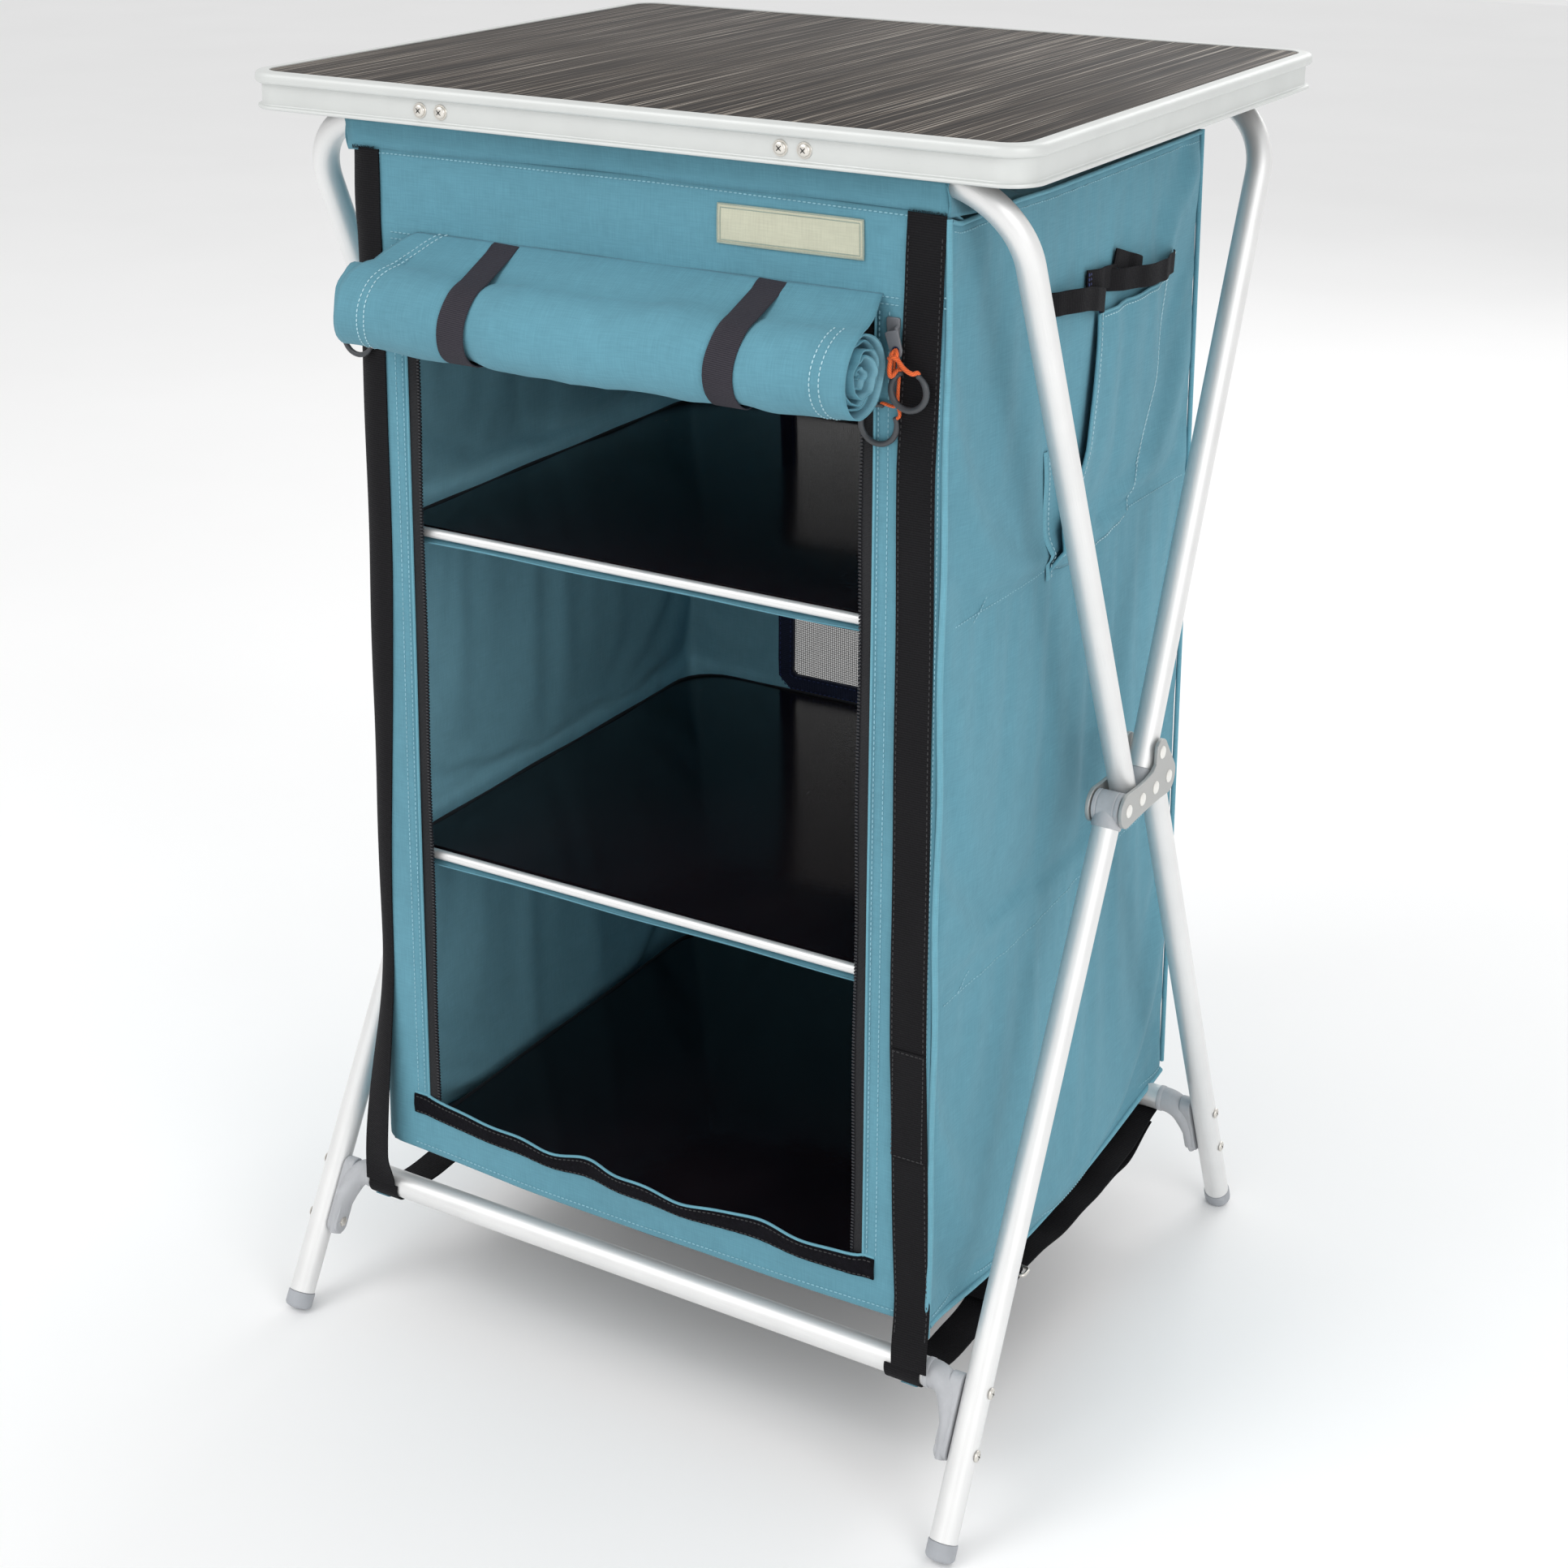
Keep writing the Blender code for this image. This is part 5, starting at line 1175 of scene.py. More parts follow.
# black floor cloth, sagging a little below the board
PANEL_LOW = [(-0.2075, 0.1372), (-0.10, 0.1330), (0.0136, 0.1311), (0.12, 0.1318), (0.2350, 0.1338)]
S = Shape()
rows, uvs = [], []
for i in range(41):
    y = lerp(FRONT + 0.002, BACK - 0.0006, i / 40)
    row, uvr = [], []
    for j in range(43):
        t = j / 42
        x = lerp(-half_width(y, -1) + 0.0008, half_width(y) - 0.0008, t)
        if y < FRONT + CORNER and x < 0:
            x = max(x, -(LEFT_F - CORNER) - math.sqrt(max(0.0, CORNER**2 - (FRONT + CORNER - y) ** 2)))
        ez = lerp(low_edge(y) + 0.0010, table(max(-0.2075, x), PANEL_LOW) - 0.0012, smooth(1 - (y - FRONT) / 0.060))
        sag = (math.sin(math.pi * t) ** 0.5) * 0.0020 * math.sin(math.pi * min(1, i / 40))
        rise = 0.010 * math.sin(math.pi * t) * (1 - abs(2 * i / 40 - 1) ** 3)
        row.append((x, y, ez + rise * 0.9 - sag * 0.6 + 0.0008 * math.sin(31 * x + 9 * y) * math.sin(math.pi * t)))
        uvr.append((x, y))
    rows.append(row)
    uvs.append(uvr)
S.grid(rows, uvs, flip=True)
floor_cloth = make(S, "bag_floor_cloth", BLACK_CLOTH, "cupboard", angle=0, replaces=["bag_floor"])
thicken(floor_cloth, 0.0010, 0.0)
crumple(floor_cloth)

# top cloth, rising from the seams towards the hoops
S = Shape()
rows, uvs = [], []
for i in range(53):
    y = lerp(FRONT + 0.0065, BACK - 0.0006, i / 52)
    row, uvr = [], []
    for j in range(59):
        t = j / 58
        x = lerp(-half_width(y, -1) + 0.0004, half_width(y) - 0.0004, t)
        if y < FRONT + CORNER:
            x = max(x, -(LEFT_F - CORNER) - math.sqrt(max(0.0, CORNER**2 - (FRONT + CORNER - y) ** 2)))
        edge = min(half_width(y) - abs(x), (BACK - y) * 1.0)
        front_gap = max(0.0, y - (FRONT + 0.0065))
        base = lerp(0.8945, high_edge(max(y, -0.2104)), smooth(front_gap / 0.02) if abs(x) > 0.20 else smooth(front_gap / 0.05))
        fold = 0.0016 * math.sin(70 * x + 25 * y) * smooth(edge / 0.03) + 0.0010 * math.sin(23 * y - 40 * x)
        dish = -0.0040 * math.sin(math.pi * t) * math.sin(math.pi * i / 52)
        row.append((x, y, base + (0.0085 * smooth(edge / 0.05) + fold + dish) * smooth(edge / 0.012)))
        uvr.append((x, y))
    rows.append(row)
    uvs.append(uvr)
S.grid(rows, uvs)
top_cloth = make(S, "bag_top_cloth", [BLUE, BLUE_INSIDE_PAINTED_LIGHT], "cupboard", angle=0, replaces=["bag_top"])
thicken(top_cloth, 0.0010, 0.0, 1)
top_cloth.modifiers["cloth thickness"].material_offset = 1
crumple(top_cloth)

# rear sleeve on the rear hoop: a skirt from the back's upper seam, and three wraps that leave the clips free
rear_top, front_top = hoop_top("rear"), hoop_top("front")
SEGMENTS = ((-0.2125, -0.1600), (-0.1160, 0.1160), (0.1600, 0.2125))


def profile_sheet(S, prof, x0, x1, n, wavy=0.0006, phase=0.0, mi=0, flip=False):
    lens = [0.0]
    for a, b in zip(prof, prof[1:]):
        lens.append(lens[-1] + math.hypot(a[0] - b[0], a[1] - b[1]))
    rows, uvs = [], []
    for i in range(n + 1):
        x = lerp(x0, x1, i / n)
        row = []
        for k, (y, z) in enumerate(prof):
            w = math.sin(math.pi * k / (len(prof) - 1))
            row.append((x, y + wavy * w * math.sin(47 * x + phase + 2.1 * k / len(prof)), z))
        rows.append(row)
        uvs.append([(x, l) for l in lens])
    S.grid(rows, uvs, mi=mi, flip=flip)


S = Shape()
skirt = [(0.2077, 0.8816), (0.2083, 0.8855), (0.2091, 0.8900), (0.2100, 0.8950), (0.2108, 0.8992)]
profile_sheet(S, skirt, -0.2240, 0.2240, 56, 0.0005, flip=True)
ty, tz = rear_top.y, rear_top.z
wrap = [(0.2108, 0.8988)] + [(ty + 0.0109 * math.cos(math.radians(a)), tz + 0.0109 * math.sin(math.radians(a))) for a in range(205, -66, -15)] + [(0.2160, 0.8975), (0.2116, 0.8965)]
for x0, x1 in SEGMENTS:
    profile_sheet(S, wrap, x0, x1, max(6, round((x1 - x0) / 0.008)), 0.0003, 1.0, flip=True)
rear_sleeve = make(S, "rear_sleeve", [BLUE, BLUE_INSIDE_PAINTED_LIGHT], "cupboard", angle=0)
thicken(rear_sleeve, 0.0010, 0.0)

# ---------------------------------------------------------------- front panel


def opening_low(x):
    return lerp(0.1822, 0.1722, (x - HOLE_L) / (HOLE_R - HOLE_L))


def lip_shape(x, w):
    """How far the loose lip leans out and drops; w is 0 at the panel's lower edge and 1 at the lip's upper edge."""
    t = min(1.0, max(0.0, (x - HOLE_L) / (HOLE_R - HOLE_L)))
    edge = math.sin(math.pi * t) ** 0.55 if 0 < t < 1 else 0.0
    reach = 0.0062 + 0.0036 * math.sin(math.tau * x / 0.150 + 0.9) + 0.0018 * math.sin(math.tau * x / 0.067 + 2.0)
    drop = -0.0045 + 0.0030 * math.sin(math.tau * x / 0.125 + 2.2) + 0.0012 * math.sin(math.tau * x / 0.052)
    return -reach * edge * w**1.35, drop * edge * w * w


def panel_point(x, z, proud=0.0):
    """A point on the front panel, x measured along the cloth, round the soft left corner."""
    zl = table(max(-0.2075, x), PANEL_LOW)
    ol = opening_low(min(HOLE_R, max(HOLE_L, x)))
    dy = dz = 0.0
    if z < ol + 0.02:
        w = min(1.0, max(0.0, (z - zl) / (ol - zl)))
        dy, dz = lip_shape(x, w)
    soft = 0.0007 * math.sin(29 * x + 3 * z) * math.sin(11 * z + 2 * x + 0.7)
    if z > OPEN_HIGH:
        k = math.sin(math.pi * min(1.0, (z - OPEN_HIGH) / 0.064))
        soft += -0.0011 * k * (0.6 + math.sin(19 * x + 1.0) + 0.5 * math.sin(53 * x + 60 * (z - OPEN_HIGH)))
    y = FRONT + dy + soft - proud
    z = z + dz
    flat_left = -(LEFT_F - CORNER)
    if x < flat_left:
        a = min((flat_left - x) / CORNER, math.pi / 2)
        over = max(0.0, (flat_left - x) - CORNER * math.pi / 2)
        r = CORNER + proud - dy * 0 - soft * math.cos(a)
        return Vector((flat_left - r * math.sin(a), FRONT + CORNER - r * math.cos(a) + over + dy, z))
    return Vector((x, y, z))


ARC_END = -(LEFT_F - CORNER) - CORNER * math.pi / 2
xs = span(HALF_F, HOLE_R, 8) + span(HOLE_R, HOLE_L, 62)[1:] + span(HOLE_L, -(LEFT_F - CORNER), 4)[1:] + span(-(LEFT_F - CORNER), ARC_END, 8)[1:]
j0, j1 = 8, 70
rows, uvs = [], []
under = [(0.0150, -0.0016), (0.0080, -0.0020), (0.0030, -0.0018), (0.0008, -0.0010)]
for dy, dz in under:
    row = []
    for x in xs:
        p = panel_point(x, table(max(-0.2075, x), PANEL_LOW))
        inward = Vector((0, 1, 0)) if x > -(LEFT_F - CORNER) else Vector((math.sin(min(1.57, (-(LEFT_F - CORNER) - x) / CORNER)), math.cos(min(1.57, (-(LEFT_F - CORNER) - x) / CORNER)), 0))
        row.append(p + inward * dy + Vector((0, 0, dz)))
    rows.append(row)
fr = span(0, 1, 12)
for w in fr:
    rows.append([panel_point(x, lerp(table(max(-0.2075, x), PANEL_LOW), opening_low(min(HOLE_R, max(HOLE_L, x))), w)) for x in xs])
i0 = len(rows) - 1
for w in span(0, 1, 92)[1:]:
    rows.append([panel_point(x, lerp(opening_low(min(HOLE_R, max(HOLE_L, x))), OPEN_HIGH, w)) for x in xs])
i1 = len(rows) - 1
top_z = lambda x: table(x, [(-0.2428, 0.8915), (-0.194, 0.8943), (0.020, 0.8954), (0.214, 0.8930), (0.2350, 0.8915)])
for w in span(0, 1, 11)[1:]:
    rows.append([panel_point(x, lerp(OPEN_HIGH, top_z(x), w)) for x in xs])
uvs = [[(x, r[k].z) for k, x in enumerate(xs)] for r in rows]
S = Shape()
S.grid(rows, uvs, skip=lambda i, j: i0 <= i < i1 and j0 <= j < j1, flip=True)
used = sorted({i for f in S.f for i in f})
remap = {a: b for b, a in enumerate(used)}
S.v = [S.v[a] for a in used]
S.f = [tuple(remap[i] for i in f) for f in S.f]
panel = make(S, "front_cloth", [BLUE, BLUE_INSIDE_PAINTED_LIGHT], "bag_front", angle=0, replaces=["front_panel"])
thicken(panel, 0.0012, 0.0)
panel.modifiers["cloth thickness"].material_offset = 1

# front sleeve: the header goes on above its seam and wraps the front hoop between the clips
S = Shape()
ty, tz = front_top.y, front_top.z
rows, uvs = [], []
for i, x in enumerate(span(-0.2262, 0.2352, 62)):
    zb = top_z(x) - 0.0012
    k = 0.0009 * math.sin(31 * x + 0.4) + 0.0005 * math.sin(83 * x)
    lean = smooth((abs(x) - 0.205) / 0.03)
    row = [(x, -0.2263, zb), (x, -0.2270 + k * 0.3, lerp(zb, 0.9170, 0.25)), (x, -0.2277 + k, lerp(zb, 0.9170, 0.5)), (x, -0.2284 + k, lerp(zb, 0.9170, 0.75)), (x + (0.001 if x > 0 else -0.001) * lean, -0.2287 + k * 0.6, 0.9170 - 0.004 * lean)]
    rows.append(row)
    uvs.append([(x, p[2]) for p in row])
S.grid(rows, uvs, flip=False)
wrap = [(-0.2283, 0.9160), (-0.2262, 0.9195)] + [(ty + 0.0109 * math.cos(math.radians(a)), tz + 0.0109 * math.sin(math.radians(a))) for a in range(135, -46, -15)] + [(-0.2060, 0.9010), (-0.2085, 0.8960)]
for x0, x1 in SEGMENTS:
    profile_sheet(S, wrap, x0, x1, max(6, round((x1 - x0) / 0.008)), 0.0003, 0.4)
front_sleeve = make(S, "front_sleeve", [BLUE, BLUE_INSIDE_PAINTED_LIGHT], "bag_front", angle=0)
thicken(front_sleeve, 0.0010, 0.0, 0)

# folded corner of the sleeve at the right, where header, side and top meet; a gusset towards the side's upper seam
S = Shape()
for side in (1.0, -1.0):
    hwf = HALF_F if side > 0 else LEFT_F - 0.004
    a0 = Vector((side * hwf, FRONT + (0.0 if side > 0 else 0.004), 0.8908))
    b0 = Vector((side * (hwf - 0.0005), -0.2285, 0.9128))
    rows, uvs = [], []
    for i in range(15):
        t = i / 14
        low = Vector((side * (half_width(lerp(FRONT, -0.105, t), side) - 0.0004 - 0.0012 * t), lerp(a0.y, -0.105, t), lerp(a0.z, high_edge(-0.105) - 0.0002, min(1, t * 1.6))))
        high = Vector((side * lerp(hwf - 0.0005, 0.190, t**0.8), lerp(-0.2285, -0.105, t), lerp(0.9120, 0.8935, t**0.75)))
        row = []
        for k in range(6):
            s = k / 5
            p = low.lerp(high, s)
            pleat = 0.0022 * math.sin(math.pi * s) * math.sin(9 * t + 1.2)
            row.append(p + Vector((side * pleat, 0, -pleat * 0.4)))
        rows.append(row)
        uvs.append([(r.y, r.z) for r in row])
    S.grid(rows, uvs, flip=side < 0)
gusset = make(S, "corner_gussets", [BLUE, BLUE_INSIDE_PAINTED_LIGHT], "cupboard", angle=0)
thicken(gusset, 0.0010, 0.0, 1)
crumple(gusset)

# front seams: piping at the right corner, bindings round the opening
S = Shape()
sweep(S, [Vector((0.2368 + 0.0007 * math.sin(z * 40), FRONT - 0.0002 + 0.0004 * math.sin(z * 27), z)) for z in span(0.126, 0.8905, 150)], circle(0.0021, 12))
for z0, z1 in ((opening_low(HOLE_R) - 0.002, OPEN_HIGH),):
    sweep(S, [panel_point(HOLE_R, z) + Vector((0.0, -0.0002, 0)) for z in span(z0, z1, 100)], circle(0.0011, 8))
sweep(S, [panel_point(HOLE_L, z) + Vector((0.0, -0.0002, 0)) for z in span(opening_low(HOLE_L) - 0.002, OPEN_HIGH, 100)], circle(0.0011, 8))
seams_f = make(S, "front_seams", BLUE_EDGE, "bag_front")

# lip: hook-and-loop strip under a pale binding
LIP_X = span(-0.1943, 0.1957, 96)


def lip_point(x, below, proud):
    ol = opening_low(min(HOLE_R, max(HOLE_L, x)))
    return panel_point(x, ol - below, proud)


S = Shape()
sweep(S, [lip_point(x, -0.0004, 0.0003) for x in LIP_X], circle(0.0010, 10))
make(S, "lip_binding", BLUE_EDGE, "bag_front")
S = Shape()
rows, uvs = [], []
for x in LIP_X:
    t = (x - LIP_X[0]) / (LIP_X[-1] - LIP_X[0])
    row = []
    for k in range(9):
        s = k / 8
        puff = 0.0010 + 0.0007 * math.sin(math.pi * s) + 0.00015 * math.sin(900 * x + 5 * k)
        row.append(lip_point(x, 0.0008 + 0.0150 * s, puff))
    rows.append(row)
    uvs.append([(x, 0.0150 * k / 8) for k in range(9)])
S.grid(rows, uvs)
strip = make(S, "lip_loop_tape", LOOP_TAPE, "bag_front", angle=0)
thicken(strip, 0.0012, 0.0)

# ---------------------------------------------------------------- stitching on the front
S = Shape()
F = (0, -1, 0)
z_lo_r, z_lo_l = opening_low(HOLE_R) + 0.002, opening_low(HOLE_L) + 0.002
for x, z0, z1 in ((HOLE_R + 0.0028, z_lo_r, 0.829), (HOLE_R + 0.0098, z_lo_r, 0.829), (HOLE_L - 0.0030, z_lo_l, 0.829), (HOLE_L - 0.0092, z_lo_l, 0.829), (HALF_F - 0.0028, 0.130, 0.888)):
    stitch(S, [panel_point(x, z, 0.0008) for z in span(z0, z1, 160)], F)
for z in (0.8375, 0.8330):
    stitch(S, [panel_point(x, z + 0.0006 * math.sin(14 * x), 0.0009) for x in span(-0.192, 0.203, 110)], F)
for dz in (-0.0030,):
    stitch(S, [panel_point(x, top_z(x) + dz, 0.0009) for x in span(-0.232, 0.232, 110)], F, radius=0.00048)
for zz in (0.8418, 0.8352):
    stitch(S, [Vector((x, FRONT - 0.0012, zz)) for x in span(0.2310, 0.2388, 4)], F, pitch=0.0026, length=0.0024, radius=0.00055)
stitch(S, [panel_point(x, table(max(-0.2075, x), PANEL_LOW) + 0.0045, 0.0009) for x in span(-0.195, 0.228, 110)], F)
make(S, "front_topstitching", THREAD, "bag_front")
S = Shape()
for below in (0.0022, 0.0140):
    stitch(S, [lip_point(x, below, 0.0024) for x in span(-0.1925, 0.1940, 120)], F)
make(S, "lip_stitching", BLACK_THREAD, "bag_front")

# ---------------------------------------------------------------- zips beside the opening
S = Shape()
T = Shape()
for edge, way in ((HOLE_R, -1.0), (HOLE_L, 1.0)):
    z0, z1 = opening_low(edge) - 0.004, OPEN_HIGH + 0.004
    zs = span(z0, z1, 120)
    rows, uvs = [], []
    for z in zs:
        wob = 0.0005 * math.sin(z * 33 + edge * 20)
        row = [Vector((edge - way * 0.0020 + way * (0.0115 + wob) * k / 6, FRONT + 0.0012 - 0.0004 * math.sin(math.pi * k / 6), z)) for k in range(7)]
        rows.append(row)
        uvs.append([(0.0115 * k / 6, z) for k in range(7)])
    S.grid(rows, uvs, flip=way > 0)
    z = z0 + 0.004
    while z < z1 - 0.004:
        c = Vector((edge + way * (0.0092 + 0.0005 * math.sin(z * 33 + edge * 20)), FRONT + 0.0004, z))
        base = len(T.v)
        hx, hy, hz = 0.00125, 0.0010, 0.00072
        for sz in (-1, 1):
            for sx, sy, k in ((-1, -0.7, 0.8), (1, -0.7, 0.8), (1, 1, 1), (-1, 1, 1)):
                T.v.append((c.x + sx * hx * k, c.y + sy * hy, c.z + sz * hz * (0.8 if sy < 0 else 1)))
        for q in ((3, 2, 1, 0), (4, 5, 6, 7), (0, 1, 5, 4), (1, 2, 6, 5), (2, 3, 7, 6), (3, 0, 4, 7)):
            T.face([base + i for i in q], None, 0)
        z += 0.0024
tape = make(S, "zip_tapes", TAPE, "bag_front", angle=0)
thicken(tape, 0.0007, 0.0)
make(T, "zip_teeth", TEETH, "bag_front")


# ---------------------------------------------------------------- webbing straps
def ribbon(S, pts, width, thick=0.0013, mi=0, side=(1, 0, 0), v0=0.0):
    """Webbing along a path, its width kept along one direction."""
    pts = [Vector(p) for p in pts]
    section = band(width, thick) if not isinstance(width, list) else None
    rows, vs = [], [v0]
    for i, p in enumerate(pts):
        a, b = pts[max(0, i - 1)], pts[min(len(pts) - 1, i + 1)]
        t = (b - a).normalized()
        sd = Vector(side[i] if isinstance(side, list) else side)
        sd = (sd - t * sd.dot(t)).normalized()
        n = t.cross(sd).normalized()
        sec = section or band(width[i], thick)
        rows.append([p + sd * a_ + n * b_ for a_, b_ in sec])
        if i:
            vs.append(vs[-1] + (p - pts[i - 1]).length)
    m = len(rows[0])
    sec = section or band(width[0], thick)
    us = [a_ + 0.05 for a_, b_ in sec] + [sec[0][0] + 0.05]
    base = S.grid(rows, [[(uu, v) for uu in us] for v in vs], wrap=True, mi=mi)
    S.face(list(range(base, base + m))[::-1], None, mi)
    e = base + (len(rows) - 1) * m
    S.face(list(range(e, e + m)), None, mi)


def bar_of(end):
    pivot, d = leg_line(end)
    return pivot + d * BAR_S[end]


fb, rb = bar_of("front"), bar_of("rear")
WEB = 0.0270


def fray(S, at, width, up, normal, mi=0, seed=1):
    """Short loose yarns at a cut strap end."""
    r = random.Random(seed)
    for i in range(26):
        x = lerp(-width / 2 + 0.0006, width / 2 - 0.0006, i / 25)
        h = r.uniform(0.0006, 0.0019)
        p = Vector(at) + Vector((x, 0, 0))
        sweep(S, [p - Vector(up) * 0.001, p + Vector(up) * h * 0.6 + Vector(normal) * r.uniform(-0.0002, 0.0004), p + Vector(up) * h + Vector((r.uniform(-0.0006, 0.0006), 0, 0)) + Vector(normal) * r.uniform(-0.0004, 0.0006)], circle(0.00022, 5), mi=mi)


# right strap: flat; left strap: partly round the soft corner
S = Shape()


def strap_r(z):
    return table(z, [(0.100, 0.2272), (0.20, 0.2232), (0.33, 0.2192), (0.73, 0.2170), (0.892, 0.2222)])


tz0 = top_z(0.2222) + 0.0002
zr = span(tz0, 0.150, 110)
pts = [Vector((strap_r(z), panel_point(0.2172, z).y - 0.0017 - 0.0004 * math.sin(38 * z), z)) for z in zr]
end_y = fb.y - TUBE_R - 0.0014
pts += [Vector((strap_r(z), lerp(FRONT - 0.0017, end_y, smooth((0.150 - z) / 0.046)), z)) for z in span(0.150, fb.z + 0.004, 12)[1:]]
ribbon(S, pts, WEB)
ribbon(S, [Vector((strap_r(z) + 0.0004, FRONT - 0.0032, z)) for z in span(0.334, 0.255, 14)], WEB - 0.0008)
fray(S, (strap_r(0.892), FRONT - 0.0018, tz0), WEB, (0, 0, 1), (0, -1, 0), seed=3)
make(S, "front_strap_r", BLACK_WEB, "bag_front", replaces=["front_strap_right"])
S = Shape()
XL = -0.1990


def left_strap_point(s, z, proud=0.0015):
    return panel_point(XL - 0.0105 * smooth((0.62 - z) / 0.34) - s, z, proud)


rows, uvs = [], []
zl = span(top_z(-0.21) + 0.0002, 0.150, 110) + span(0.150, fb.z + 0.004, 12)[1:]
for z in zl:
    k = smooth((0.300 - z) / 0.185)
    turn = 0.0073 * smooth((z - fb.z - 0.004) / 0.030)
    out, inn = [], []
    for i in range(13):
        s = WEB * i / 12
        a = left_strap_point(s, max(z, 0.15), 0.0021 + 0.0003 * math.sin(38 * z))
        b = left_strap_point(s, max(z, 0.15), 0.0008 + 0.0003 * math.sin(38 * z))
        flat_a = Vector((-0.2102 - s * 0.97, end_y - 0.0006 - turn * (1 - i / 12), z))
        flat_b = Vector((-0.2102 - s * 0.97, end_y + 0.0007 - turn * (1 - i / 12), z))
        a.z = b.z = z
        out.append(a.lerp(flat_a, k))
        inn.append(b.lerp(flat_b, k))
    rows.append(out + inn[::-1])
    uvs.append([(WEB * i / 12, -z) for i in range(13)] + [(WEB * i / 12, -z) for i in range(12, -1, -1)] + [(0, -z)])
base = S.grid(rows, uvs, wrap=True, flip=False)
S.face(list(range(base, base + 26))[::-1])
S.face(list(range(base + (len(rows) - 1) * 26, base + len(rows) * 26)))
fray(S, (-0.2120, FRONT - 0.0018, zl[0]), WEB * 0.72, (0, 0, 1), (0, -1, 0), seed=5)
make(S, "front_strap_l", BLACK_WEB, "bag_front", replaces=["front_strap_left"])
S = Shape()
for dx in (-0.0115, 0.0115):
    stitch(S, [p + Vector((dx, -0.0008, 0)) for p in pts[2:-6]], F, pitch=0.0040)
for z in (0.3325, 0.2565):
    stitch(S, [Vector((strap_r(z) + x, FRONT - 0.0040, z)) for x in span(-0.0115, 0.0115, 6)], F, pitch=0.0034)
for sgn in (-1, 1):
    stitch(S, [Vector((strap_r(0.3) + sgn * 0.0112, FRONT - 0.0040, z)) for z in span(0.256, 0.333, 12)], F, pitch=0.0034)
stitch(S, [Vector((strap_r(0.9) + x, FRONT - 0.0026, tz0 - 0.006)) for x in span(-0.0115, 0.0115, 6)], F, pitch=0.0034)
make(S, "front_strap_stitching", BLACK_THREAD, "bag_front")

# straps round the cross bars and under the bag; the front one carries the rectangular ring
RING_Y, RING_Z = -0.0700, 0.0880


def around(c, r, a0, a1, n, x):
    return [Vector((x, c.y + r * math.cos(math.radians(a)), c.z + r * math.sin(math.radians(a)))) for a in span(a0, a1, n)]


for name, side in SIDES:
    x = side * 0.2215
    r = TUBE_R + 0.0011
    S = Shape()
    run = around(fb, r, 160, 270, 18, x)
    a, b = run[-1], Vector((x, RING_Y - 0.0035, RING_Z - 0.0008))
    for t in span(0, 1, 26)[1:]:
        p = a.lerp(b, t)
        p.z -= 0.0060 * math.sin(math.pi * t) * (0.6 if side < 0 else 1.0) - 0.0006 * math.sin(17 * t)
        p.x += 0.0022 * math.sin(math.pi * t) * side
        run.append(p)
    ribbon(S, run, WEB)
    # back layer of the loop through the ring
    back = [Vector((x, RING_Y - 0.0035, RING_Z - 0.0008)), Vector((x, RING_Y - 0.0010, RING_Z + 0.0002)), Vector((x, RING_Y - 0.0004, RING_Z + 0.0016)), Vector((x, RING_Y - 0.0030, RING_Z + 0.0026)), Vector((x, RING_Y - 0.0200, RING_Z + 0.0014)), Vector((x, RING_Y - 0.0480, RING_Z + 0.0002))]
    ribbon(S, back, WEB - 0.001, 0.0011)
    # rectangular wire ring
    loop = [Vector((x + px, RING_Y - 0.0030 + py, RING_Z + pz)) for (px, py), pz in zip(rounded_rectangle(-0.0165, -0.0042, 0.0165, 0.0062, [0.003] * 4, 6), [0.0] * 60)]
    sweep(S, loop, circle(0.0013, 12), closed=True, mi=1)
    # pale tag sewn in at the bar
    tagp = around(fb, r + 0.0012, 232, 268, 6, x + 0.004 * side)
    ribbon(S, tagp, 0.0120, 0.0008, mi=2)
    make(S, f"belly_strap_front_{name}_web", [BLACK_WEB, STEEL, BLUE_TAPE], "front_belly_straps", replaces=[f"belly_strap_front_{name}"])
    S = Shape()
    run = around(rb, r, 6, -90, 16, x)
    a, b = run[-1], Vector((x, RING_Y + 0.0050, RING_Z + 0.0004))
    for t in span(0, 1, 40)[1:]:
        p = a.lerp(b, t)
        p.z -= 0.0085 * math.sin(math.pi * t) - 0.0009 * math.sin(23 * t)
        p.x += 0.0030 * math.sin(math.pi * t) * side
        run.append(p)
    ribbon(S, run, WEB)
    # loose tail folded back near the bar
    tail = [Vector((x + side * 0.001, lerp(0.080, 0.168, t), RING_Z - 0.0025 - 0.0115 * math.sin(math.pi * min(1, 0.25 + t * 0.5)) + 0.0095 * t * t + 0.0015 * math.sin(9 * t))) for t in span(0, 1, 18)]
    ribbon(S, tail, WEB - 0.001, 0.0012)
    lock = [Vector((x, lerp(0.062, 0.090, t), RING_Z - 0.0095)) for t in span(0, 1, 5)]
    ribbon(S, [Vector((x, p.y, p.z + 0.0002)) for p in lock], WEB + 0.001, 0.0042, mi=0)
    make(S, f"belly_strap_rear_{name}_web", BLACK_WEB, "rear_belly_straps", replaces=[f"belly_strap_rear_{name}"])

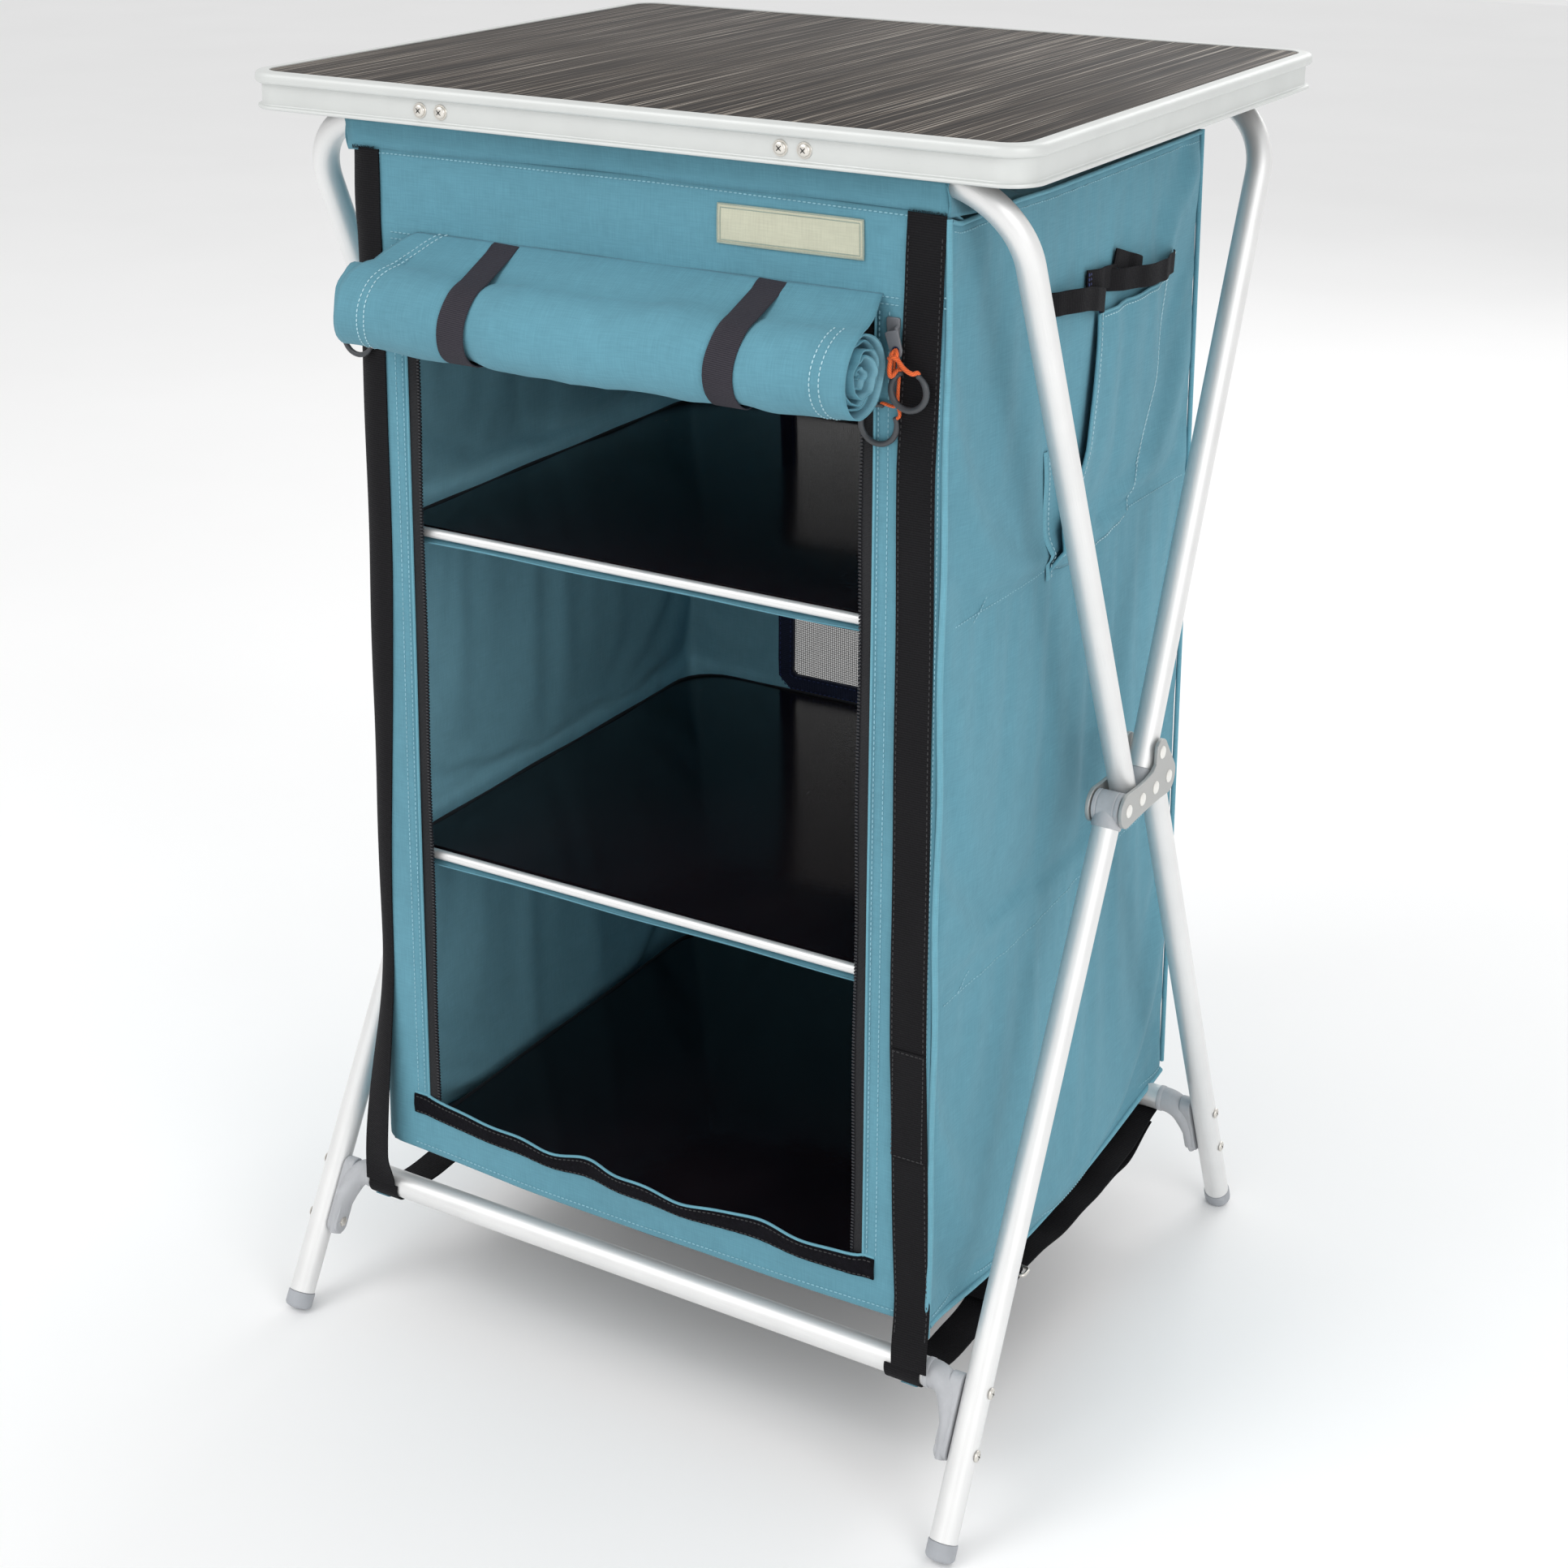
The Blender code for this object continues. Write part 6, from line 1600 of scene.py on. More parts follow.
# two straps down the back
S = Shape()
T = Shape()
for name, side in SIDES:
    x = side * 0.2085
    pts = [on_back(x, z, 0.0022) for z in span(0.8830, 0.1185, 100)]
    # the webbing lies on the highest places of the cloth under it and bridges the hollows
    high = [max(on_back(x + e, p.z, 0.0022).y for e in (-0.0120, -0.0080, -0.0040, 0.0, 0.0040, 0.0080, 0.0120)) for p in pts]
    crest = [max(high[max(0, i - 3):i + 4]) for i in range(len(high))]
    for i, p in enumerate(pts):
        near = crest[max(0, i - 4):i + 5]
        p.y = max(high[i], sum(near) / len(near))
    last = pts[-1]
    ey = rb.y + TUBE_R + 0.0015
    pts += [last.lerp(Vector((x, ey, rb.z + 0.0046)), t) for t in (0.35, 0.7, 1.0)]
    ribbon(S, pts, 0.0250)
    for dx in (-0.0105, 0.0105):
        stitch(T, [p + Vector((dx, 0.0009, 0)) for p in pts[:-4]], (0, 1, 0), pitch=0.0042)
rs = make(S, "back_straps", BLACK_WEB, "cupboard")
crumple(rs)
rt = make(T, "back_strap_stitching", BLACK_THREAD, "cupboard")
crumple(rt)

# ---------------------------------------------------------------- mesh window and its binding
S = Shape()
rows, uvs = [], []
for i in range(53):
    z = lerp(WIN_LOW - 0.002, WIN_HIGH + 0.002, i / 52)
    row = []
    for j in range(33):
        x = lerp(-WIN - 0.002, WIN + 0.002, j / 32)
        w = math.sin(math.pi * i / 52) * math.sin(math.pi * j / 32)
        row.append((x, BACK - 0.0008 + w * (0.0035 * math.sin(26 * x + 4 * z) + 0.0020 * math.sin(60 * x - 9 * z + 1)), z))
    rows.append(row)
    uvs.append([(r[0], r[2]) for r in row])
S.grid(rows, uvs)
win = make(S, "mesh_sheet", NET, "cupboard", angle=0, replaces=["mesh_window"])
crumple(win)
S = Shape()
T = Shape()
ring = [Vector((x, BACK, z)) for x, z in rounded_rectangle(-WIN, WIN_LOW, WIN, WIN_HIGH, [0.007] * 4, 8)]
dense = resample(ring + [ring[0]], 0.012)
sweep(S, dense[:-1], band(0.0150, 0.0046), up=(0, 1, 0), closed=True)
binding = make(S, "window_binding", NAVY_WEB, "cupboard")
crumple(binding)
for dy in (0.0026, -0.0026):
    for g in (0.0050, -0.0050):
        path = [Vector((x, BACK + dy, z)) for x, z in rounded_rectangle(-WIN - g, WIN_LOW - g, WIN + g, WIN_HIGH + g, [0.007 + g] * 4, 8)]
        stitch(T, path + [path[0]], (0, 1 if dy > 0 else -1, 0), pitch=0.0044)
ws = make(T, "window_stitching", NAVY_THREAD, "cupboard")
crumple(ws)

# ---------------------------------------------------------------- shelves
for kind, top in SHELF_TOPS.items():
    body = "floor_board" if kind == "floor" else f"{kind}_shelf"
    S = Shape()
    plan = rounded_rectangle(-SHELF_HALF, SHELF_FRONT, SHELF_HALF, SHELF_BACK, [0.002, 0.002, SHELF_R, SHELF_R], 14)
    slab(S, plan, 0.0016, xy_frame(top - 0.0018), 0.0005, mi=0)
    slab(S, [(x * 0.9985, y) for x, y in plan], 0.0006, xy_frame(top - 0.0041), 0.0, mi=1)
    edge = [Vector((x, y, top - 0.0018)) for x, y in plan]
    n = 15
    start = Vector((SHELF_HALF, SHELF_FRONT + 0.002, top - 0.0018))
    sides = [p for p in edge if p.y > SHELF_FRONT + 0.0021]
    run = resample([start] + sides + [Vector((-SHELF_HALF, SHELF_FRONT + 0.002, top - 0.0018))], 0.01)
    sweep(S, [p + Vector((0.0004 * math.sin(31 * p.y), 0, 0.0003 * math.sin(57 * p.y + 40 * p.x))) for p in run], circle(0.0024, 12), mi=2)
    names = [body]
    if kind != "floor":
        # cloth sleeve that holds the rail: it hangs from the board's edge and shows below the rail
        prof = [(SHELF_FRONT + 0.010, top - 0.0050), (SHELF_FRONT, top - 0.0053), (-0.2140, top - 0.0068), (-0.2170, top - 0.0082), (-0.2196, top - 0.0086), (-0.2200, top - 0.0076)]
        half = 0.2040
        lens = [0.0]
        for a, b in zip(prof, prof[1:]):
            lens.append(lens[-1] + math.hypot(a[0] - b[0], a[1] - b[1]))
        rows, uvs = [], []
        for x in span(-half, half, 68):
            rows.append([(x, y, z - (0.0008 + 0.0006 * math.sin(38 * x + 5 * top)) * (k / 5)) for k, (y, z) in enumerate(prof)])
            uvs.append([(x, l) for l in lens])
        Q = Shape()
        Q.grid(rows, uvs, flip=False)
        sl = make(Q, f"{kind}_rail_sleeve", [BLUE], body, angle=0)
        thicken(sl, 0.0009, 0.0)
        names = [body]
    make(S, f"{kind}_panel", [BOARD, BLUE, BLACK_CLOTH], body, replaces=names)
    if kind != "floor":
        S = Shape()
        z = top - 0.0025
        sweep(S, [Vector((x, RAIL_Y, z)) for x in span(-RAIL_HALF, RAIL_HALF, 12)], circle(RAIL_R, 24))
        for sx in (-1, 1):
            lathe(S, [(0, 0.0), (RAIL_R * 0.9, 0.0), (RAIL_R * 1.03, -0.0008), (RAIL_R * 1.03, -0.006), (RAIL_R, -0.0065)], (sx * (RAIL_HALF + 0.0006), RAIL_Y, z), (sx, 0, 0), 24, 1)
        make(S, f"{kind}_rail_tube", [ALU, GRIP], body, replaces=[f"{kind}_rail"])
# stitching along the sleeves that hold the rails
for kind in ("upper", "middle"):
    top = SHELF_TOPS[kind]
    S = Shape()
    stitch(S, [Vector((x, -0.2135, top - 0.0064 - 0.0008 - 0.0006 * math.sin(38 * x + 5 * top))) for x in span(-0.200, 0.200, 90)], (0, 0, -1), pitch=0.0042)
    make(S, f"{kind}_sleeve_stitching", THREAD, f"{kind}_shelf")

# ---------------------------------------------------------------- rolled-up door
ROLL_X0, ROLL_X1 = -0.2040, 0.1955
ROLL_C = lambda x: (-0.2588 - 0.0006 * math.sin(14 * x), table(x, [(-0.21, 0.7936), (-0.115, 0.7915), (0.0, 0.7900), (0.095, 0.7918), (0.1955, 0.7962)]) + 0.0012 * math.sin(21 * x + 1))
TIES = (-0.0960, 0.1105)


def roll_scale(x, ang):
    """The roll's outer radius against its mean: pinched at the ties, a little slack and lumpy between them."""
    k = 1.0 + 0.020 * math.sin(24 * x + 0.6) + 0.016 * math.sin(51 * x + 2 * ang) + 0.012 * math.sin(2 * ang + 9 * x)
    for t in TIES:
        k -= 0.085 * bell(x, t, 0.014)
        k += 0.025 * bell(x, t - 0.036, 0.020) + 0.025 * bell(x, t + 0.036, 0.020)
    k += 0.024 * math.sin(170 * x + 2 * ang) * (bell(x, TIES[0], 0.032) + bell(x, TIES[1], 0.032))
    # diagonal folds where the cloth is drawn round the roll
    for pitch, lean, amp, at in ((17.0, 0.75, 0.040, 0.3), (29.0, -0.60, 0.026, 1.9), (43.0, 1.10, 0.018, 0.8)):
        k += amp * ((1 - abs(math.sin(pitch * x + lean * ang + at + 0.5 * math.sin(27 * x)))) ** 2.2 - 0.22)
    return k


TURNS, PITCH_R, R_OUT = 4.75, 0.0047, 0.0302
LEAD = [(-0.2274, 0.8392), (-0.2300, 0.8384), (-0.2335, 0.8366), (-0.2380, 0.8341), (-0.2430, 0.8311), (-0.2490, 0.8280)]


def left_edge(ang):
    """Where the door's left edge lies round the roll: it starts well inside the header and spirals outwards."""
    return table(ang, [(40, -0.1650), (88, -0.1800), (130, -0.1870), (180, -0.1905), (230, -0.1965), (275, -0.2035), (400, -0.1990), (520, -0.1960), (640, -0.2020), (900, -0.1970), (1400, -0.1950), (1900, -0.1900), (2600, -0.1880)])


def roll_section(x):
    cy, cz = ROLL_C(x)
    pts = []
    steps = int(TURNS * 36)
    spiral = []
    for i in range(steps + 1):
        ang = math.radians(88 + 10 * i)
        turn = i / 36
        r = R_OUT - PITCH_R * turn
        r *= roll_scale(x, ang) if turn < 1.2 else lerp(roll_scale(x, ang), 1.0, min(1, (turn - 1.2) / 1.5))
        oval = 1.0 + 0.035 * turn / TURNS * math.sin(2 * ang + 0.8)
        kink = (0.0015 * (abs(math.sin(2.5 * ang + 1.1 * turn)) - 0.64) + 0.0006 * math.sin(7 * ang + 2.2 * turn)) * min(1.0, turn) * min(1.0, 0.45 + turn / TURNS)
        spiral.append((cy + (r * oval + kink) * math.cos(ang), cz + (r / oval + kink) * math.sin(ang)))
    a = math.radians(88 + 10 * steps)
    core = [(0.55, 0.62), (0.30, 0.95), (-0.15, 0.80), (-0.62, 0.35), (-0.30, -0.10), (0.35, 0.05), (0.62, -0.35), (0.10, -0.60), (-0.50, -0.55)]
    rc = R_OUT - PITCH_R * TURNS
    base = math.atan2(spiral[-1][1] - cz, spiral[-1][0] - cy)
    fine = []
    for (p, q), (p2, q2) in zip(core, core[1:]):
        for t in (0, 0.34, 0.67):
            fine.append((lerp(p, p2, t), lerp(q, q2, t)))
    inner = [(cy + rc * 0.62 * (p * math.cos(base) - q * math.sin(base)), cz + rc * 0.62 * (p * math.sin(base) + q * math.cos(base))) for p, q in fine]
    lead = [(y + 0.0006 * math.sin(40 * x), z + 0.0010 * math.sin(26 * x + 1.3) * i / 6 - 0.0035 * sum(bell(x, t, 0.018) for t in TIES) * i / 6) for i, (y, z) in enumerate(LEAD)]
    return lead + spiral + inner


def door_piece():
    S = Shape()
    rows, uvs = [], []
    xs_ = span(ROLL_X0, ROLL_X1, 84)
    for i, x in enumerate(xs_):
        sec = roll_section(x)
        n = len(sec)
        row, l, uvr = [], 0.0, []
        for k, (y, z) in enumerate(sec):
            t = k / (n - 1)
            # layers end at slightly different places, and the lead is narrower than the roll
            end = smooth((abs(x - 0.5 * (ROLL_X0 + ROLL_X1)) / (0.5 * (ROLL_X1 - ROLL_X0)) - 0.80) / 0.20)
            shift = (0.0030 * math.sin(11 * t + 0.8) + 0.0014 * math.sin(37 * t)) * end
            narrow = (1 - smooth(k / 9)) * end * 0.006
            sgn = 1 if x > 0 else -1
            ang = 40 + 48 * k / len(LEAD) if k < len(LEAD) else 88 + 10 * (k - len(LEAD))
            draw = (left_edge(ang) - ROLL_X0) * math.exp(-(x - ROLL_X0) / 0.070)
            row.append((x + sgn * (shift * (1.0 if x > 0 else 0.5) - (narrow if x > 0 else 0.0)) + draw, y, z))
            if k:
                l += math.hypot(sec[k][0] - sec[k - 1][0], sec[k][1] - sec[k - 1][1])
            uvr.append((x, -l))
        rows.append(row)
        uvs.append(uvr)
    S.grid(rows, uvs)
    return S, rows, l


S, roll_rows, roll_len = door_piece()
roll = make(S, "rolled_door", [BLUE, BLUE_INSIDE_PAINTED_LIGHT], "bag_front", angle=0, replaces=["door_roll"])
thicken(roll, 0.0011, 0.0)
roll.modifiers["cloth thickness"].material_offset = 1

roll_tree = tree_of(roll)


def roll_surface(x, ang, proud):
    cy, cz = ROLL_C(x)
    d = Vector((0, math.cos(math.radians(ang)), math.sin(math.radians(ang))))
    src = Vector((x, cy + OFF, cz)) + d * 0.050
    hit = roll_tree.ray_cast(src, -d, 0.05)
    p = hit[0] if hit[0] is not None else Vector((x, cy + OFF, cz)) + d * R_OUT
    return Vector((x, p.y - OFF, p.z)) + d * proud, d


# hem stitching round the roll's ends, and the door's own upper stitch line
S = Shape()
for side, gap in (("l", 0.0180), ("l", 0.0235), ("r", 0.0190), ("r", 0.0125)):
    got = []
    if side == "l":
        got = [(Vector((left_edge(40 + 8 * k) + gap, LEAD[k][0], LEAD[k][1] + 0.0010)), Vector((0, -0.5, 0.86))) for k in range(6)]
    for a in span(96, 318, 70):
        x0 = left_edge(a) + gap if side == "l" else ROLL_X1 - gap + 0.0022 * math.sin(math.radians(a * 1.3))
        got.append(roll_surface(x0, a, 0.0008))
    stitch(S, [p for p, d in got], [d for p, d in got], radius=0.00045)
make(S, "door_stitching", WHITE_THREAD, "bag_front")

# ties: satin bands from the header's seam over the roll, their free ends at the bottom
for (name, side), x in zip(SIDES, TIES):
    S = Shape()
    pts = [Vector((x + 0.004, FRONT - 0.0022, 0.8388)), Vector((x + 0.0038, FRONT - 0.0052, 0.8376)), Vector((x + 0.0035, -0.2375, 0.8334))]
    for a in span(102, 292, 46):
        t = (a - 102) / 190
        p, d = roll_surface(x, a, 0.0012)
        edge = max((roll_surface(x + e, a, 0.0)[0] - Vector((x + e, *ROLL_C(x)))).length for e in (-0.011, 0.0, 0.011))
        c = Vector((x, *ROLL_C(x)))
        p = c + d * (edge + 0.0012)
        pts.append(p + Vector((lerp(0.003, -0.0050, t), 0, 0)))
    end = pts[-1]
    pts += [end + Vector((-0.0006, 0.0030, -0.0022)), end + Vector((-0.0010, 0.0052, -0.0058))]
    keep = [pts[0]]
    for p in pts[1:]:
        if (p - keep[-1]).length > 0.0012:
            keep.append(p)
    ribbon(S, keep, 0.0220, 0.0012)
    make(S, f"tie_{name}_band", PLUM_WEB, "bag_front", replaces=[f"door_tie_{name}"])

# ---------------------------------------------------------------- header patch, left bare
S = Shape()
px0, px1, pz0, pz1 = 0.0730, 0.1780, 0.8590, 0.8840
rows, uvs = [], []
for i in range(9):
    z = lerp(pz0, pz1, i / 8)
    row = [panel_point(x, z, 0.0013) for x in span(px0, px1, 28)]
    rows.append(row)
    uvs.append([(p.x, p.z) for p in row])
S.grid(rows, uvs, flip=True)
patch = make(S, "header_patch", PATCH, "bag_front", angle=0)
thicken(patch, 0.0010, 0.0)
S = Shape()
g = 0.0022
loop = []
for (xa, za), (xb, zb) in (((px0 + g, pz0 + g), (px1 - g, pz0 + g)), ((px1 - g, pz0 + g), (px1 - g, pz1 - g)), ((px1 - g, pz1 - g), (px0 + g, pz1 - g)), ((px0 + g, pz1 - g), (px0 + g, pz0 + g))):
    n = 30 if abs(xa - xb) > 0.05 else 8
    loop += [panel_point(lerp(xa, xb, i / n), lerp(za, zb, i / n), 0.0019) for i in range(n)]
sweep(S, loop, band(0.0007, 0.0004), up=(0, -1, 0), closed=True)
outer = []
for (xa, za), (xb, zb) in (((px0, pz0), (px1, pz0)), ((px1, pz0), (px1, pz1)), ((px1, pz1), (px0, pz1)), ((px0, pz1), (px0, pz0))):
    n = 30 if abs(xa - xb) > 0.05 else 8
    outer += [panel_point(lerp(xa, xb, i / n), lerp(za, zb, i / n), 0.0014) for i in range(n)]
sweep(S, outer, circle(0.00065, 8), closed=True)
make(S, "patch_edge", PATCH_LINE, "bag_front")

# ---------------------------------------------------------------- side pocket
POCKET = "cupboard"


def pocket_outline(s):
    """Left (free) and right (sewn) edge of the pocket at height share s, as (y, z)."""
    left = table(s, [(0.0, -0.0590), (0.30, -0.0300), (0.45, -0.0110), (1.0, 0.0136)])
    right = table(s, [(0.0, 0.0760), (0.04, 0.0840), (0.25, 0.1120), (0.6, 0.1390), (1.0, 0.1500)])
    return left, right


S = Shape()
rows, uvs = [], []
edge_pts = {"left": [], "right": [], "top": [], "bottom": []}
for i in range(41):
    s = i / 40
    left, right = pocket_outline(s)
    row = []
    for j in range(37):
        t = j / 36
        y = lerp(left, right, t)
        z_lo = 0.6200 - 0.0105 * math.sin(math.pi * min(1, t * 0.9 + 0.05)) * (1 - 0.35 * t)
        z = lerp(z_lo, 0.7825 + 0.002 * t, s)
        gape = 0.0060 * (1 - t) ** 2.2 * math.sin(math.pi * min(1.0, s * 0.80 + 0.12)) ** 0.8
        top_gape = 0.0040 * math.sin(math.pi * t) * smooth((s - 0.55) / 0.45)
        puff = 0.0022 * math.sin(math.pi * s) * math.sin(math.pi * t) + 0.0007 * math.sin(60 * y + 25 * z)
        hold = 0.0 if s < 0.01 else 1.0
        row.append(on_side(y, z, 1.0, 0.0016 + (gape + top_gape + puff) * hold))
    rows.append(row)
    uvs.append([(p.y + 0.3, p.z) for p in row])
S.grid(rows, uvs)
edge_pts = [r[0] for r in rows]
right_pts = [r[-1] for r in rows]
pocket = make(S, "utensil_pocket", [BLUE, BLUE_INSIDE_PAINTED_LIGHT], POCKET, angle=0, replaces=["side_pocket"])
thicken(pocket, 0.0011, 0.0)
pocket.modifiers["cloth thickness"].material_offset = 1
crumple(pocket)
# hem and bindings of the pocket, and the narrow sewn fold where its lower corner meets the side
S = Shape()
sweep(S, [p + Vector((0.0002, 0, 0)) for p in edge_pts], circle(0.0013, 8))
sweep(S, [p + Vector((0.0002, 0, 0)) for p in rows[-1]], circle(0.0011, 8))
fold = [on_side(lerp(-0.0660, -0.0605, t), lerp(0.7040, 0.6120, t), 1.0, 0.0012 + 0.0006 * math.sin(9 * t)) for t in span(0, 1, 24)]
rows2 = []
for p in fold:
    rows2.append([p + Vector((0.0002 * math.sin(k), k * 0.0012 - 0.0036, 0)) + Vector((0.0008 * math.sin(math.pi * k / 6), 0, 0)) for k in range(7)])
S.grid(rows2, [[(k * 0.0012, p.z) for k in range(7)] for p in fold], flip=False)
ph = make(S, "pocket_hem", BLUE_EDGE, POCKET)
crumple(ph)
S = Shape()
stitch(S, [p + Vector((0.0009, -0.0022, 0)) for p in right_pts[1:]], (1, 0, 0), radius=0.0005)
stitch(S, [r[round(36 * 0.985)] + Vector((0.0009, 0, 0)) for r in rows[8:]], (1, 0, 0))
stitch(S, [p + Vector((0.0009, 0, 0.0012)) for p in rows[0][1:]], (1, 0, 0))
stitch(S, [p + Vector((0.0012, 0.0035, 0)) for p in edge_pts[2:]], (1, 0, 0))
stitch(S, [p + Vector((0.0014, 0.0022, 0)) for p in fold], (1, 0, 0))
stitch(S, [p + Vector((0.0009, 0, -0.0030)) for p in rows[-1][2:]], (1, 0, 0))
ps = make(S, "pocket_stitching", WHITE_THREAD, POCKET)
crumple(ps)

# webbing loops over the pocket for hanging tools
S = Shape()
T = Shape()
N = Shape()


def loop_band(path, width, mi=0):
    pts = resample(path, 0.003)
    ribbon(S, pts, width, 0.0011, mi=mi, side=(0, 0.12, 1))


def side_at(y, z, proud):
    return on_side(y, z, 1.0, proud)


def arched(y0, z0, y1, z1, rise, drop=0.0, n=22, power=0.7):
    out = []
    for t in span(0, 1, n):
        p = side_at(lerp(y0, y1, t), lerp(z0, z1, t) + drop * math.sin(math.pi * t), 0.0028)
        out.append(p + Vector((rise * math.sin(math.pi * t) ** power, 0, 0)))
    return out


loop_band(arched(-0.0700, 0.8060, 0.0190, 0.7905, 0.0105, 0.0045), 0.0165)
loop_band(arched(-0.0140, 0.8110, 0.0400, 0.8060, 0.0030), 0.0160)
loop_band(arched(0.0230, 0.8050, 0.1530, 0.7955, 0.0120, -0.0015), 0.0160)
loop_band(arched(0.0375, 0.8185, 0.0900, 0.8030, 0.0024, 0.0), 0.0135)
loops = make(S, "tool_loops", BLACK_WEB, POCKET)
crumple(loops)
for (y, z), m in (((-0.0655, 0.8050), N), ((0.0160, 0.7900), N), ((-0.0110, 0.8108), N)):
    for dy in (-0.0016, 0.0018):
        stitch(m, [side_at(y + dy, z + dz, 0.0042) for dz in (-0.0070, -0.0035, 0.0, 0.0035, 0.0070)], (1, 0, 0), pitch=0.0034, radius=0.0007)
for (y, z) in ((0.1480, 0.7958), (0.0265, 0.8040)):
    stitch(T, [side_at(y, z + dz, 0.0046) for dz in (-0.0068, -0.0034, 0.0, 0.0034, 0.0068)], (1, 0, 0), pitch=0.0030, radius=0.0008)
b1 = make(N, "loop_bartacks_navy", NAVY_THREAD, POCKET)
crumple(b1)
b2 = make(T, "loop_bartacks_white", WHITE_THREAD, POCKET)
crumple(b2)

# ---------------------------------------------------------------- zip sliders and their pulls
PULL_X, PULL_Y, PULL_Z = 0.2035, -0.2345, 0.8065
INNER_Y, INNER_Z = -0.2299, 0.8050


def block(S, low, high, bevel, mi=0):
    bm = bmesh.new()
    bmesh.ops.create_cube(bm, size=1.0)
    for v in bm.verts:
        v.co = Vector([(lo + hi) / 2 + c * (hi - lo) for c, lo, hi in zip(v.co, low, high)])
    bmesh.ops.bevel(bm, geom=list(bm.edges), offset=bevel, segments=3, profile=0.6, affect="EDGES", clamp_overlap=True)
    me = bpy.data.meshes.new("block")
    bm.to_mesh(me)
    bm.free()
    S.mesh(me, None, mi)
    bpy.data.meshes.remove(me)


S = Shape()
sx, sz, fy = 0.2000, 0.8165, FRONT - 0.0003
shape = [(-0.0030, -0.0090), (0.0030, -0.0090), (0.0036, -0.0070), (0.0046, 0.0050), (0.0046, 0.0084), (0.0038, 0.0092), (-0.0038, 0.0092), (-0.0046, 0.0084), (-0.0046, 0.0050), (-0.0036, -0.0070)]
slab(S, [(sx + x, sz + z) for x, z in shape], 0.0013, xz_frame(fy - 0.0013), 0.0006, segments=3)
# bridge that carries the tab
sweep(S, [Vector((PULL_X, fy - 0.0018, PULL_Z + 0.0140)), Vector((PULL_X, fy - 0.0046, PULL_Z + 0.0128)), Vector((PULL_X, fy - 0.0058, PULL_Z + 0.0085)), Vector((PULL_X, fy - 0.0052, PULL_Z + 0.0045)), Vector((PULL_X, fy - 0.0020, PULL_Z + 0.0030))], circle(0.0014, 10))
make(S, "slider_right", TAB, "zip_slider", replaces=["zip_slider"])


def grip(S, centre, major, minor, gap_dir, gap, mi=0):
    """C-shaped moulded grip in a plane parallel to the front, open towards gap_dir (degrees), with knobbed ends."""
    c = Vector(centre)
    angs = span(gap_dir + gap / 2, gap_dir + 360 - gap / 2, 60)
    pts = [c + Vector((major * math.cos(math.radians(a)), 0, major * math.sin(math.radians(a)))) for a in angs]
    scale = [lerp(0.80, 1.0, smooth(min(i, 60 - i) / 8)) for i in range(61)]
    sweep(S, pts, circle(minor, 14), scale=scale, mi=mi)
    for p in (pts[0], pts[-1]):
        lathe(S, [(0, -minor * 0.9), (minor * 0.55, -minor * 0.75), (minor * 0.9, -minor * 0.2), (minor * 0.9, minor * 0.2), (minor * 0.55, minor * 0.75), (0, minor * 0.9)], p, (0, 1, 0), 12, mi)
    return pts[0], pts[-1]


def cord_line(S, pts, r, mi):
    pts = [Vector(p) for p in pts]
    dense = []
    n = len(pts)
    for i in range(n - 1):
        p0, p1, p2, p3 = pts[max(0, i - 1)], pts[i], pts[i + 1], pts[min(n - 1, i + 2)]
        for t in (0, 0.2, 0.4, 0.6, 0.8):
            dense.append(0.5 * ((2 * p1) + (p2 - p0) * t + (2 * p0 - 5 * p1 + 4 * p2 - p3) * t * t + (3 * p1 - p0 - 3 * p2 + p3) * t**3))
    dense.append(pts[-1])
    sweep(S, dense, circle(r, 10), mi=mi)


# outer pull: moulded tab with a hole, orange cord hitched through it, C grip below
S = Shape()
yb = PULL_Y
tab = [(-0.0040, 0.0118), (0.0030, 0.0132), (0.0062, 0.0005), (0.0056, -0.0030), (0.0030, -0.0046), (-0.0004, -0.0040), (-0.0020, -0.0015), (-0.0060, 0.0102)]
slab(S, [(PULL_X + x, PULL_Z + z) for x, z in tab], 0.0009, xz_frame(yb - 0.0002), 0.0005, mi=0, segments=3)
hole = Vector((PULL_X + 0.0022, yb - 0.0013, PULL_Z + 0.0006))
# a shallow navy dish fills the tab's hole: painted shade of the hole
lathe(S, [(0, 0.0), (0.0017, 0.0), (0.0020, 0.0002), (0.0021, 0.0004), (0.0024, 0.0004), (0.0024, -0.0005), (0, -0.0005)], hole, (0, -1, 0), 20, 3)
gc = (0.2145, PULL_Y - 0.0002, 0.7820)
g1, g2 = grip(S, gc, 0.0122, 0.0021, 88, 62, mi=1)
hitch = Vector((PULL_X + 0.0018, yb - 0.0030, PULL_Z - 0.0030))
cord_line(S, [hole + Vector((0, 0.0004, 0)), hole + Vector((-0.0016, -0.0022, -0.0022)), hitch + Vector((-0.0020, 0, -0.0014)), hitch + Vector((-0.0030, 0, -0.0090)), hitch + Vector((-0.0018, 0.0004, -0.0130)), g1 + Vector((-0.0012, 0.0002, 0.0022)), g1], 0.0015, 2)
cord_line(S, [hole + Vector((0, 0.0004, 0)), hole + Vector((0.0018, -0.0022, -0.0018)), hitch + Vector((0.0022, 0, -0.0010)), hitch + Vector((0.0072, 0, -0.0068)), hitch + Vector((0.0125, 0.0004, -0.0095)), g2 + Vector((-0.0008, 0.0, 0.0022)), g2], 0.0015, 2)
cord_line(S, [hitch + Vector((-0.0030, -0.0008, -0.0016)), hitch + Vector((0, -0.0018, -0.0002)), hitch + Vector((0.0034, -0.0008, -0.0018))], 0.0014, 2)
make(S, "pull_outer", [TAB, GRIP, ORANGE, HOLE_SHADE], "zip_pull", replaces=["zip_pull"])
S = Shape()
gi = (0.1915, INNER_Y, 0.7566)
g1, g2 = grip(S, gi, 0.0126, 0.0019, 52, 58, mi=1)
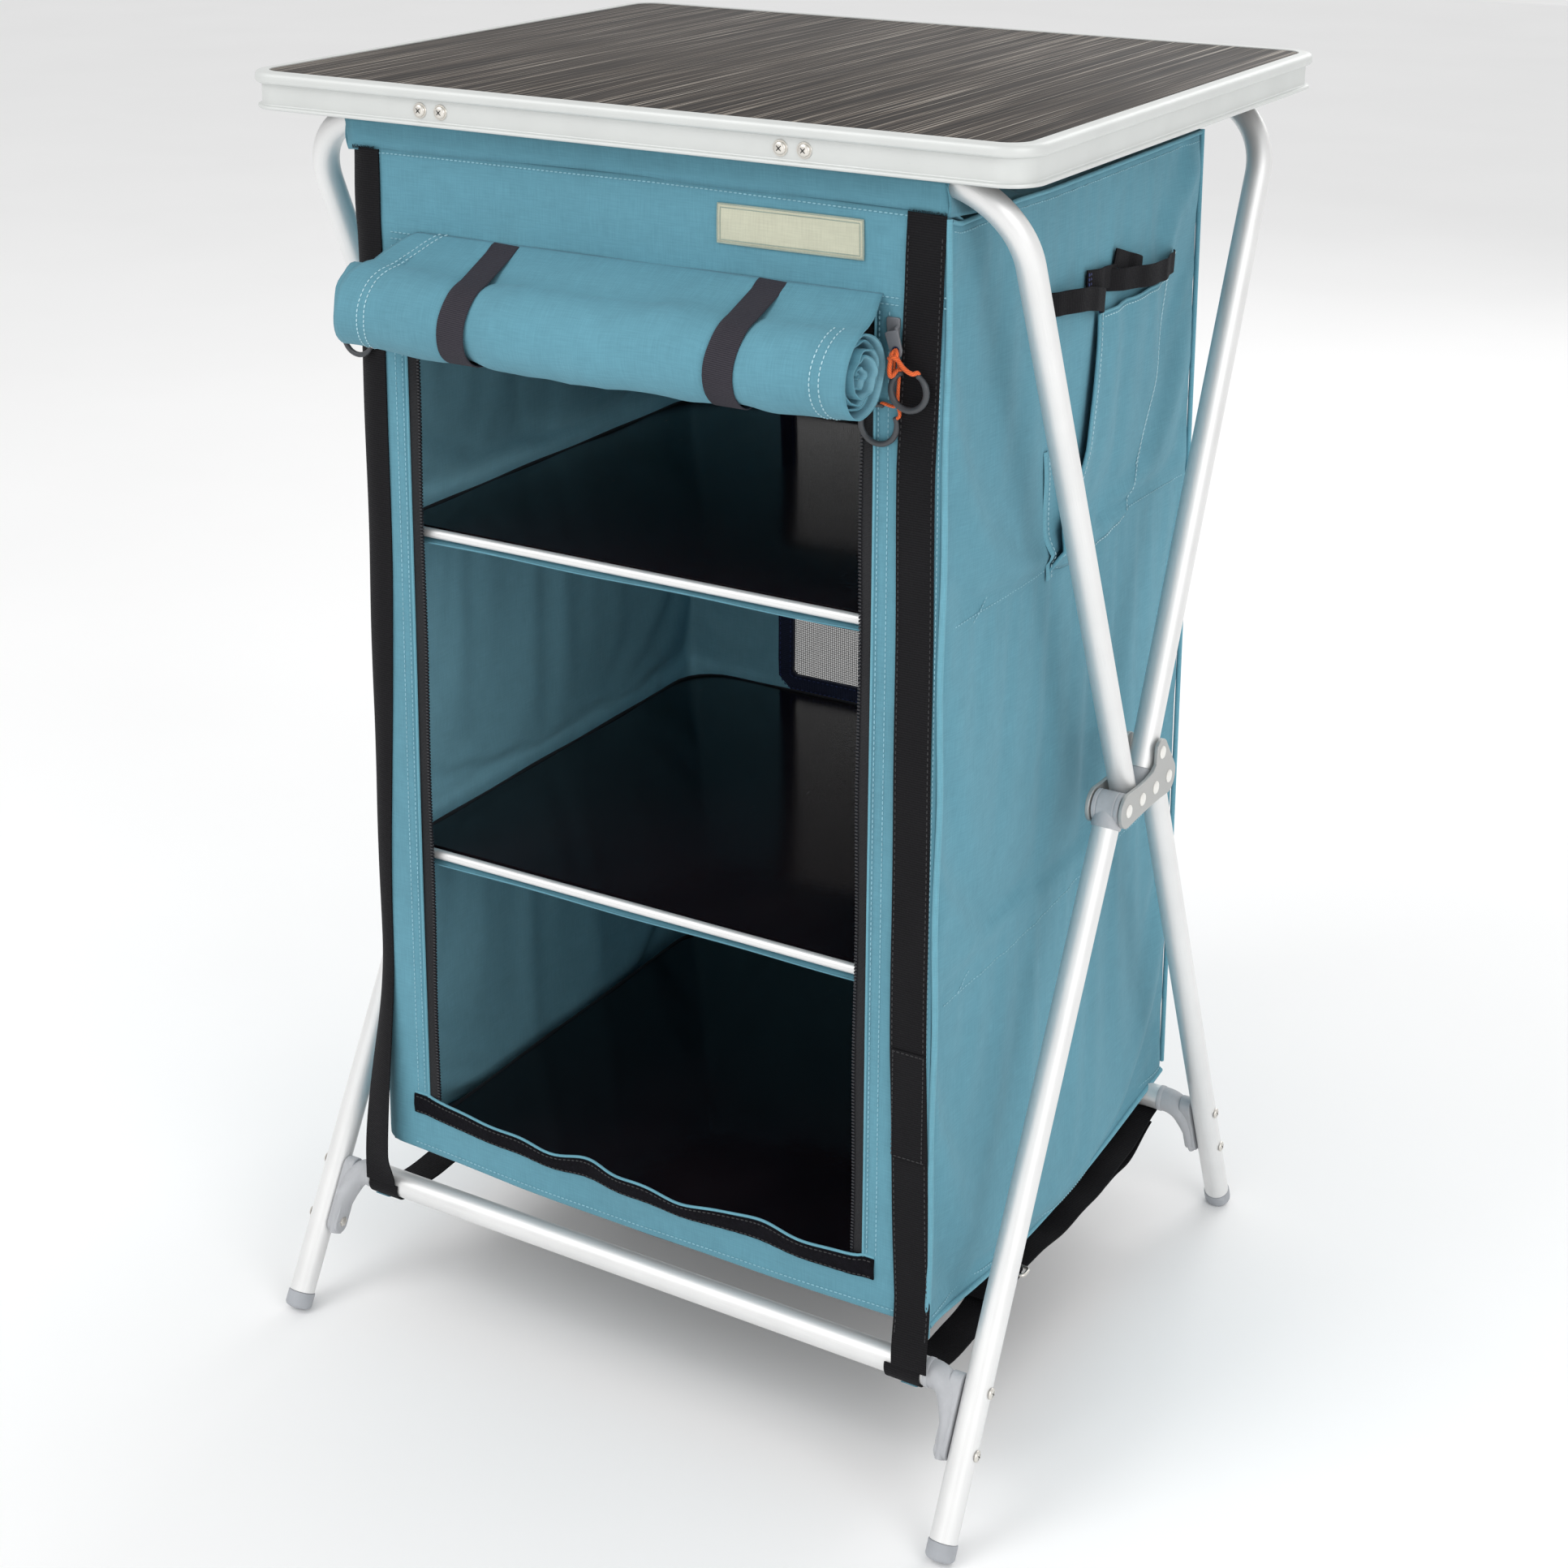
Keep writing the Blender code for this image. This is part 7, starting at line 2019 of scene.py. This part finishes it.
top_i = Vector((PULL_X, INNER_Y, INNER_Z))
cord_line(S, [top_i, Vector((PULL_X + 0.0016, INNER_Y, 0.7930)), Vector((PULL_X + 0.0012, INNER_Y, 0.7800)), Vector((PULL_X - 0.0002, INNER_Y, 0.7700)), g1 + Vector((0.0004, 0, 0.0016)), g1], 0.0011, 2)
cord_line(S, [top_i + Vector((-0.001, 0, -0.0005)), Vector((PULL_X - 0.0022, INNER_Y, 0.7930)), Vector((PULL_X - 0.0026, INNER_Y, 0.7800)), g2 + Vector((0.0030, 0, 0.0040)), g2], 0.0011, 2)
make(S, "pull_inner", [TAB, GRIP, ORANGE], "zip_pull_inner", replaces=["zip_pull_inner"])

# left-hand slider, under the roll, its pull lying on the strap
S = Shape()
lx, lz = -0.1935, 0.7620
slab(S, [(lx - x, lz + z * 0.95) for x, z in shape], 0.0013, xz_frame(fy - 0.0013), 0.0006, mi=0, segments=3)
gl = (-0.2205, INNER_Y - 0.0004, 0.7592)
g1, g2 = grip(S, gl, 0.0122, 0.0019, 0, 60, mi=1)
for dz, g_ in ((0.0011, g1), (-0.0011, g2)):
    cord_line(S, [Vector((lx, INNER_Y - 0.0006, 0.7610 + dz)), Vector((-0.1990, INNER_Y - 0.0010, 0.7608 + dz)), Vector((-0.2050, INNER_Y - 0.0006, 0.7600 + dz * 2)), g_], 0.0011, 2)
make(S, "slider_left_pull", [TAB, GRIP, ORANGE], "zip_slider_left", replaces=["zip_slider_left"])
# small pale tag between strap and opening, behind the pulls
S = Shape()
ribbon(S, [Vector((0.2012, FRONT - 0.0010 - 0.0010 * math.sin(math.pi * t), lerp(0.8100, 0.7745, t))) for t in span(0, 1, 14)], 0.0042, 0.0008)
make(S, "puller_tag", BLUE_TAPE, "bag_front")

# ---------------------------------------------------------------- stage and light
M = Mat("floor", (0.93, 0.93, 0.93), 0.75)
M.set(M.mix(M.fit(M.noise(M.scaled(M.obj(), (2, 2, 2)), 1.0, 3.0), 0.3, 0.7, 0, 1), (0.925, 0.925, 0.925), (0.945, 0.945, 0.945)), None, M.bump(M.noise(M.scaled(M.obj(), (90, 90, 90)), 1.0, 2.0), 0.03, 0.001))
me = bpy.data.meshes.new("floor")
me.from_pydata([(-9, -9, -0.0002), (9, -9, -0.0002), (9, 9, -0.0002), (-9, 9, -0.0002)], [], [(0, 1, 2, 3)])
me.materials.append(M.m)
floor = bpy.data.objects.new("floor", me)
bpy.context.scene.collection.objects.link(floor)


def area(name, at, to, size, power, colour=(1, 1, 1)):
    data = bpy.data.lights.new(name, "AREA")
    data.shape = "SQUARE"
    data.size = size
    data.energy = power
    data.color = colour
    o = bpy.data.objects.new(name, data)
    o.location = at
    o.rotation_euler = (Vector(to) - Vector(at)).to_track_quat("-Z", "Y").to_euler()
    bpy.context.scene.collection.objects.link(o)


area("key", (-1.5, -2.4, 3.1), (0, 0, 0.5), 1.8, 40)
area("fill", (2.6, -1.4, 1.7), (0, 0, 0.5), 1.8, 26)
area("front", (0.3, -3.2, 0.9), (0, 0, 0.4), 1.6, 6.5)
area("rim", (0.4, 2.8, 2.4), (0, 0, 0.6), 2.0, 30)
world = bpy.data.worlds.new("studio")
bpy.context.scene.world = world
world.use_nodes = True
world.node_tree.nodes["Background"].inputs["Color"].default_value = (1.0, 1.0, 1.0, 1.0)
world.node_tree.nodes["Background"].inputs["Strength"].default_value = 0.80
bpy.context.scene.view_settings.view_transform = "Standard"
bpy.context.scene.view_settings.look = "None"
